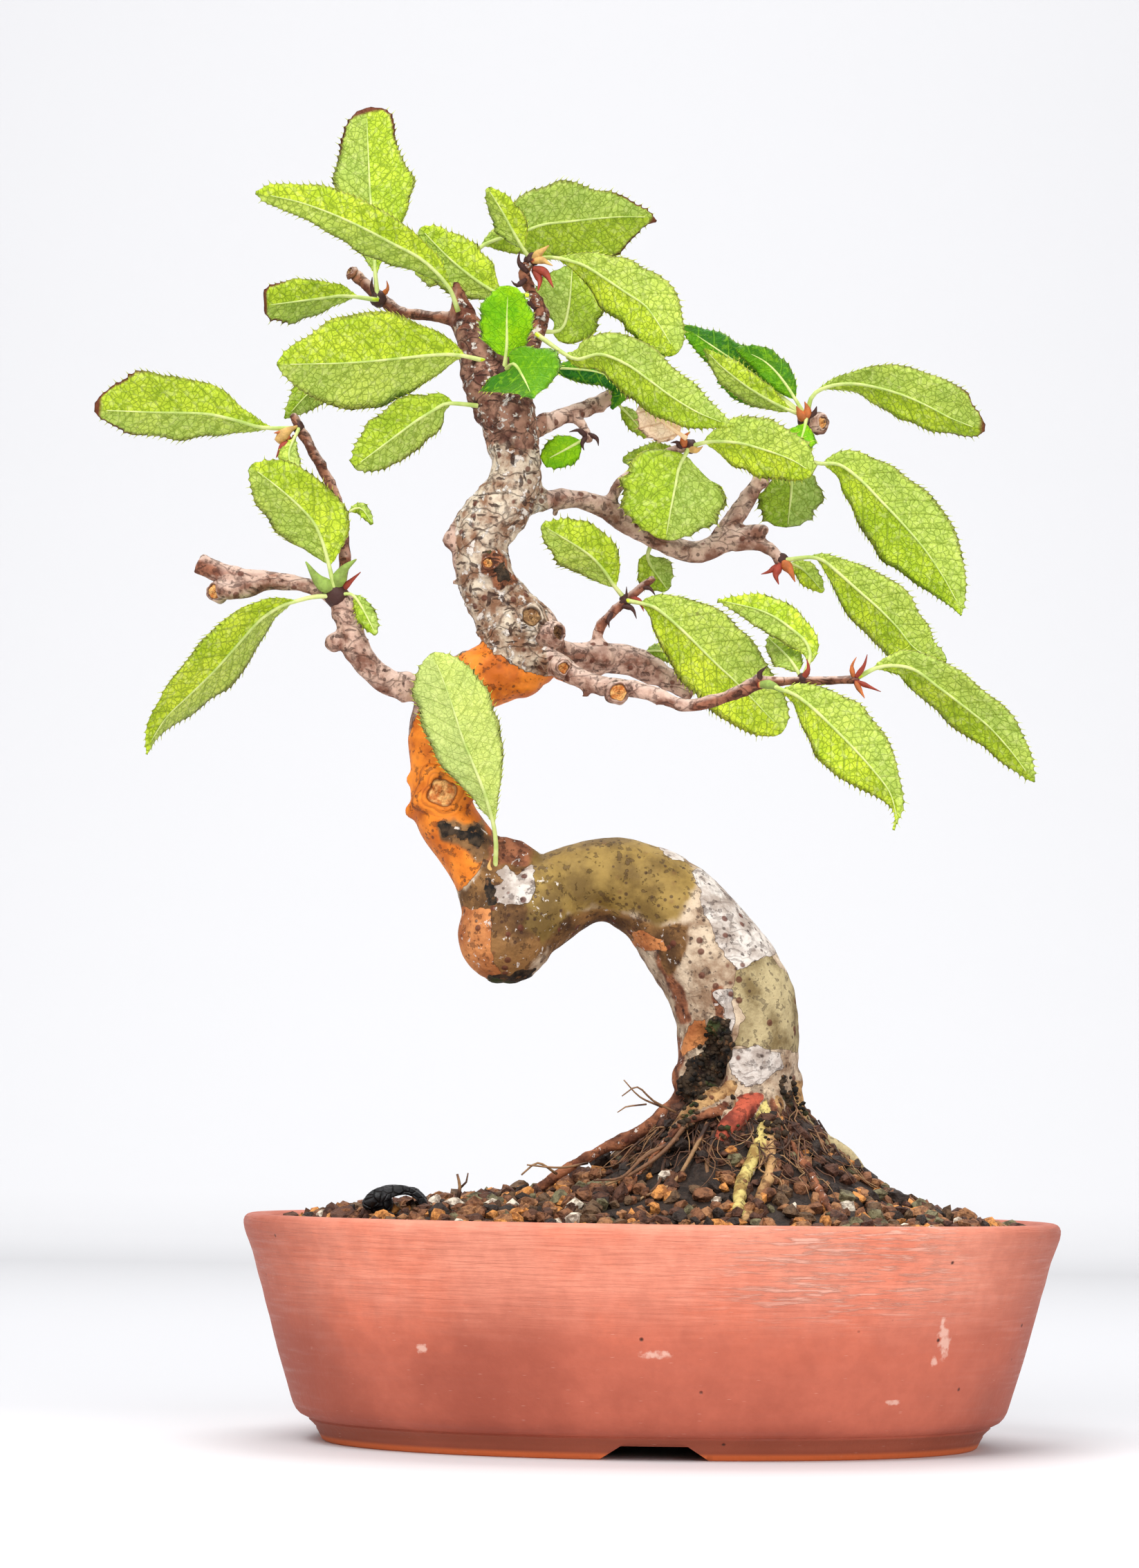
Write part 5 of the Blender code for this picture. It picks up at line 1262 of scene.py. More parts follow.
@dataclass
class Wood:
    """Trunk, branches and surface roots, grown together as one skin."""

    soil: Soil
    voxel: float = 0.65
    slender: float = 1.7
    slender_extra: float = 0.12
    hollow: Row = (12.8, 86.2, 4.4, 8.2)
    hollow_depth: float = 5.0
    smoothing: int = 2
    root_reach: float = 84.0
    root_tops: Place = (80.0, 77.0)
    laid_below: float = 76.0
    laid_depths: Place = (-46.0, -5.0)
    laid_step: float = 0.5
    trunk_u: float = -33.0
    trunk_half: Place = (8.0, 12.0)
    flaky_from: Place = (166.0, 169.0)
    crusty_from: Place = (218.0, 226.0)
    twigs_above: float = 150.0
    dark_below: Place = (70.0, 75.0)
    sides: int = 24
    limb_step: float = 1.2
    bud_step: float = 5.5
    ray_reach: float = 80.0
    seed: int = 3
    crumbs: int = 900
    crumb_seed: int = 8
    crumbs_u: Place = (2, 36)
    crumbs_v: Place = (68, 96)
    scar_sides: int = 40
    # rows of reach, height, painted shade in the groove, and cut face
    scar_rows: list[Row] = field(default_factory=lambda: [
        (1.55, -1.0, 0.0, 0.0), (1.36, -0.35, 0.0, 0.0), (1.24, 0.0, 0.0, 0.0), (1.16, 0.22, 0.0, 0.0),
        (1.06, 0.34, 0.0, 0.0), (0.99, 0.26, 0.3, 0.0), (0.92, 0.55, 0.0, 0.0), (0.84, 0.72, 0.0, 0.0),
        (0.76, 0.66, 0.2, 0.0), (0.71, 0.4, 1.0, 0.2), (0.66, 0.26, 0.7, 1.0), (0.56, 0.36, 0.0, 1.0),
        (0.48, 0.26, 0.25, 1.0), (0.38, 0.4, 0.0, 1.0), (0.3, 0.24, 0.3, 1.0), (0.2, 0.38, 0.0, 1.0),
        (0.1, 0.16, 0.5, 1.0), (0.01, 0.3, 0.0, 1.0)])

    def laid(self, rows: list[Row]) -> list[Vector]:
        """Places along a root; in front it is drawn out until it lies on the soil."""
        placed = []
        for u, v, depth, radius in rows:
            spot = SIGHT.point(u, v, depth)
            while v < self.laid_below and self.laid_depths[0] < depth < self.laid_depths[1]:
                above = spot.z / MM - self.soil.level((spot.x - SIGHT.pot_x) / MM, spot.y / MM)
                if above > -0.3 * radius:
                    break
                depth -= self.laid_step
                spot = SIGHT.point(u, v, depth)
            placed.append(Vector((*spot, radius * MM)))
        return placed

    def knobbly(self, seed: float) -> Callable[[float, int], float]:
        """Factor on a branch's radius: uneven rings, and swollen nodes here and there."""
        def factor(share: float, ring: int) -> float:
            """Factor at a share round and a ring."""
            node = max(0.0, noise.noise(Vector((ring * 0.43, 0.0, seed))) - 0.12)
            turn = Vector((math.cos(ROUND * share), math.sin(ROUND * share), 0)) * 1.3
            return 1 + 0.75 * node + 0.14 * noise.noise(turn + Vector((0, seed, ring * 0.6)))
        return factor

    def skin(self) -> bpy.types.Mesh:
        """One skin over all the limbs, knots and small buds."""
        rng = random.Random(self.seed)
        bm = bmesh.new()
        for rows, step in ((TRUNK_LOW, 2.0), (TRUNK_NECK, 1.5), (TRUNK_HIGH, 1.5)):
            limb(bm, drawn(rows), self.sides, step * MM)
        for k, rows in enumerate(BRANCHES.values()):
            thin = rows[-1][3] < self.slender
            placed = drawn(rows, self.slender_extra if thin else 0.0)
            limb(bm, placed, self.sides, self.limb_step * MM, self.knobbly(k * 7.3), thin)
            for x, y, z, radius in smooth_route(placed, self.bud_step * MM)[1:-1]:
                aside = Vector((rng.uniform(-1, 1), rng.uniform(-1, 0.4), rng.uniform(-1, 1))).normalized()
                size = rng.uniform(0.45, 0.8) * min(radius, 1.5 * MM)
                lump(bm, Vector((x, y, z)) + aside * radius, Vector((size, size, size)), 2)
        for k, (_, rows) in enumerate(ROOTS):
            limb(bm, self.laid(rows), self.sides, self.limb_step * MM, self.knobbly(k * 3.1 + 50))
        for u, v, depth, radius, flat in KNOTS:
            lump(bm, SIGHT.point(u, v, depth), Vector((radius, radius * flat, radius)) * MM, 3)
        return baked(bm, ("REMESH", {"mode": "VOXEL", "voxel_size": self.voxel * MM, "adaptivity": 0.0}))

    def build(self) -> bpy.types.Object:
        """Make the wood: skin, relief, hollow, scars, the masks of its bark and its painted shade in creases."""
        bm = bmesh.new()
        rough = self.skin()
        bm.from_mesh(rough)
        bpy.data.meshes.remove(rough)
        for _ in range(self.smoothing):
            bmesh.ops.smooth_vert(bm, verts=bm.verts[:], factor=0.5, use_axis_x=True, use_axis_y=True,
                                  use_axis_z=True)
        bm.normal_update()
        layers = {kind: add_float(bm, kind.value) for kind in Bark}
        rows = [(kind, row) for kind, root in ROOTS for row in smooth_route(self.laid(root), 1.5 * MM)]
        roots = KDTree(len(rows))
        for k, (_, row) in enumerate(rows):
            roots.insert(row[:3], k)
        roots.balance()
        for vert in bm.verts:
            u, v = SIGHT.sheet(vert.co)
            masks = self.masks(u, v, vert.co)
            if v < self.root_reach:
                _, k, away = roots.find(vert.co)
                kind, row = rows[k]
                share = 1 - smooth_step(away / row[3], 1.35, 1.75)
                masks[Bark.DARK] = min(masks[Bark.DARK], 1 - share)
                top = self.root_tops[kind is Bark.RED]
                masks[kind] = max(masks[kind], share * (1 - smooth_step(v, top, top + 3)))
            push = self.relief_at(vert.co, masks) - self.hollowed(u, v, vert)
            for kind, layer in layers.items():
                vert[layer] = masks[kind]
            vert.co += vert.normal * push * MM
        bm.normal_update()
        # painted shade: this layer darkens the skin where it lies in a crease
        for vert in bm.verts:
            vert[layers[Bark.GROOVE]] = self.crease(vert)
        surface = BVHTree.FromBMesh(bm)
        for scar in SCARS:
            self.add_scar(bm, surface, scar, layers)
        self.add_crumbs(bm, surface, layers[Bark.DARK])
        return piece_from("wood_dressed", bm, [BarkFinish().build()], ["wood"])

    def front_of(self, surface: BVHTree, u: float, v: float) -> tuple[Vector | None, Vector | None]:
        """Place and normal of the skin's front at a place of the elevation, if it is there."""
        near, far = SIGHT.point(u, v, -self.ray_reach), SIGHT.point(u, v, self.ray_reach)
        return surface.ray_cast(near, (far - near).normalized())[:2]

    def add_crumbs(self, bm: BMesh, surface: BVHTree, dark: Layer) -> None:
        """Stick crumbs of rot and soil to the dark places at the trunk's foot."""
        rng = random.Random(self.crumb_seed)
        for _ in range(self.crumbs):
            u, v = rng.uniform(*self.crumbs_u), rng.uniform(*self.crumbs_v)
            spot, normal = self.front_of(surface, u, v)
            if spot is None or self.masks(u, v, spot)[Bark.DARK] < 0.6:
                continue
            size = rng.triangular(0.35, 1.1, 0.5) * MM
            radii = Vector((size, size * rng.uniform(0.6, 1.0), size * rng.uniform(0.6, 1.0)))
            for vert in lump(bm, spot + normal * size * 0.3, radii, 1):
                vert[dark] = 1.0

    def add_scar(self, bm: BMesh, surface: BVHTree, scar: Scar, layers: dict[Bark, Layer]) -> None:
        """Add a ringed scar on the front of the wood.

        Args:
            bm: The wood's mesh.
            surface: Its skin, to find the front of it.
            scar: The scar.
            layers: The layer of each kind of bark.
        """
        spot, normal = self.front_of(surface, scar.u, scar.v)
        if spot is None:
            LOG.warning("scar at %s, %s misses the wood", scar.u, scar.v)
            return
        out = (normal * 0.5 + Vector(scar.lean)).normalized()
        side = out.orthogonal().normalized()
        up = out.cross(side)
        masks = self.masks(scar.u, scar.v, spot)
        rows = [(1.1, -1.2, 0.0, 0.0), *self.scar_rows[7:]] if scar.bare else self.scar_rows

        def place(share: float, row: int) -> Vector:
            """Place on the scar's uneven rings."""
            reach, height, _, _ = rows[row]
            angle = ROUND * share
            ring = side * math.cos(angle) + up * math.sin(angle)
            uneven = noise.noise(ring * 1.4 + Vector((scar.u, reach, 0)))
            wide = scar.radius * reach * (1 + 0.24 * uneven)
            rough = 0.2 if reach > 0.66 else 0.5
            tall = scar.proud * height + rough * noise.noise(ring * 2.5 + Vector((scar.v, reach * 9, 0)))
            return spot + (ring * wide + out * tall) * MM

        def mark(vert: Vert, _share: float, row: int) -> None:
            """Mark the bark round the scar, the painted shade in its grooves and its cut face."""
            _, _, groove, cut = rows[row]
            for kind, layer in layers.items():
                vert[layer] = masks[kind]
            vert[layers[Bark.GROOVE]] = groove
            vert[layers[Bark.CUT]] = cut * scar.fresh
            vert[layers[Bark.TAN]] = cut * (1 - scar.fresh)

        loft(bm, self.scar_sides, len(rows) - 1, place, mark=mark)

    def masks(self, u: float, v: float, place: Vector) -> dict[Bark, float]:
        """Share of each kind of bark at a place of the elevation."""
        ragged = 0.9 * noise.noise(place * 260) + 0.4 * noise.noise(place * 700)
        found = {kind: 0.0 for kind in Bark}
        for patch in PATCHES:
            if patch.near(u, v):
                found[patch.kind] = max(found[patch.kind], patch.share(u, v, ragged))
        high = smooth_step(v, *self.flaky_from)
        trunk = 1 - smooth_step(abs(u - self.trunk_u), *self.trunk_half)
        found[Bark.FLAKE] = high * trunk
        found[Bark.CRUST] = max(found[Bark.CRUST], smooth_step(v + 4 * ragged, *self.crusty_from) * trunk)
        found[Bark.TWIG] = 1 - trunk if v > self.twigs_above else 0.0
        found[Bark.SHOOT] = self.young(u, v)
        found[Bark.DARK] = max(found[Bark.DARK], 1 - smooth_step(v + 2 * ragged, *self.dark_below))
        clear = 1 - found[Bark.DARK]
        for kind in (Bark.WHITE, Bark.OLIVE, Bark.ORANGE, Bark.RUST):
            found[kind] *= clear
        return found

    @staticmethod
    def crease(vert: Vert) -> float:
        """How deep a vertex lies between its neighbours, from 0 to 1."""
        ways = [(edge.other_vert(vert).co - vert.co).normalized() for edge in vert.link_edges]
        return smooth_step(sum(way.dot(vert.normal) for way in ways) / len(ways), 0.05, 0.3)

    @staticmethod
    def young(u: float, v: float) -> float:
        """Share of red-brown young bark: the shoots at the ends of the branches."""
        left = (1 - smooth_step(u, -67, -64)) * smooth_step(v, 191, 195)
        right = smooth_step(u, 6, 12) * (1 - smooth_step(v, 174, 178))
        twig = smooth_step(u, -13, -11) * smooth_step(v, 178, 182) * (1 - smooth_step(v, 192, 196))
        crown = smooth_step(v, 244, 250)
        return max(left, right * smooth_step(v, 120, 140), twig, crown * 0.8)

    @staticmethod
    def relief_at(place: Vector, masks: dict[Bark, float]) -> float:
        """Millimetres that the bark stands proud at a place."""
        calm = 1 - 0.7 * max(masks[Bark.ORANGE], masks[Bark.OLIVE], masks[Bark.OCHRE])
        swell = 0.4 * noise.noise(place * 110)
        grain = 0.24 * noise.noise(place * 420) * calm
        flat = Vector((place.x, place.y, place.z * 2.0))
        scaly = max(masks[Bark.FLAKE], masks[Bark.CRUST])
        peel = (0.55 * noise.noise(flat * 230) + 0.3 * abs(noise.noise(flat * 520))) * scaly
        layer = 0.22 * masks[Bark.WHITE] - 0.12 * masks[Bark.ORANGE]
        crust = 0.8 * abs(noise.noise(place * 330)) * masks[Bark.DARK]
        return swell + grain + peel + layer + crust

    def hollowed(self, u: float, v: float, vert: Vert) -> float:
        """Millimetres that the rotted hollow goes in at a vertex of the front."""
        if vert.normal.y > -0.1:
            return 0.0
        middle_u, middle_v, half_u, half_v = self.hollow
        run = math.hypot((u - middle_u + 0.18 * (v - middle_v)) / half_u, (v - middle_v) / half_v)
        return self.hollow_depth * (1 - smooth_step(run, 0.45, 1.0)) * -vert.normal.y


# Leaves

class Face(Enum):
    """Side of a leaf that its front shows."""

    UNDER = 0
    UPPER = 1


@dataclass(frozen=True)
class Leaf:
    """One leaf: midrib points on the elevation, depth at base and tip, and its shape.

    turn is in degrees about the midrib. base and tip are powers: under 1 rounds that end of the
    blade, over 1 draws it out. An outline gives half widths as the front sees them, by share of
    the length, on the left and the right of the way that the leaf grows. scorch, shade and pale
    are shares from 0 to 1, and all else is in millimetres.
    """

    points: list[Place]
    depths: Place
    width: float
    turn: float = 0.0
    stalk: float = 4.0
    bow: float = 0.0
    peak: float = 0.48
    wave: float = 0.7
    fold: float = 0.16
    face: Face = Face.UNDER
    scorch: float = 0.0
    shade: float = 0.2
    pale: float = 0.0
    base: float = 0.85
    tip: float = 0.75
    outline: tuple[tuple[float, float, float], ...] = ()

    @property
    def turned(self) -> float:
        """Turn about the midrib in radians, signed by the way that the leaf points."""
        return math.radians(self.turn) * (1 if self.points[-1][0] < self.points[0][0] else -1)

    @property
    def half(self) -> float:
        """Greatest half width of the blade itself, not as the front sees it."""
        return self.width / 2 / math.cos(self.turned)

    def half_widths(self, s: float) -> Place:
        """Half widths of the blade at a share of its length, on its right and its left."""
        if self.outline:
            for (low, left, right), (high, next_left, next_right) in zip(self.outline, self.outline[1:]):
                if s <= high:
                    t = smooth_step(s, low, high) * 0.35 + (s - low) / (high - low) * 0.65
                    stretch = 1 / math.cos(self.turned)
                    return between(right, next_right, t) * stretch, between(left, next_left, t) * stretch
        full = 0.0
        if 0 < s < 1:
            swell = math.sin(math.pi * s ** (math.log(0.5) / math.log(self.peak)))
            full = swell ** (self.base if s < self.peak else self.tip)
        return (max(self.half * full, 0.25),) * 2

    def midrib(self) -> list[Vector]:
        """Places along the midrib, in millimetres."""
        flat = smooth_route([(u, v, 0.0) for u, v in self.points], 0.5)
        runs = runs_along(flat)
        placed = []
        for row, run in zip(flat, runs):
            t = run / runs[-1]
            depth = between(*self.depths, t) + self.bow * 4 * t * (1 - t)
            placed.append(SIGHT.point(row[0], row[1], depth) / MM)
        return placed


class LeafMaker:
    """Builds a leaf's blade, stalk and midrib into a mesh."""

    tooth_pitch: float = 1.35
    tooth: float = 0.42
    bristle: float = 1.1
    bristle_radius: float = 0.13
    tooth_lean: float = 0.9
    tooth_rings: int = 3
    tooth_rise: tuple[float, ...] = (0.0, 0.2, 1.0)
    tooth_run: tuple[float, ...] = (0.0, 0.1, 1.0)
    half_thickness: float = 0.2
    vein_pitch: float = 4.4
    vein_slope: float = 0.75
    vein_curve: float = 0.03
    stalk_radius: float = 0.6
    reach_ahead: float = 1.2
    chart_scale: float = 100.0

    def __init__(self, bm: BMesh, leaf: Leaf, rng: random.Random) -> None:
        """Measure the leaf's midrib.

        Args:
            bm: The mesh that it is added to.
            leaf: The leaf.
            rng: Source of its small unevenness.
        """
        self.bm = bm
        self.leaf = leaf
        self.route = leaf.midrib()
        self.runs = runs_along(self.route)
        self.total = self.runs[-1]
        self.blade = self.total - leaf.stalk
        self.seed = rng.uniform(0, 90)
        self.shade = min(max(leaf.shade + rng.uniform(-0.12, 0.12), 0.0), 1.0)

    def at(self, run: float) -> Vector:
        """Place on the midrib at a run from its base."""
        run = min(max(run, 0.0), self.total)
        k = min(int(run / self.total * (len(self.route) - 1)), len(self.route) - 2)
        while k > 0 and self.runs[k] > run:
            k -= 1
        while k < len(self.route) - 2 and self.runs[k + 1] < run:
            k += 1
        share = (run - self.runs[k]) / max(self.runs[k + 1] - self.runs[k], 1e-6)
        return self.route[k].lerp(self.route[k + 1], share)

    def axes(self, run: float) -> tuple[Vector, Vector, Vector, Vector]:
        """Place, direction, side and back of the leaf at a run from its base."""
        along = (self.at(run + self.reach_ahead) - self.at(run - self.reach_ahead)).normalized()
        side = along.cross(Vector((0, 1, 0))).normalized()
        back = side.cross(along).normalized()
        turn = self.leaf.turned
        return (self.at(run), along, side * math.cos(turn) + back * math.sin(turn),
                back * math.cos(turn) - side * math.sin(turn))

    def build(self) -> None:
        """Add the blade, then the stalk that runs on as its midrib."""
        self.add_blade()
        self.add_midrib()

    def section(self, share: float) -> tuple[float, float]:
        """Place across the blade from -1 to 1, and the side: -1 in front, 1 behind."""
        share = share % 1.0
        if share <= 0.5:
            across, side = share * 4 - 1, -1.0
        else:
            across, side = 3 - share * 4, 1.0
        return math.copysign(abs(across) ** 1.25, across), side

    def add_blade(self) -> None:
        """Add the blade: a flat closed skin with teeth, folds and raised fields between veins."""
        leaf = self.leaf
        teeth = max(6, round(self.blade / self.tooth_pitch))
        along = teeth * self.tooth_rings
        across = 2 * (12 if leaf.width > 7 else 8)
        frames = [self.axes(leaf.stalk + self.blade * ring / along) for ring in range(along + 1)]
        widths = [leaf.half_widths(ring / along) for ring in range(along + 1)]
        size = self.tooth * min(1.0, 0.45 + leaf.half / 10)

        def place(share: float, ring: int) -> Vector:
            """Place on the blade, with teeth at its edge and puffed fields between veins."""
            t, side_sign = self.section(share)
            s = ring / along
            here, ahead, side, back = frames[ring]
            uneven = 1 + 0.17 * noise.noise(Vector((s * 6.5, math.copysign(3.0, t), self.seed)))
            x = widths[ring][t > 0] * t * uneven
            lean = 0.0
            if abs(t) > 0.999 and 0.05 < s < 0.985:
                vary = 0.7 + 1.1 * noise.noise(Vector((ring * 0.83, t * 5, self.seed)))
                x += math.copysign(size * vary * self.tooth_rise[ring % self.tooth_rings], t)
                lean = self.tooth_lean * size * vary * self.tooth_run[ring % self.tooth_rings]
            edge = abs(t)
            ripple = leaf.wave * math.sin(s * 9.0 + self.seed) * math.sin(math.pi * s)
            fine = 0.28 * leaf.wave * noise.noise(Vector((s * 11, t * 1.5, self.seed)))
            waved = ripple * (1.0 if t < 0 else -0.8) + fine * 2
            lift = leaf.fold * abs(x) - 0.012 * x * x + waved * edge ** 2
            phase = (self.blade * s - self.vein_slope * abs(x) - self.vein_curve * x * x) / self.vein_pitch
            phase += 0.5 if t > 0 else 0.0
            puff = 0.2 * math.cos(ROUND * phase) * edge * (1 - edge ** 3) * min(1.0, leaf.half / 5)
            thick = self.half_thickness * (1 - edge ** 8) * smooth_step(1 - s, 0.0, 0.04)
            return (here + side * x + ahead * lean + back * (lift - puff + side_sign * thick)) * MM

        def chart(share: float, ring: int) -> Place:
            """Place on the leaf's flat chart."""
            t, _ = self.section(share)
            x = widths[ring][t > 0] * t
            return (0.5 + x / self.chart_scale, self.blade * ring / along / self.chart_scale)

        def paint(share: float) -> int:
            """Material of the side that a face is on."""
            front = leaf.face.value
            return front if share < 0.5 else 1 - front

        edge_layer, scorch_layer, shade_layer, pale_layer = (
            add_float(self.bm, name) for name in ("edge", "scorch", "shade", "pale"))

        def mark(vert: Vert, share: float, ring: int) -> None:
            """Mark the edge, the scorch, the shade and the paleness."""
            t, _ = self.section(share)
            s = ring / along
            vert[edge_layer] = abs(t) ** 6
            near_tip = smooth_step(s, 0.93, 1.0)
            vert[scorch_layer] = leaf.scorch * max(near_tip, smooth_step(s, 0.55, 0.9) * abs(t) ** 14)
            vert[shade_layer] = self.shade
            vert[pale_layer] = leaf.pale

        loft(self.bm, across, along, place, chart=chart, paint=paint, mark=mark)
        for ring in range(2, along - 2, self.tooth_rings):
            for share in (0.0, 0.5):
                _, ahead, side, _ = frames[ring]
                root = place(share, ring)
                hand = -1.0 if share == 0.0 else 1.0
                vary = 0.75 + 0.8 * noise.noise(Vector((ring * 0.61, share * 9, self.seed)))
                way = (side * hand + ahead * 0.9 + Vector((0, 0.3, 0)) * vary).normalized()
                self.add_bristle(root, way, self.bristle * vary * min(1.0, 0.4 + leaf.half / 9), edge_layer)

    def add_bristle(self, root: Vector, way: Vector, length: float, edge_layer: Layer) -> None:
        """Add the fine bristle at the end of one tooth.

        Args:
            root: Place of the tooth's end, in metres.
            way: Direction of the bristle.
            length: Its length in millimetres.
            edge_layer: Layer that colours it as the leaf's edge.
        """
        before = len(self.bm.verts)
        turn = way.to_track_quat("Z", "Y").to_matrix().to_4x4()
        place = Matrix.Translation(root + way * (length / 2 - 0.15) * MM) @ turn
        bmesh.ops.create_cone(self.bm, cap_ends=True, segments=3, radius1=self.bristle_radius * MM,
                              radius2=0.02 * MM, depth=length * MM, matrix=place)
        for vert in added(self.bm.verts, before):
            vert[edge_layer] = 1.0

    def add_midrib(self) -> None:
        """Add the stalk and the raised midrib, one tapered limb."""
        leaf = self.leaf
        size = self.stalk_radius * min(1.0, 0.5 + leaf.half / 9)
        front = -1 if leaf.face is Face.UNDER else -0.3
        rows = []
        for share in (0.0, 0.3, 0.6, 0.85, 1.0):
            here, _, _, back = self.axes(leaf.stalk * share)
            spot = here + back * (0.25 * front * share)
            rows.append((*(spot * MM), size * (1.0 - 0.22 * share) * MM))
        for share in (0.08, 0.2, 0.35, 0.5, 0.65, 0.8, 0.93):
            here, _, _, back = self.axes(leaf.stalk + self.blade * share)
            radius = size * (0.62 * (1 - share) + 0.13)
            spot = here + back * (front * (self.half_thickness + 0.25 * radius))
            rows.append((*(spot * MM), radius * MM))
        before = len(self.bm.faces)
        limb(self.bm, rows, 10, 1.2 * MM, round_tip=True)
        for face in added(self.bm.faces, before):
            face.material_index = 2


@dataclass(frozen=True)
class Blade(Finish):
    """Leaf blade: veins and net from the leaf's own chart, shade and edge from its attributes."""

    name: str = "leaf_under"
    roughness: float = 0.46
    specular: float = 0.25
    plain: Tone = tone(232, 250, 62)
    cloudy: Tone = tone(188, 214, 34)
    deep: Tone = tone(124, 164, 42)
    hazy: Tone = tone(184, 202, 126)
    wan: Tone = tone(204, 216, 140)
    net: Tone = tone(104, 132, 4)
    vein: Tone = tone(140, 164, 42)
    rim: Tone = tone(176, 168, 84)
    burnt: Tone = tone(112, 56, 30)
    spot: Tone = tone(84, 74, 36)
    # painted highlight: the colour of the glints on the pebbled cells
    glint: Tone = tone(236, 246, 150)
    net_share: float = 0.64
    vein_share: float = 0.5

    def draw(self, board: Board) -> None:
        """Clouds, haze over one half, the net of fine veins, side veins, painted glints on the pebbled cells and
        painted shade between them, and the burnt edge.
        """
        chart = board.add("ShaderNodeUVMap", uv_map="chart").outputs[0]
        x, y, _ = board.parts(chart)
        side = board.times(board.sums("SUBTRACT", x, 0.5), LeafMaker.chart_scale)
        run = board.times(y, LeafMaker.chart_scale)
        away = board.sums("ABSOLUTE", side)
        sloped = board.sums("SUBTRACT", run, board.times(away, LeafMaker.vein_slope))
        start = board.sums("SUBTRACT", sloped, board.times(away, away, LeafMaker.vein_curve))
        hand = board.times(board.sums("GREATER_THAN", side, 0.0), 0.5)
        phase = board.total(board.sums("DIVIDE", start, LeafMaker.vein_pitch), hand, 1.0)
        off = board.sums("ABSOLUTE", board.sums("SUBTRACT", board.sums("FRACT", phase), 0.5))
        vein = board.ramp(off, 0.035, 0.075, 1.0, 0.0)
        net, fine = board.cells(chart, 78.0, 0.13), board.cells(chart, 190.0, 0.14)
        plain = board.plain()
        wan = board.attribute("pale")
        clear = board.rest(board.times(wan, 0.9))
        pebbles_and_glints = board.noise(plain, 760.0, 2.0)[0]
        # painted highlight and shade: the glint tone lights the tops of the pebbles and the net tone darkens the
        # hollows between them
        board.finish(Base_Color=board.covered(
            board.clouds(plain, 130.0, 0.35, 0.65, self.cloudy, self.plain)[0],
            (self.deep, board.attribute("shade")), (self.wan, wan),
            (self.hazy, board.ramp(side, -0.4, 0.6), 0.4), (self.net, fine, self.net_share * 0.4),
            (self.net, net, clear, self.net_share), (self.vein, vein, self.vein_share, clear),
            (self.glint, board.ramp(pebbles_and_glints, 0.5, 0.7, 0.0, 0.3)),
            (self.net, board.ramp(pebbles_and_glints, 0.46, 0.3, 0.0, 0.18)),
            (self.rim, board.ramp(board.attribute("edge"), 0.6, 1.0), 0.5),
            (self.burnt, board.ramp(board.attribute("scorch"), 0.25, 0.8)),
            (self.spot, board.specks(plain, 300.0, 0.2, 0.02), 0.9)))
        raised = board.total(board.times(net, 0.6), vein, board.times(pebbles_and_glints, 0.8), board.times(fine, 0.25))
        board.relief(raised, 0.00026, 0.7)


UPPER_BLADE = Blade(
    name="leaf_upper", roughness=0.45, specular=0.15, plain=tone(164, 214, 0), cloudy=tone(112, 184, 0),
    deep=tone(12, 82, 18), hazy=tone(130, 196, 4), net=tone(70, 144, 10), vein=tone(140, 202, 40),
    rim=tone(170, 200, 110), glint=tone(172, 226, 30), net_share=0.35, vein_share=0.3)
# dead leaf's pale straw colours, brightened to the limit as painted light that stands in for the light shining through
# it
DRY_BLADE_WITH_PAINTED_LIGHT = Blade(
    name="leaf_dry", roughness=0.8, specular=0.2, plain=tone(255, 230, 196), cloudy=tone(255, 214, 168),
    deep=tone(230, 170, 120), hazy=tone(255, 226, 196), net=tone(190, 126, 80), vein=tone(196, 138, 92),
    rim=tone(170, 104, 62), burnt=tone(130, 72, 40), spot=tone(120, 70, 40), glint=tone(255, 228, 190),
    net_share=0.25)
STALK = Clouded("leaf_stalk", first=tone(176, 200, 96), second=tone(222, 228, 150), scale=260.0)

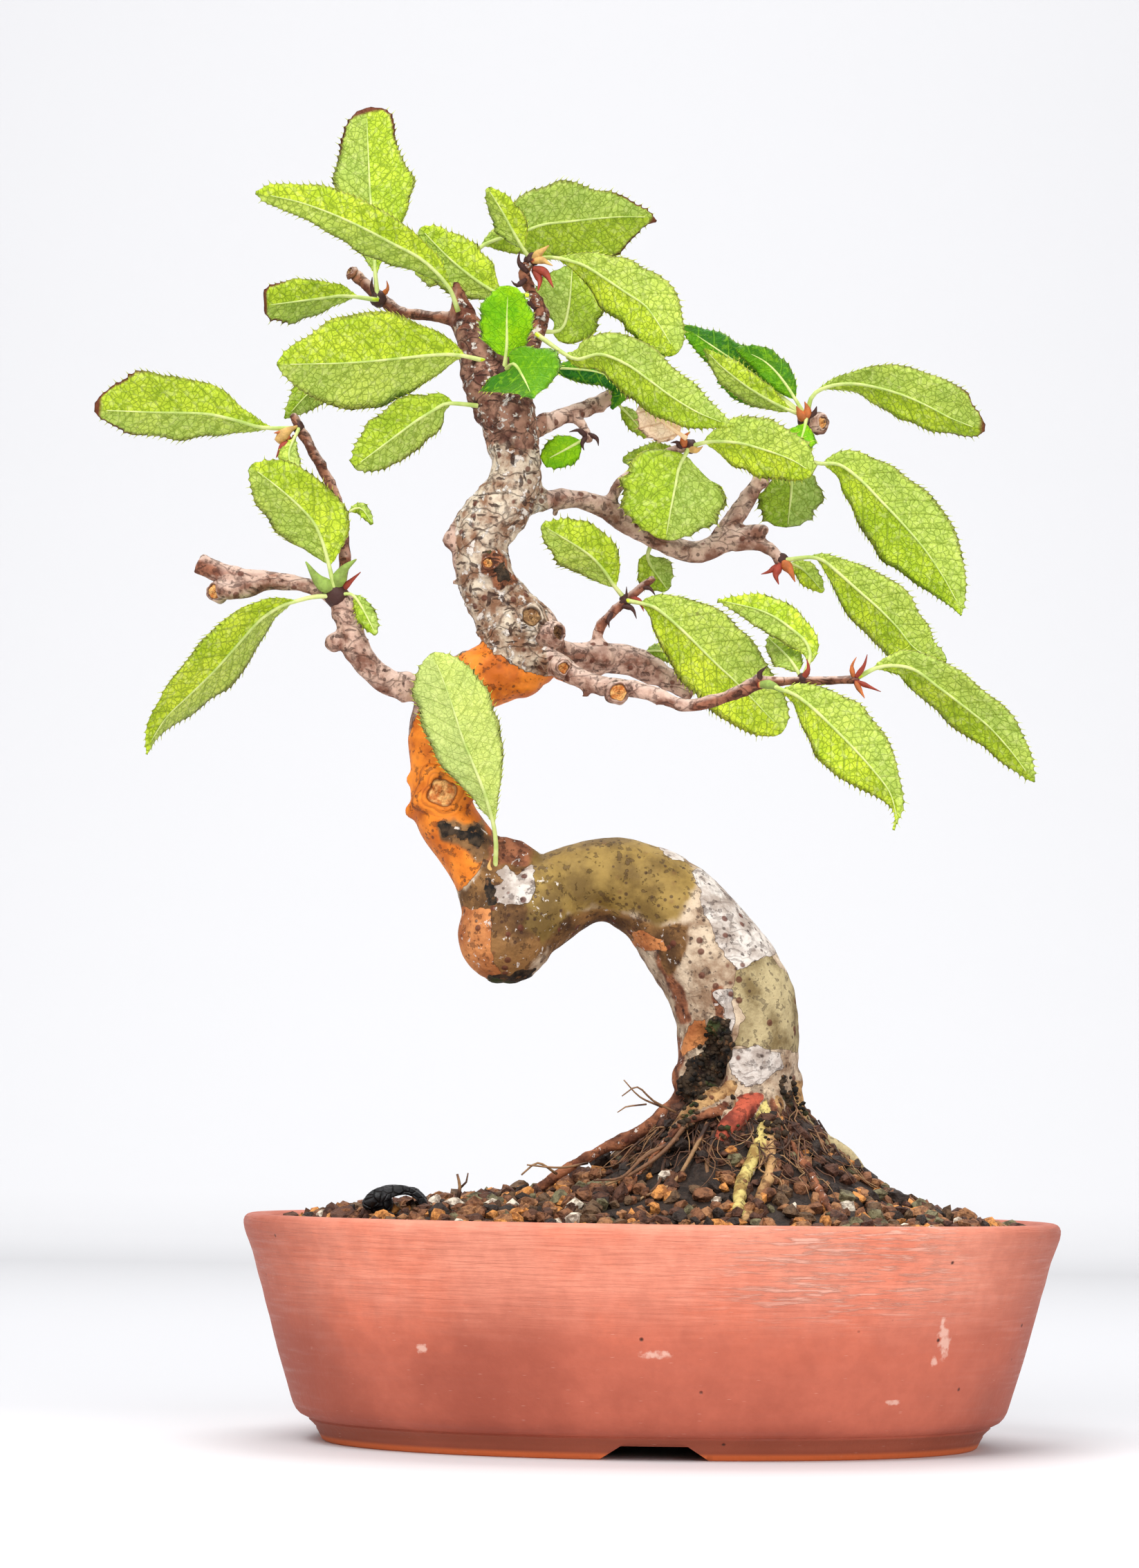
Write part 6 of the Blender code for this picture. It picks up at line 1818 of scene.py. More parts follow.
SPRAYS: dict[str, tuple[list[Leaf], Row | None]] = {
    "leaves_crown_left": ([
        Leaf([(-60.3, 254), (-60.8, 259.6), (-61.1, 267), (-61.9, 277.2), (-62.3, 285.5), (-62.8, 296.5)],
             (5.2, 14), 18.5, 25, 6.5, scorch=1.0, outline=(
                 (0, 0.4, 0.4), (0.12, 2.6, 2.4), (0.22, 5.6, 5.4), (0.35, 9.2, 9.0), (0.5, 9.8, 9.8),
                 (0.6, 9.3, 8.0), (0.7, 7.8, 7.0), (0.82, 6.8, 6.6), (0.92, 5.4, 5.8), (0.97, 3.8, 4.2),
                 (1, 2.4, 1.0))),
        Leaf([(-60.3, 254), (-67.4, 255), (-71.8, 254.6), (-85.5, 252.8)], (5.2, -3),
             8.0, 35, 5.0, scorch=1.0,
             outline=((0, 0.3, 0.3), (0.15, 1.6, 1.8), (0.4, 3.6, 3.6), (0.6, 4.2, 4.0), (0.8, 4.0, 3.8),
                      (0.93, 3.2, 3.4), (1, 1.0, 2.4)))],
        (-60.2, 254.2, 6.4, 2.4)),
    "leaf_leader_low": ([
        Leaf([(-42.6, 251.5), (-44.5, 256.7), (-48.4, 261.2), (-52.3, 264.1), (-61.1, 268.6), (-67.4, 271.9),
              (-78.7, 276), (-87.4, 277.7)], (-2, -17), 11.5, 30, 5.5, bow=-2.0, wave=0.9, outline=(
                  (0, 0.3, 0.3), (0.15, 2.8, 2.4), (0.3, 4.6, 4.2), (0.45, 5.2, 4.9), (0.6, 4.2, 4.7),
                  (0.72, 3.1, 4.1), (0.84, 2.6, 3.3), (0.94, 1.8, 2.0), (1, 0.3, 0.3)))], None),
    "leaf_crown_front": ([
        Leaf([(-27, 255), (-33.8, 255.6), (-39.6, 259.2), (-44.9, 263.6), (-51, 269.9)], (1.5, -2), 11.5, 20,
             6.0, tip=0.6)], None),
    "leaf_leader_back": ([
        Leaf([(-43.5, 260), (-36.7, 266.4), (-30.4, 268.3), (-24.9, 270.5), (-18.2, 271.4), (-10.4, 272.2),
              (-2.1, 272.5), (1.2, 271.3)], (4, 20), 17.5, 30, 10.0, scorch=1.0, shade=0.55, outline=(
                  (0, 0.4, 0.4), (0.1, 2.4, 2.4), (0.2, 5.0, 4.6), (0.32, 7.6, 6.6), (0.45, 8.4, 7.8),
                  (0.56, 7.6, 8.4), (0.7, 5.4, 8.8), (0.8, 3.8, 8.4), (0.9, 2.0, 4.4), (1, 0.3, 0.3))),
        Leaf([(-43.5, 260), (-47, 260), (-52.3, 260.6)], (4, 9), 6.0, 20, 2.0)],
        (-43.6, 260, 3, 2.2)),
    "leaves_crown_tip": ([
        Leaf([(-26.6, 262.8), (-30, 268.5), (-33, 274), (-36.1, 278.8)], (3, -4), 6.9, 30, 3.0, wave=0.9),
        Leaf([(-26.6, 262.8), (-21.5, 263.4), (-15.3, 261.9), (-10.4, 259), (-5.5, 255.7), (-0.6, 252.1),
              (5.8, 242.2)], (3, -9), 13.0, 25, 5.5, peak=0.58, tip=0.5)], (-26.5, 262.9, 3, 2.0)),
    "leaves_crown_back": ([
        Leaf([(-24.5, 247), (-19.9, 247.5), (-18.2, 252.8), (-17.4, 261.5)], (7, 14), 16.5, 15, 3.0, tip=0.6,
             shade=0.5)], None),
    "leaf_crown_right": ([
        Leaf([(-25.4, 246.5), (-17.3, 241.2), (-12.8, 241.9), (-8.9, 241.7), (-2.6, 238.1), (1.8, 234.7),
              (9.2, 229.8), (18.2, 226)], (3, -14), 11.5, 25, 8.5, tip=0.9, shade=0.45)], None),
    "leaf_crown_dark": ([
        Leaf([(-30.5, 239), (-19.3, 238.8), (-11.3, 237.8), (-6.7, 234.6), (-8.6, 229.8)], (4, 10), 6.0, -20,
             8.0, face=Face.UPPER, shade=1.0)], None),
    "leaves_trunk_top": ([
        Leaf([(-32.5, 238), (-31.8, 244), (-31.8, 250), (-31.5, 257.2)], (-6, -12), 12.4, -15, 3.5, fold=-0.1,
             base=0.5, tip=0.5, face=Face.UPPER, shade=0.0, wave=0.9),
        Leaf([(-32.1, 238.5), (-30.3, 239.8), (-28.3, 237), (-26, 232.2)], (-6.6, -23),
             18.5, 0, 2.5, fold=-0.05,
             base=0.55, tip=1.3, face=Face.UPPER, shade=0.95, wave=1.1)],
        (-32.6, 237.8, -5.8, 2.2)),
    "leaf_trunk_left_big": ([
        Leaf([(-36.5, 240.5), (-42.6, 241.9), (-48, 241.9), (-56.2, 241.1), (-66, 240.2), (-76.3, 239.9),
              (-82.7, 239.8)], (-5, -24), 19.4, 28, 5.0, peak=0.52)], None),
    "leaf_trunk_left_back": ([
        Leaf([(-38, 241.5), (-50, 241.5), (-62, 239.5), (-72.7, 235.8), (-81, 227.8)], (3, 4), 9.5, 20, 14.0,
             shade=0.4)], None),
    "leaf_trunk_left_low": ([
        Leaf([(-36, 230.4), (-44.9, 231.2), (-48.4, 229.5), (-52.3, 227.1), (-56.2, 224.2), (-65.7, 217.1)],
             (-3, -10), 11.5, 30, 8.0, tip=0.55, shade=0.4)], None),
    "leaves_right_tip": ([
        Leaf([(34.4, 228), (27.7, 231), (21.2, 234.9), (15.4, 239.5), (11.8, 243.3)], (18, 9), 6.3, 20, 4.0),
        Leaf([(34.4, 228), (24, 236.5), (14, 243.5), (6.5, 248.5)], (20, 27), 8.5, 0, 8.0, face=Face.UPPER,
             shade=0.8),
        Leaf([(34.4, 228), (29, 236.4), (24.5, 240.8), (18.9, 243.2)], (19, 21), 7.0, 0, 5.0, face=Face.UPPER,
             shade=0.7),
        Leaf([(34.4, 228), (28, 232.0), (22.6, 233.0), (14.8, 236.4)], (20, 24), 5.6, 0, 6.0, face=Face.UPPER,
             shade=0.9),
        Leaf([(34.4, 228), (33.6, 224.5), (31.9, 219.6)], (17, 11), 6.6, 0, 2.0, fold=-0.1, face=Face.UPPER,
             shade=0.05),
        Leaf([(34.4, 228), (35.5, 232.7), (38.4, 234.7), (41.9, 235.5), (47.7, 235.3), (57.5, 232.4),
              (68.6, 226.9), (73.8, 225.6)], (18, 4), 9.5, 40, 7.5, scorch=0.8, outline=(
                  (0, 0.3, 0.3), (0.15, 1.8, 1.8), (0.3, 3.8, 3.8), (0.5, 5.2, 4.6), (0.7, 5.8, 4.2),
                  (0.85, 5.4, 3.2), (0.95, 3.2, 2.0), (1, 0.8, 0.6)))], (34.4, 227.2, 18.6, 2.8)),
    "leaves_right_rise": ([
        Leaf([(30.6, 219.8), (36.7, 218), (42.8, 217.3), (47.7, 212.9), (57.5, 202.6), (62.3, 196.4),
              (67.1, 188.6), (68.5, 184.2)], (17, 3), 16.2, 25, 8.0, tip=0.9, wave=0.9, shade=0.3),
        Leaf([(30.6, 219.8), (31, 213), (30.1, 203.7)], (20, 29), 15.0, 15, 4.0, base=0.6, tip=0.42,
             shade=0.75)],
        (30.3, 219.8, 18.2, 2.7)),
    "leaves_twig_tip": ([
        Leaf([(8.5, 221.5), (6.2, 217), (5.3, 212.5), (4.4, 208.1), (3.2, 200.9)], (5, 4), 24.0, 10, 2.5,
             bow=-2.0, shade=0.4, outline=(
                 (0, 1.6, 1.6), (0.06, 5.4, 5.0), (0.15, 9.0, 8.4), (0.3, 11.6, 11.2), (0.45, 12.2, 12.0),
                 (0.6, 11.6, 11.6), (0.75, 9.6, 9.8), (0.88, 6.4, 6.8), (0.96, 3.2, 3.4), (1, 0.5, 0.5))),
        Leaf([(8.5, 221.5), (12.1, 222.6), (16, 222.8), (20.9, 222.2), (25.7, 220.7), (30.6, 219),
              (35.9, 215.8)], (5, -5), 12.0, 25, 3.5, tip=0.5),
        Leaf([(8.5, 221.5), (3, 219.6), (-6.3, 218.6)], (7, 18), 7.0, 0, 3.0, shade=0.5)],
        (8.7, 221.6, 5.6, 2.1)),
    "leaf_top_small": ([
        Leaf([(-14, 223.6), (-19.1, 220.8), (-24, 218.2)], (9.3, 5), 7.4, 0, 2.0, base=0.55, tip=0.5,
             face=Face.UPPER, shade=0.15)], None),
    "leaf_top_slender": ([
        Leaf([(-8.4, 232), (-4.7, 228.3), (-0.9, 223.6)], (18, 23), 4.0, 0, 2.5, shade=0.5)], None),
    "leaves_right_end": ([
        Leaf([(29, 196.4), (36.2, 197.2), (40, 195), (44, 191.5), (52.7, 183.7), (59.6, 175.9),
              (65.3, 174.1)], (13, -2), 12.2, 30, 6.5, peak=0.56, tip=0.6),
        Leaf([(29, 196.4), (33.5, 194.4), (38.1, 189.4)], (14, 18), 5.0, 0, 2.0, shade=0.1)],
        (29, 196.2, 13.5, 2.2)),
    "leaf_shoot_end": ([
        Leaf([(45.4, 170.4), (49.8, 172.8), (53.6, 173.4), (57.2, 173), (65.4, 167.2), (75.2, 159.4),
              (79.9, 154), (84.8, 147.4)], (-25, -21), 9.6, 38, 4.5, tip=0.7, shade=0.3)], None),
    "leaves_shoot_middle": ([
        Leaf([(25, 169.6), (29.8, 167.5), (33.8, 165.6), (43.4, 156.5), (50.7, 148.2), (54.4, 142),
              (53.6, 136.8)], (-22.5, -38), 13.0, 25, 5.0, bow=-4.0, tip=1.5, wave=0.9)], None),
    "leaves_shoot_upper": ([
        Leaf([(33.5, 170), (35.2, 175.1), (34.1, 178.6), (27.4, 183.9), (22.8, 185.8), (14.7, 187.7)],
             (-23, -15), 7.8, 10, 4.0, tip=1.0),
        Leaf([(33.5, 170), (30.6, 174.6), (25.8, 179.4)], (-22, -10), 6.6, 0, 3.0, shade=0.6)],
        (33.5, 169.9, -23.4, 1.9)),
    "leaves_stub_twig": ([
        Leaf([(-5.5, 187.6), (0.2, 186.4), (3.2, 184.3), (7.2, 180.9), (15, 173.1), (18.8, 169.6),
              (26.6, 161.5), (29, 158.4)], (8, -9), 16.8, 22, 3.5, tip=0.5, shade=0.05),
        Leaf([(-5.5, 187.6), (-8.2, 191), (-10.5, 194.4), (-14.4, 198.3), (-24.1, 204.3)], (9, -2), 11.0, 20,
             4.0, tip=0.65)], (-5.6, 187.6, 8.8, 1.8)),
    "leaf_branch_hanging": ([
        Leaf([(0.5, 201), (-0.6, 196.5), (3.7, 189.8)], (15, 20), 8.6, 0, 3.5, shade=0.5)], None),
    "leaf_stub_small": ([
        Leaf([(-4.5, 175.5), (2, 176.4), (8, 173.8)], (15, 21), 4.4, 0, 4.0, shade=0.7)], None),
    "leaf_elbow": ([
        Leaf([(-34.6, 126.5), (-34.2, 133.5), (-35, 139.4), (-35.8, 142), (-37.3, 146.7), (-42, 158.3),
              (-44.2, 165.6), (-48.3, 176)], (-8, -20),
              16.0, 15, 12.5, bow=-2.5, shade=0.0, pale=0.6, outline=(
                  (0, 0.4, 0.4), (0.12, 2.4, 2.2), (0.25, 4.6, 5.2), (0.4, 6.4, 7.4), (0.55, 7.7, 8.3),
                  (0.7, 8.0, 8.0), (0.82, 7.2, 6.8), (0.92, 5.2, 4.6), (0.98, 2.8, 2.2),
                  (1, 0.6, 0.6)))], None),
    "leaves_left_fork": ([
        Leaf([(-69.6, 188.6), (-75, 188.4), (-82.1, 186.4), (-86.2, 183.8), (-97, 171.8), (-108.6, 160.3),
              (-111.4, 153.5)], (-8, -11), 9.0, 58, 9.0, tip=1.0),
        Leaf([(-69.6, 188.6), (-71.7, 198), (-74.1, 204.3), (-77.8, 208.6), (-82.7, 212.9), (-88.5, 217.3)],
             (-8, -20), 15.5, 22, 7.0, tip=0.65, wave=1.1),
        Leaf([(-69.6, 188.6), (-65.5, 188.4), (-60.7, 180)], (-8, -11.5), 4.4, 0, 4.0, shade=0.5)],
        (-69.5, 188.7, -7, 3.5)),
    "leaves_left_shoot_tip": ([
        Leaf([(-77.8, 225.6), (-86.2, 226), (-94.7, 228.4), (-101.3, 229.1), (-110.3, 229.3), (-123, 229.8)],
             (-5, -15), 14.0, 35, 6.5, scorch=1.0, outline=(
                 (0, 0.3, 0.3), (0.15, 2.4, 2.2), (0.3, 4.4, 4.4), (0.5, 5.8, 6.8), (0.65, 5.6, 8.0),
                 (0.78, 4.6, 8.2), (0.88, 3.4, 5.6), (0.96, 1.9, 3.0), (1, 0.5, 1.2))),
        Leaf([(-77.8, 225.6), (-80, 219.6), (-77.8, 213.6)], (-6, -11), 4.6, 0, 2.5, shade=0.0, pale=0.3)],
        (-77.8, 225.8, -5, 1.8)),
    "leaf_left_shoot_curl": ([
        Leaf([(-68, 206.4), (-64.3, 208), (-61.5, 204.4)], (-5, -5), 2.6, 0, 1.5, shade=0.5)], None),
}
DEAD_LEAF = Leaf([(7.8, 223.4), (4, 226), (-2.4, 231)], (3, -1), 9.4, 0, 2.0, wave=1.2, base=0.5, tip=0.5,
                 shade=0.0)


def build_spray(name: str, leaves: Sequence[Leaf], core: Row | None, finishes: Sequence[Material]) -> bpy.types.Object:
    """Make the leaves that grow from one bud as one piece.

    Args:
        name: The CAD node that the piece stands for.
        leaves: Its leaves.
        core: Place and radius of the bud that joins them, or None.
        finishes: Under side, upper side, stalk and bud.

    Returns:
        The piece.
    """
    rng = random.Random(name)
    bm = bmesh.new()
    for leaf in leaves:
        LeafMaker(bm, leaf, rng).build()
    if core:
        u, v, depth, radius = core
        verts = lump(bm, SIGHT.point(u, v, depth), Vector((0.75, 0.75, 0.85)) * radius * MM, 3)
        for face in {face for vert in verts for face in vert.link_faces}:
            face.material_index = 3
        for vert in verts:
            vert.co += vert.normal * 0.35 * MM * noise.noise(vert.co * 900)
    return piece_from(name + "_dressed", bm, finishes, [name])


# Trim

class Hue(Enum):
    """Colours of bud scales."""

    DARK = 0.0
    RED = 0.25
    ORANGE = 0.5
    STRAW = 0.75
    LEAFY = 1.0


@dataclass(frozen=True)
class BudFinish(Finish):
    """Dry bud scales and stipules, from straw to dark red."""

    name: str = "bud_scale"
    roughness: float = 0.6
    straw: Tone = tone(226, 178, 104)
    orange: Tone = tone(206, 112, 54)
    red: Tone = tone(166, 62, 42)
    dark: Tone = tone(66, 34, 28)
    leafy: Tone = tone(150, 178, 78)

    def draw(self, board: Board) -> None:
        """Each scale's own colour, clouded and finely ridged."""
        hues = (self.dark, self.red, self.orange, self.straw, self.leafy)
        own = board.steps(board.attribute("kind"), [(hue.value, paint) for hue, paint in zip(Hue, hues)])
        cloud = board.mottle(board.plain(), 520.0, 0.35, 0.65)
        board.finish(Base_Color=board.covered(own, (self.dark, cloud, 0.35)))
        board.relief(cloud, 0.0002, 0.6)


@dataclass(frozen=True)
class Scale:
    """Horn-shaped scale or stipule: its line on the elevation, depths, width and colour."""

    points: list[Place]
    depths: Place
    width: float
    hue: Hue


SCALES: list[Scale] = [
    Scale([(-82.5, 222.6), (-80.5, 224.8), (-78.0, 226.2)], (-6.5, -6), 3.0, Hue.STRAW),
    Scale([(-79.5, 222.4), (-81.4, 221.6), (-82.8, 219.2)], (-6.5, -8), 1.8, Hue.RED),
    Scale([(-79.6, 222.8), (-81.6, 224.6), (-83.2, 224.6)], (-6, -7.5), 1.9, Hue.ORANGE),
    Scale([(-78.8, 224.0), (-79.6, 220.4), (-78.9, 217.8)], (-5.5, -7.5), 1.5, Hue.LEAFY),
    Scale([(-69.2, 189.0), (-66.4, 191.8), (-64.2, 193.8)], (-7, -9), 1.7, Hue.RED),
    Scale([(-69.5, 189.8), (-68.0, 193.0), (-68.4, 195.6)], (-7, -9), 1.6, Hue.ORANGE),
    Scale([(-69.8, 189.6), (-73.4, 192.0), (-76.2, 196.0)], (-7.5, -11), 3.6, Hue.LEAFY),
    Scale([(-69.8, 190.0), (-68.0, 194.2), (-65.2, 196.6)], (-7.5, -12), 3.4, Hue.LEAFY),
    Scale([(-25.8, 262.0), (-25.0, 264.0), (-22.6, 266.0)], (1.8, -1.5), 2.4, Hue.STRAW),
    Scale([(-26.0, 261.0), (-23.4, 260.0), (-21.6, 256.8)], (1.6, -2), 2.2, Hue.RED),
    Scale([(-26.0, 260.6), (-24.6, 258.4), (-25.0, 256.0)], (2, -1.5), 1.8, Hue.RED),
    Scale([(-26.4, 262.6), (-24.2, 262.8), (-21.8, 261.6)], (1.2, -1.8), 2.0, Hue.STRAW),
    Scale([(-27.2, 260.0), (-29.2, 262.4), (-29.0, 264.6)], (3, 1.5), 1.6, Hue.DARK),
    Scale([(-27.6, 258.6), (-29.6, 257.2), (-30.8, 258.2)], (3, 1.5), 1.5, Hue.DARK),
    Scale([(-25.6, 252.0), (-27.4, 253.6), (-28.6, 252.8)], (4.5, 3), 1.2, Hue.DARK),
    Scale([(34.0, 227.4), (33.0, 228.8), (32.2, 230.4)], (17.4, 15.6), 2.6, Hue.ORANGE),
    Scale([(34.2, 227.6), (34.6, 229.6), (34.0, 231.4)], (17.4, 16), 2.4, Hue.ORANGE),
    Scale([(34.6, 227.4), (36.0, 228.8), (36.6, 230.4)], (17.8, 16), 2.0, Hue.DARK),
    Scale([(45.0, 170.2), (47.0, 173.0), (47.8, 175.6)], (-25.2, -27), 1.3, Hue.RED),
    Scale([(45.2, 169.8), (48.0, 168.6), (50.8, 167.4)], (-25.2, -27), 1.2, Hue.RED),
    Scale([(45.0, 169.8), (46.4, 167.4), (47.2, 166.0)], (-25.4, -27.4), 1.4, Hue.ORANGE),
    Scale([(44.8, 170.4), (44.4, 173.0), (45.4, 175.0)], (-25.2, -26.6), 1.3, Hue.ORANGE),
    Scale([(33.4, 170.0), (34.8, 172.4), (34.4, 174.6)], (-24, -25.6), 1.5, Hue.RED),
    Scale([(29.0, 196.2), (30.6, 194.4), (31.8, 191.8)], (12.8, 11), 2.6, Hue.ORANGE),
    Scale([(28.8, 195.8), (27.6, 193.4), (28.2, 191.2)], (12.8, 11), 2.1, Hue.RED),
    Scale([(28.4, 195.6), (26.2, 194.0), (24.4, 193.4)], (12.8, 11.6), 1.5, Hue.RED),
    Scale([(-7.6, 186.0), (-5.6, 188.2), (-5.4, 190.6)], (8.6, 7), 1.2, Hue.DARK),
    Scale([(-6.8, 186.4), (-4.2, 185.8), (-3.2, 183.6)], (8.6, 6.8), 1.4, Hue.DARK),
    Scale([(-4.6, 188.4), (-2.6, 187.4), (-1.6, 185.2)], (8.2, 6.6), 1.4, Hue.RED),
    Scale([(-8.2, 185.2), (-9.4, 183.4), (-9.2, 181.6)], (8.8, 7.4), 1.3, Hue.DARK),
    Scale([(-2.0, 190.4), (-0.2, 190.2), (1.0, 188.6)], (8, 6.8), 1.2, Hue.DARK),
    Scale([(7.6, 221.4), (7.2, 223.4), (8.6, 224.8)], (5, 3.4), 2.0, Hue.ORANGE),
    Scale([(8.0, 221.4), (10.0, 220.8), (11.4, 221.6)], (5, 3.4), 1.9, Hue.STRAW),
    Scale([(7.0, 221.0), (5.6, 222.6), (4.4, 222.4)], (5.4, 4.2), 1.5, Hue.DARK),
    Scale([(-14.2, 223.8), (-16.0, 225.2), (-18.0, 224.8)], (9, 7.2), 1.5, Hue.DARK),
    Scale([(-14.0, 224.0), (-15.2, 222.4), (-14.8, 220.8)], (9, 7.6), 1.4, Hue.DARK),
    Scale([(-13.8, 224.4), (-12.0, 223.4), (-11.6, 221.8)], (9, 7.8), 1.3, Hue.DARK),
    Scale([(23.6, 169.0), (26.8, 168.8), (30.4, 166.6)], (-22.8, -25.4), 2.2, Hue.LEAFY),
    Scale([(24.4, 169.4), (24.0, 171.4), (25.6, 173.0)], (-22.8, -24.4), 1.4, Hue.DARK),
    Scale([(-59.4, 254.0), (-61.6, 256.4), (-61.6, 259.0)], (7, 5), 1.6, Hue.DARK),
    Scale([(-60.0, 254.6), (-58.2, 256.4), (-58.4, 258.2)], (7, 5.4), 1.4, Hue.ORANGE),
    Scale([(-34.6, 127.0), (-35.8, 128.6), (-35.4, 130.4)], (-9, -10.6), 1.3, Hue.STRAW),
    Scale([(-44.2, 262.0), (-46.0, 264.0), (-45.6, 266.4)], (2.4, 1.4), 1.4, Hue.DARK),
]


def build_scales() -> bpy.types.Object:
    """Make the bud scales and stipules."""
    bm = bmesh.new()
    kind = add_float(bm, "kind")
    swell = (0.62, 1.0, 0.5, 0.12)
    for scale in SCALES:
        ends = smooth_route([(u, v, 0.0) for u, v in scale.points], 0.9)
        rows = []
        for k, spot in enumerate(ends):
            t = k / (len(ends) - 1)
            low = min(int(t * 3), 2)
            size = between(swell[low], swell[low + 1], t * 3 - low)
            rows.append((spot.x, spot.y, between(*scale.depths, t), scale.width / 2 * size))
        before = len(bm.verts)
        limb(bm, drawn(rows), 10, 0.6 * MM, round_tip=True)
        for vert in added(bm.verts, before):
            vert[kind] = scale.hue.value
    return piece_from("bud_scales", bm, [BudFinish().build()])


ROOT_HAIRS: list[list[Row]] = [
    [(5.5, 74.4, -17, 0.3), (0.5, 77.0, -20, 0.25), (-3.0, 80.0, -22, 0.2), (-6.4, 78.0, -23, 0.14)],
    [(2.5, 75.6, -17, 0.28), (-2.4, 77.8, -20, 0.2), (-6.0, 81.6, -21, 0.14)],
    [(-1.0, 76.2, -21, 0.22), (-5.6, 75.6, -23, 0.18), (-7.4, 74.4, -24, 0.12)],
    [(-20.8, 60.8, -14, 0.32), (-25.0, 63.2, -17, 0.26), (-28.6, 60.6, -19, 0.2)],
    [(-14.0, 63.2, -12, 0.32), (-20.0, 62.2, -17, 0.26), (-27.4, 62.8, -19, 0.18)],
    [(-42.6, 55.2, -22, 0.5), (-42.2, 58.0, -22.6, 0.4), (-42.8, 60.8, -23, 0.26)],
    [(-42.4, 57.4, -22.4, 0.3), (-40.8, 59.0, -23, 0.24), (-40.4, 61.0, -23.4, 0.16)],
    [(8.8, 73.2, -17, 0.6), (3.0, 66.0, -22, 0.5), (-4.0, 61.0, -26, 0.4), (-10.0, 58.4, -30, 0.3)],
    [(12.5, 72.0, -18, 0.6), (8.4, 64.0, -24, 0.5), (4.6, 58.6, -29, 0.4), (-1.0, 56.0, -33, 0.3)],
    [(14.0, 70.0, -19, 0.7), (12.4, 63.0, -24, 0.6), (12.8, 57.0, -29, 0.5), (10.6, 53.0, -33, 0.4)],
    [(16.5, 68.0, -20, 0.5), (17.6, 61.0, -25, 0.45), (15.8, 55.4, -31, 0.36), (17.0, 51.0, -35, 0.28)],
    [(24.0, 66.0, -20, 0.5), (28.2, 60.0, -25, 0.42), (29.6, 55.0, -31, 0.34), (33.0, 51.6, -35, 0.26)],
    [(6.0, 68.6, -20, 0.45), (-1.4, 64.6, -23, 0.4), (-6.6, 60.0, -28, 0.3), (-12.6, 59.4, -31, 0.22)],
    [(3.0, 64.0, -22, 0.4), (1.6, 58.6, -28, 0.36), (-2.6, 55.0, -33, 0.28)],
]


@dataclass
class RootHairs:
    """Fine dry roots that stand out of the soil round the trunk's foot."""

    soil: Soil
    count: int = 150
    steps: int = 6
    stride: float = 3.0
    seed: int = 5

    def build(self) -> bpy.types.Object:
        """Make the drawn roots, then more of them at random round the foot."""
        rng = random.Random(self.seed)
        bm = bmesh.new()
        kind = add_float(bm, "kind")
        for rows in ROOT_HAIRS:
            self.add(bm, kind, drawn(rows), rng.uniform(0.1, 0.55))
        for _ in range(self.count):
            angle = rng.uniform(math.pi * 0.95, math.pi * 2.05)
            reach = rng.uniform(7, 24)
            x, y = self.soil.peak_x + reach * math.cos(angle), reach * math.sin(angle)
            heading = angle + rng.uniform(-0.9, 0.9)
            radius = rng.triangular(0.1, 0.36, 0.15)
            rows = []
            for step in range(self.steps):
                level = self.soil.level(x, y) + rng.uniform(-0.6, 1.8) + (0.6 if step == 0 else 0.0)
                rows.append((x * MM + SIGHT.pot_x, y * MM, level * MM, radius * (1 - step * 0.13) * MM))
                heading += rng.uniform(-1.0, 1.0)
                x += self.stride * math.cos(heading)
                y += self.stride * math.sin(heading)
            self.add(bm, kind, rows, rng.uniform(0.0, 0.6))
        finish = BudFinish(name="root_hair", dark=tone(58, 38, 28), red=tone(118, 78, 54),
                           orange=tone(170, 128, 86), straw=tone(204, 172, 124))
        return piece_from("root_hairs", bm, [finish.build()])

    @staticmethod
    def add(bm: BMesh, kind: Layer, rows: Sequence[Sequence[float]], value: float) -> None:
        """Add one root and give it its colour."""
        before = len(bm.verts)
        limb(bm, rows, 5, 1.6 * MM)
        for vert in added(bm.verts, before):
            vert[kind] = value


@dataclass(frozen=True)
class Charred(Finish):
    """Black, dry, slightly glossy bark."""

    name: str = "black_bark"
    roughness: float = 0.45
    black: Tone = tone(14, 13, 15)
    grey: Tone = tone(62, 60, 64)

    def draw(self, board: Board) -> None:
        """Nearly black, greyer where it is worn, with a cracked relief."""
        plain = board.plain()
        colour, worn = board.clouds(plain, 320.0, 0.5, 0.75, self.black, self.grey)
        board.finish(Base_Color=colour)
        board.relief(board.sums("SUBTRACT", worn, board.cells(plain, 500.0, 0.12)), 0.0004, 0.8)


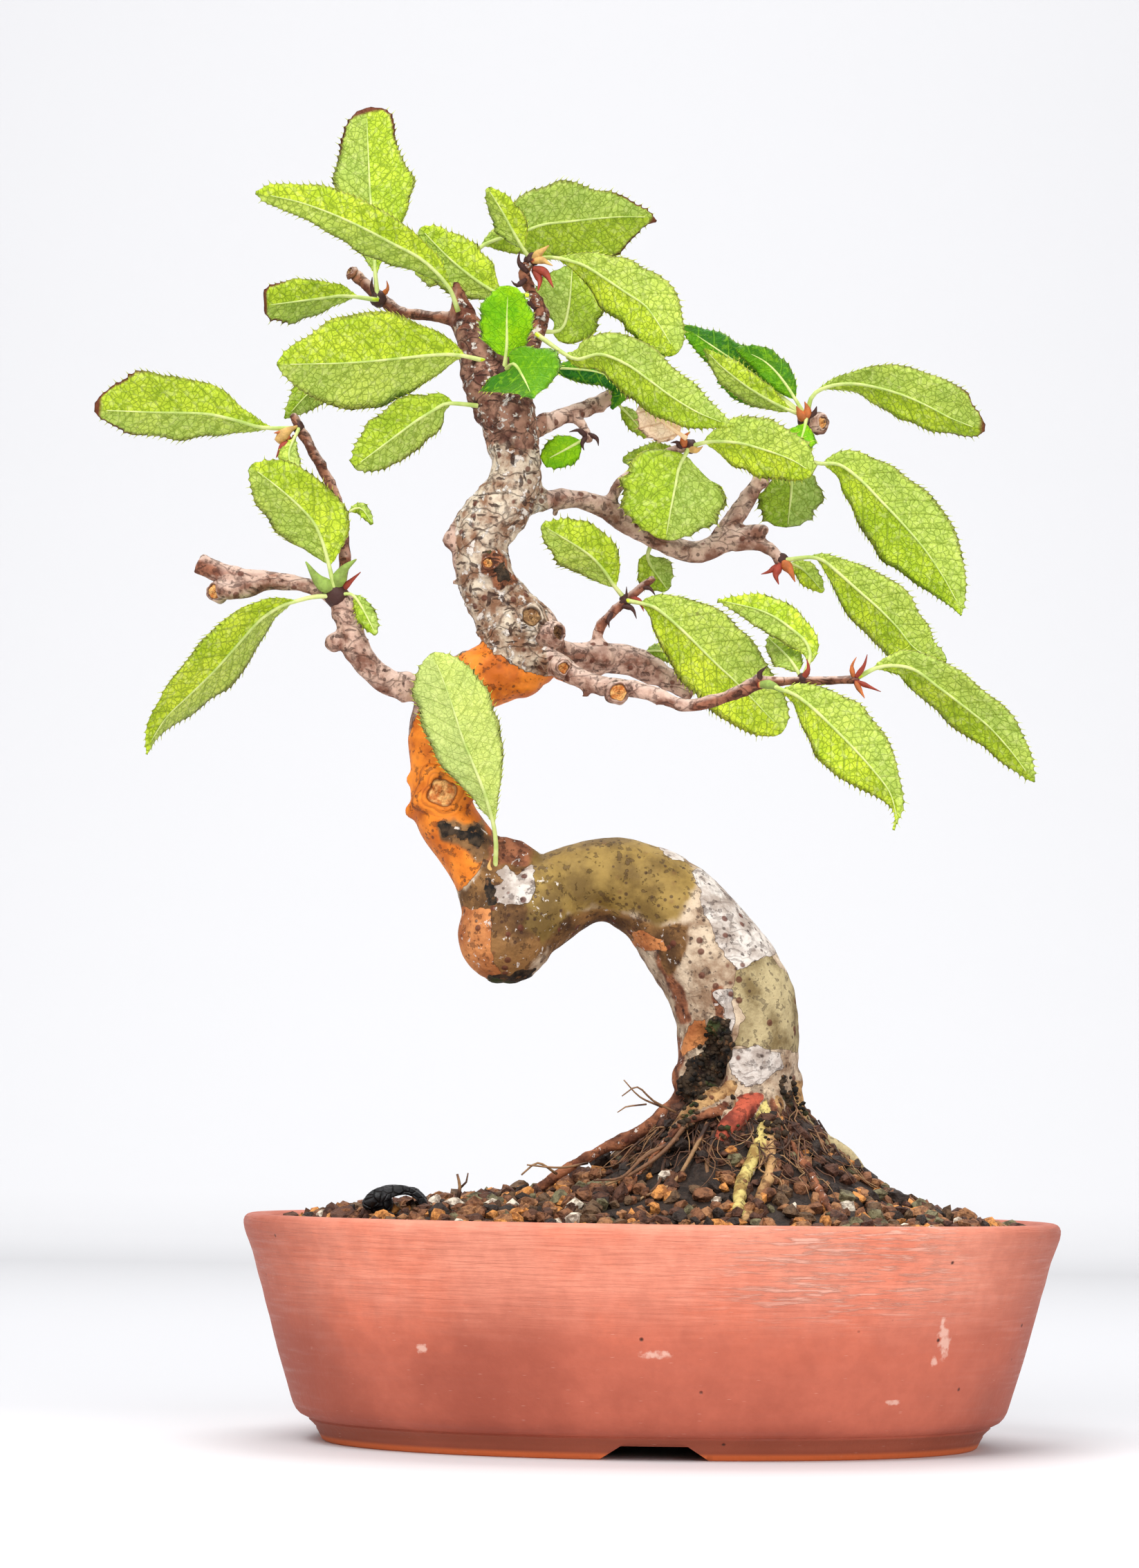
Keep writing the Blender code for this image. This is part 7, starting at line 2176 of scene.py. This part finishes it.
@dataclass
class Chip:
    """Curled chip of black bark that lies on the soil."""

    centre: tuple[float, float, float] = (-56.5, 53.6, -22)
    half_width: float = 6.0
    rise: float = 3.7
    length: float = 9.0
    thickness: float = 2.2
    sweep: float = math.radians(204)
    rings: int = 14

    def skin(self, share: float, ring: int) -> Vector:
        """Place on the chip: out over the arch and back under it."""
        middle = SIGHT.point(*self.centre) / MM
        share = share % 1.0
        outer = share < 0.5
        along = share * 2 if outer else 2 - share * 2
        angle = (math.pi - self.sweep) / 2 + self.sweep * along
        rag = noise.noise(Vector((along * 5, ring * 0.5, 3.0)))
        wall = self.thickness / 2 * (0.8 + 0.5 * rag if outer else -0.6 - 1.5 * smooth_step(along, 0.3, 0.7))
        wall *= 1 - abs(2 * along - 1) ** 10
        x = (self.half_width + wall) * math.cos(angle)
        z = (self.rise + wall) * math.sin(angle)
        t = ring / self.rings - 0.5
        y = t * self.length * (1 + 0.12 * math.sin(along * 9)) + 0.25 * x
        return (middle + Vector((x, y, z + 0.3 * rag * (1 - abs(2 * t))))) * MM

    def build(self) -> bpy.types.Object:
        """Make the chip."""
        bm = bmesh.new()
        loft(bm, 48, self.rings, self.skin)
        lump(bm, SIGHT.point(*self.centre) + Vector((-3.2, 0.6, 0.4)) * MM, Vector((2.8, 3.6, 2.8)) * MM, 3)
        return piece_from("bark_chip_dressed", bm, [Charred().build()], ["bark_chip"])


SCREEN = Clouded("screen_mesh", first=tone(26, 26, 28), second=tone(84, 70, 60), low=0.5)


def dress_screens() -> None:
    """Give the CAD drain screens their finish."""
    finish = SCREEN.build()
    for name in ("drain_screen_left", "drain_screen_right"):
        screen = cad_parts[name]
        for slot in screen.material_slots:
            slot.material = finish


def build_sprays() -> None:
    """Make every spray of leaves and the dry leaf."""
    buds = BudFinish(name="bud_core", straw=tone(196, 160, 96), red=tone(120, 62, 42)).build()
    green = [Blade().build(), UPPER_BLADE.build(), STALK.build(), buds]
    for name, (leaves, core) in SPRAYS.items():
        build_spray(name, leaves, core, green)
    dry = DRY_BLADE_WITH_PAINTED_LIGHT.build()
    build_spray("dead_leaf", [DEAD_LEAF], None, [dry, dry, dry])


# Stage, lights and camera

@dataclass(frozen=True)
class Paper(Finish):
    """Backdrop paper: white in front of the pot, with painted shade that makes it greyer beside and behind it."""

    name: str = "paper"
    roughness: float = 0.8
    specular: float = 0.5
    front: float = -0.3
    depth: float = 2.6
    # painted shade: the paper is given greyer tones behind the pot and on the far floor
    tones: tuple[tuple[float, Tone], ...] = (
        (0.07, (0.8, 0.8, 0.81, 1.0)), (0.15, (0.6, 0.6, 0.615, 1.0)), (0.55, (0.54, 0.54, 0.55, 1.0)),
        (0.68, (0.7, 0.7, 0.71, 1.0)), (0.8, (0.8, 0.8, 0.81, 1.0)))

    def draw(self, board: Board) -> None:
        """Painted shade: tones by the distance behind the front of the ramp."""
        _, back, _ = board.parts(board.plain())
        reach = {0: back, 1: self.front, 2: self.front + self.depth}
        share = board.add("ShaderNodeMapRange", reach).outputs[0]
        board.finish(Base_Color=board.steps(share, self.tones))


@dataclass
class Studio:
    """Pale sweep, soft lights and the camera: metres, but millimetres for the lens and the sensor."""

    flat: float = 1.6
    bend: float = 0.7
    paper_width: float = 7.0
    paper_step: float = 0.1
    paper_rows: int = 62
    lens: float = 92.98
    sensor: float = 36.0
    clip: Place = (0.05, 50.0)
    sky: Tone = (0.95, 0.95, 0.98, 1.0)
    sky_strength: float = 0.55
    tree: Vector = field(default_factory=lambda: Vector((0, 0, 0.13)))
    wall: Vector = field(default_factory=lambda: Vector((0, 2.1, 0.1)))

    def sweep(self, share: float, row: int) -> Vector:
        """Place on the paper, which lies flat and then bends upwards."""
        run = row * self.paper_step - self.flat
        x = (share - 0.5) * self.paper_width
        if run <= self.flat:
            return Vector((x, run, 0))
        angle = min((run - self.flat) / self.bend, math.pi / 2)
        beyond = max(run - self.flat - self.bend * math.pi / 2, 0.0)
        rise = self.bend * (1 - math.cos(angle)) + beyond
        return Vector((x, self.flat + self.bend * math.sin(angle), rise))

    def build_floor(self) -> None:
        """Pale paper that lies flat and sweeps up behind."""
        bm = bmesh.new()
        loft(bm, 8, self.paper_rows, self.sweep, closed=False, caps=False)
        for face in bm.faces:
            face.smooth = True
        mesh = mesh_of("paper_sweep", bm)
        mesh.materials.append(Paper().build())
        floor = linked("paper_sweep", mesh)

    def build_lights(self) -> None:
        """Key light above, in front and to the left, fill on the right, a light from above, one on the backdrop, and
        even surroundings.
        """
        for name, place, aim, size, power in (
                ("key", (-0.5, -0.9, 1.3), self.tree, 0.9, 18.0),
                ("fill_right", (0.7, -1.1, 0.6), self.tree, 0.9, 7.0),
                ("top", (0.1, 0.3, 1.4), self.tree, 0.8, 9.0),
                ("backdrop", (0, 0.9, 1.3), self.wall, 1.5, 12.5)):
            data = bpy.data.lights.new(name, "AREA")
            data.size = size
            data.energy = power
            made = linked(name, data)
            made.location = place
            made.rotation_euler = (aim - Vector(place)).to_track_quat("-Z", "Y").to_euler()
        world = bpy.data.worlds.new("surroundings")
        world.use_nodes = True
        Board(world.node_tree, world.node_tree.nodes["Background"]).finish(
            Color=self.sky, Strength=self.sky_strength)
        bpy.context.scene.world = world
        bpy.context.scene.view_settings.view_transform = "Standard"

    def build_camera(self) -> None:
        """Camera where the elevation's eye is."""
        data = bpy.data.cameras.new("front")
        data.lens = self.lens
        data.sensor_width = self.sensor
        data.clip_start, data.clip_end = self.clip
        made = linked("front", data)
        made.location = Vector((SIGHT.pot_x + SIGHT.eye_x * MM, -SIGHT.eye_distance * MM,
                                (SIGHT.eye_z - SIGHT.foot) * MM))
        turn = Matrix.Rotation(math.pi / 2 + SIGHT.pitch, 4, "X") @ Matrix.Rotation(SIGHT.roll, 4, "Z")
        made.rotation_euler = turn.to_euler()
        bpy.context.scene.camera = made


def main() -> None:
    """Build every piece in order."""
    logging.basicConfig(level=logging.INFO, format="%(name)s: %(message)s")
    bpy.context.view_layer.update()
    studio = Studio()
    studio.build_floor()
    studio.build_lights()
    studio.build_camera()
    pot = Pot()
    pot.build()
    soil = Soil(pot)
    soil.build()
    Wood(soil).build()
    Chip().build()
    RootHairs(soil).build()
    build_sprays()
    build_scales()
    dress_screens()


if __name__ == "__main__":
    main()
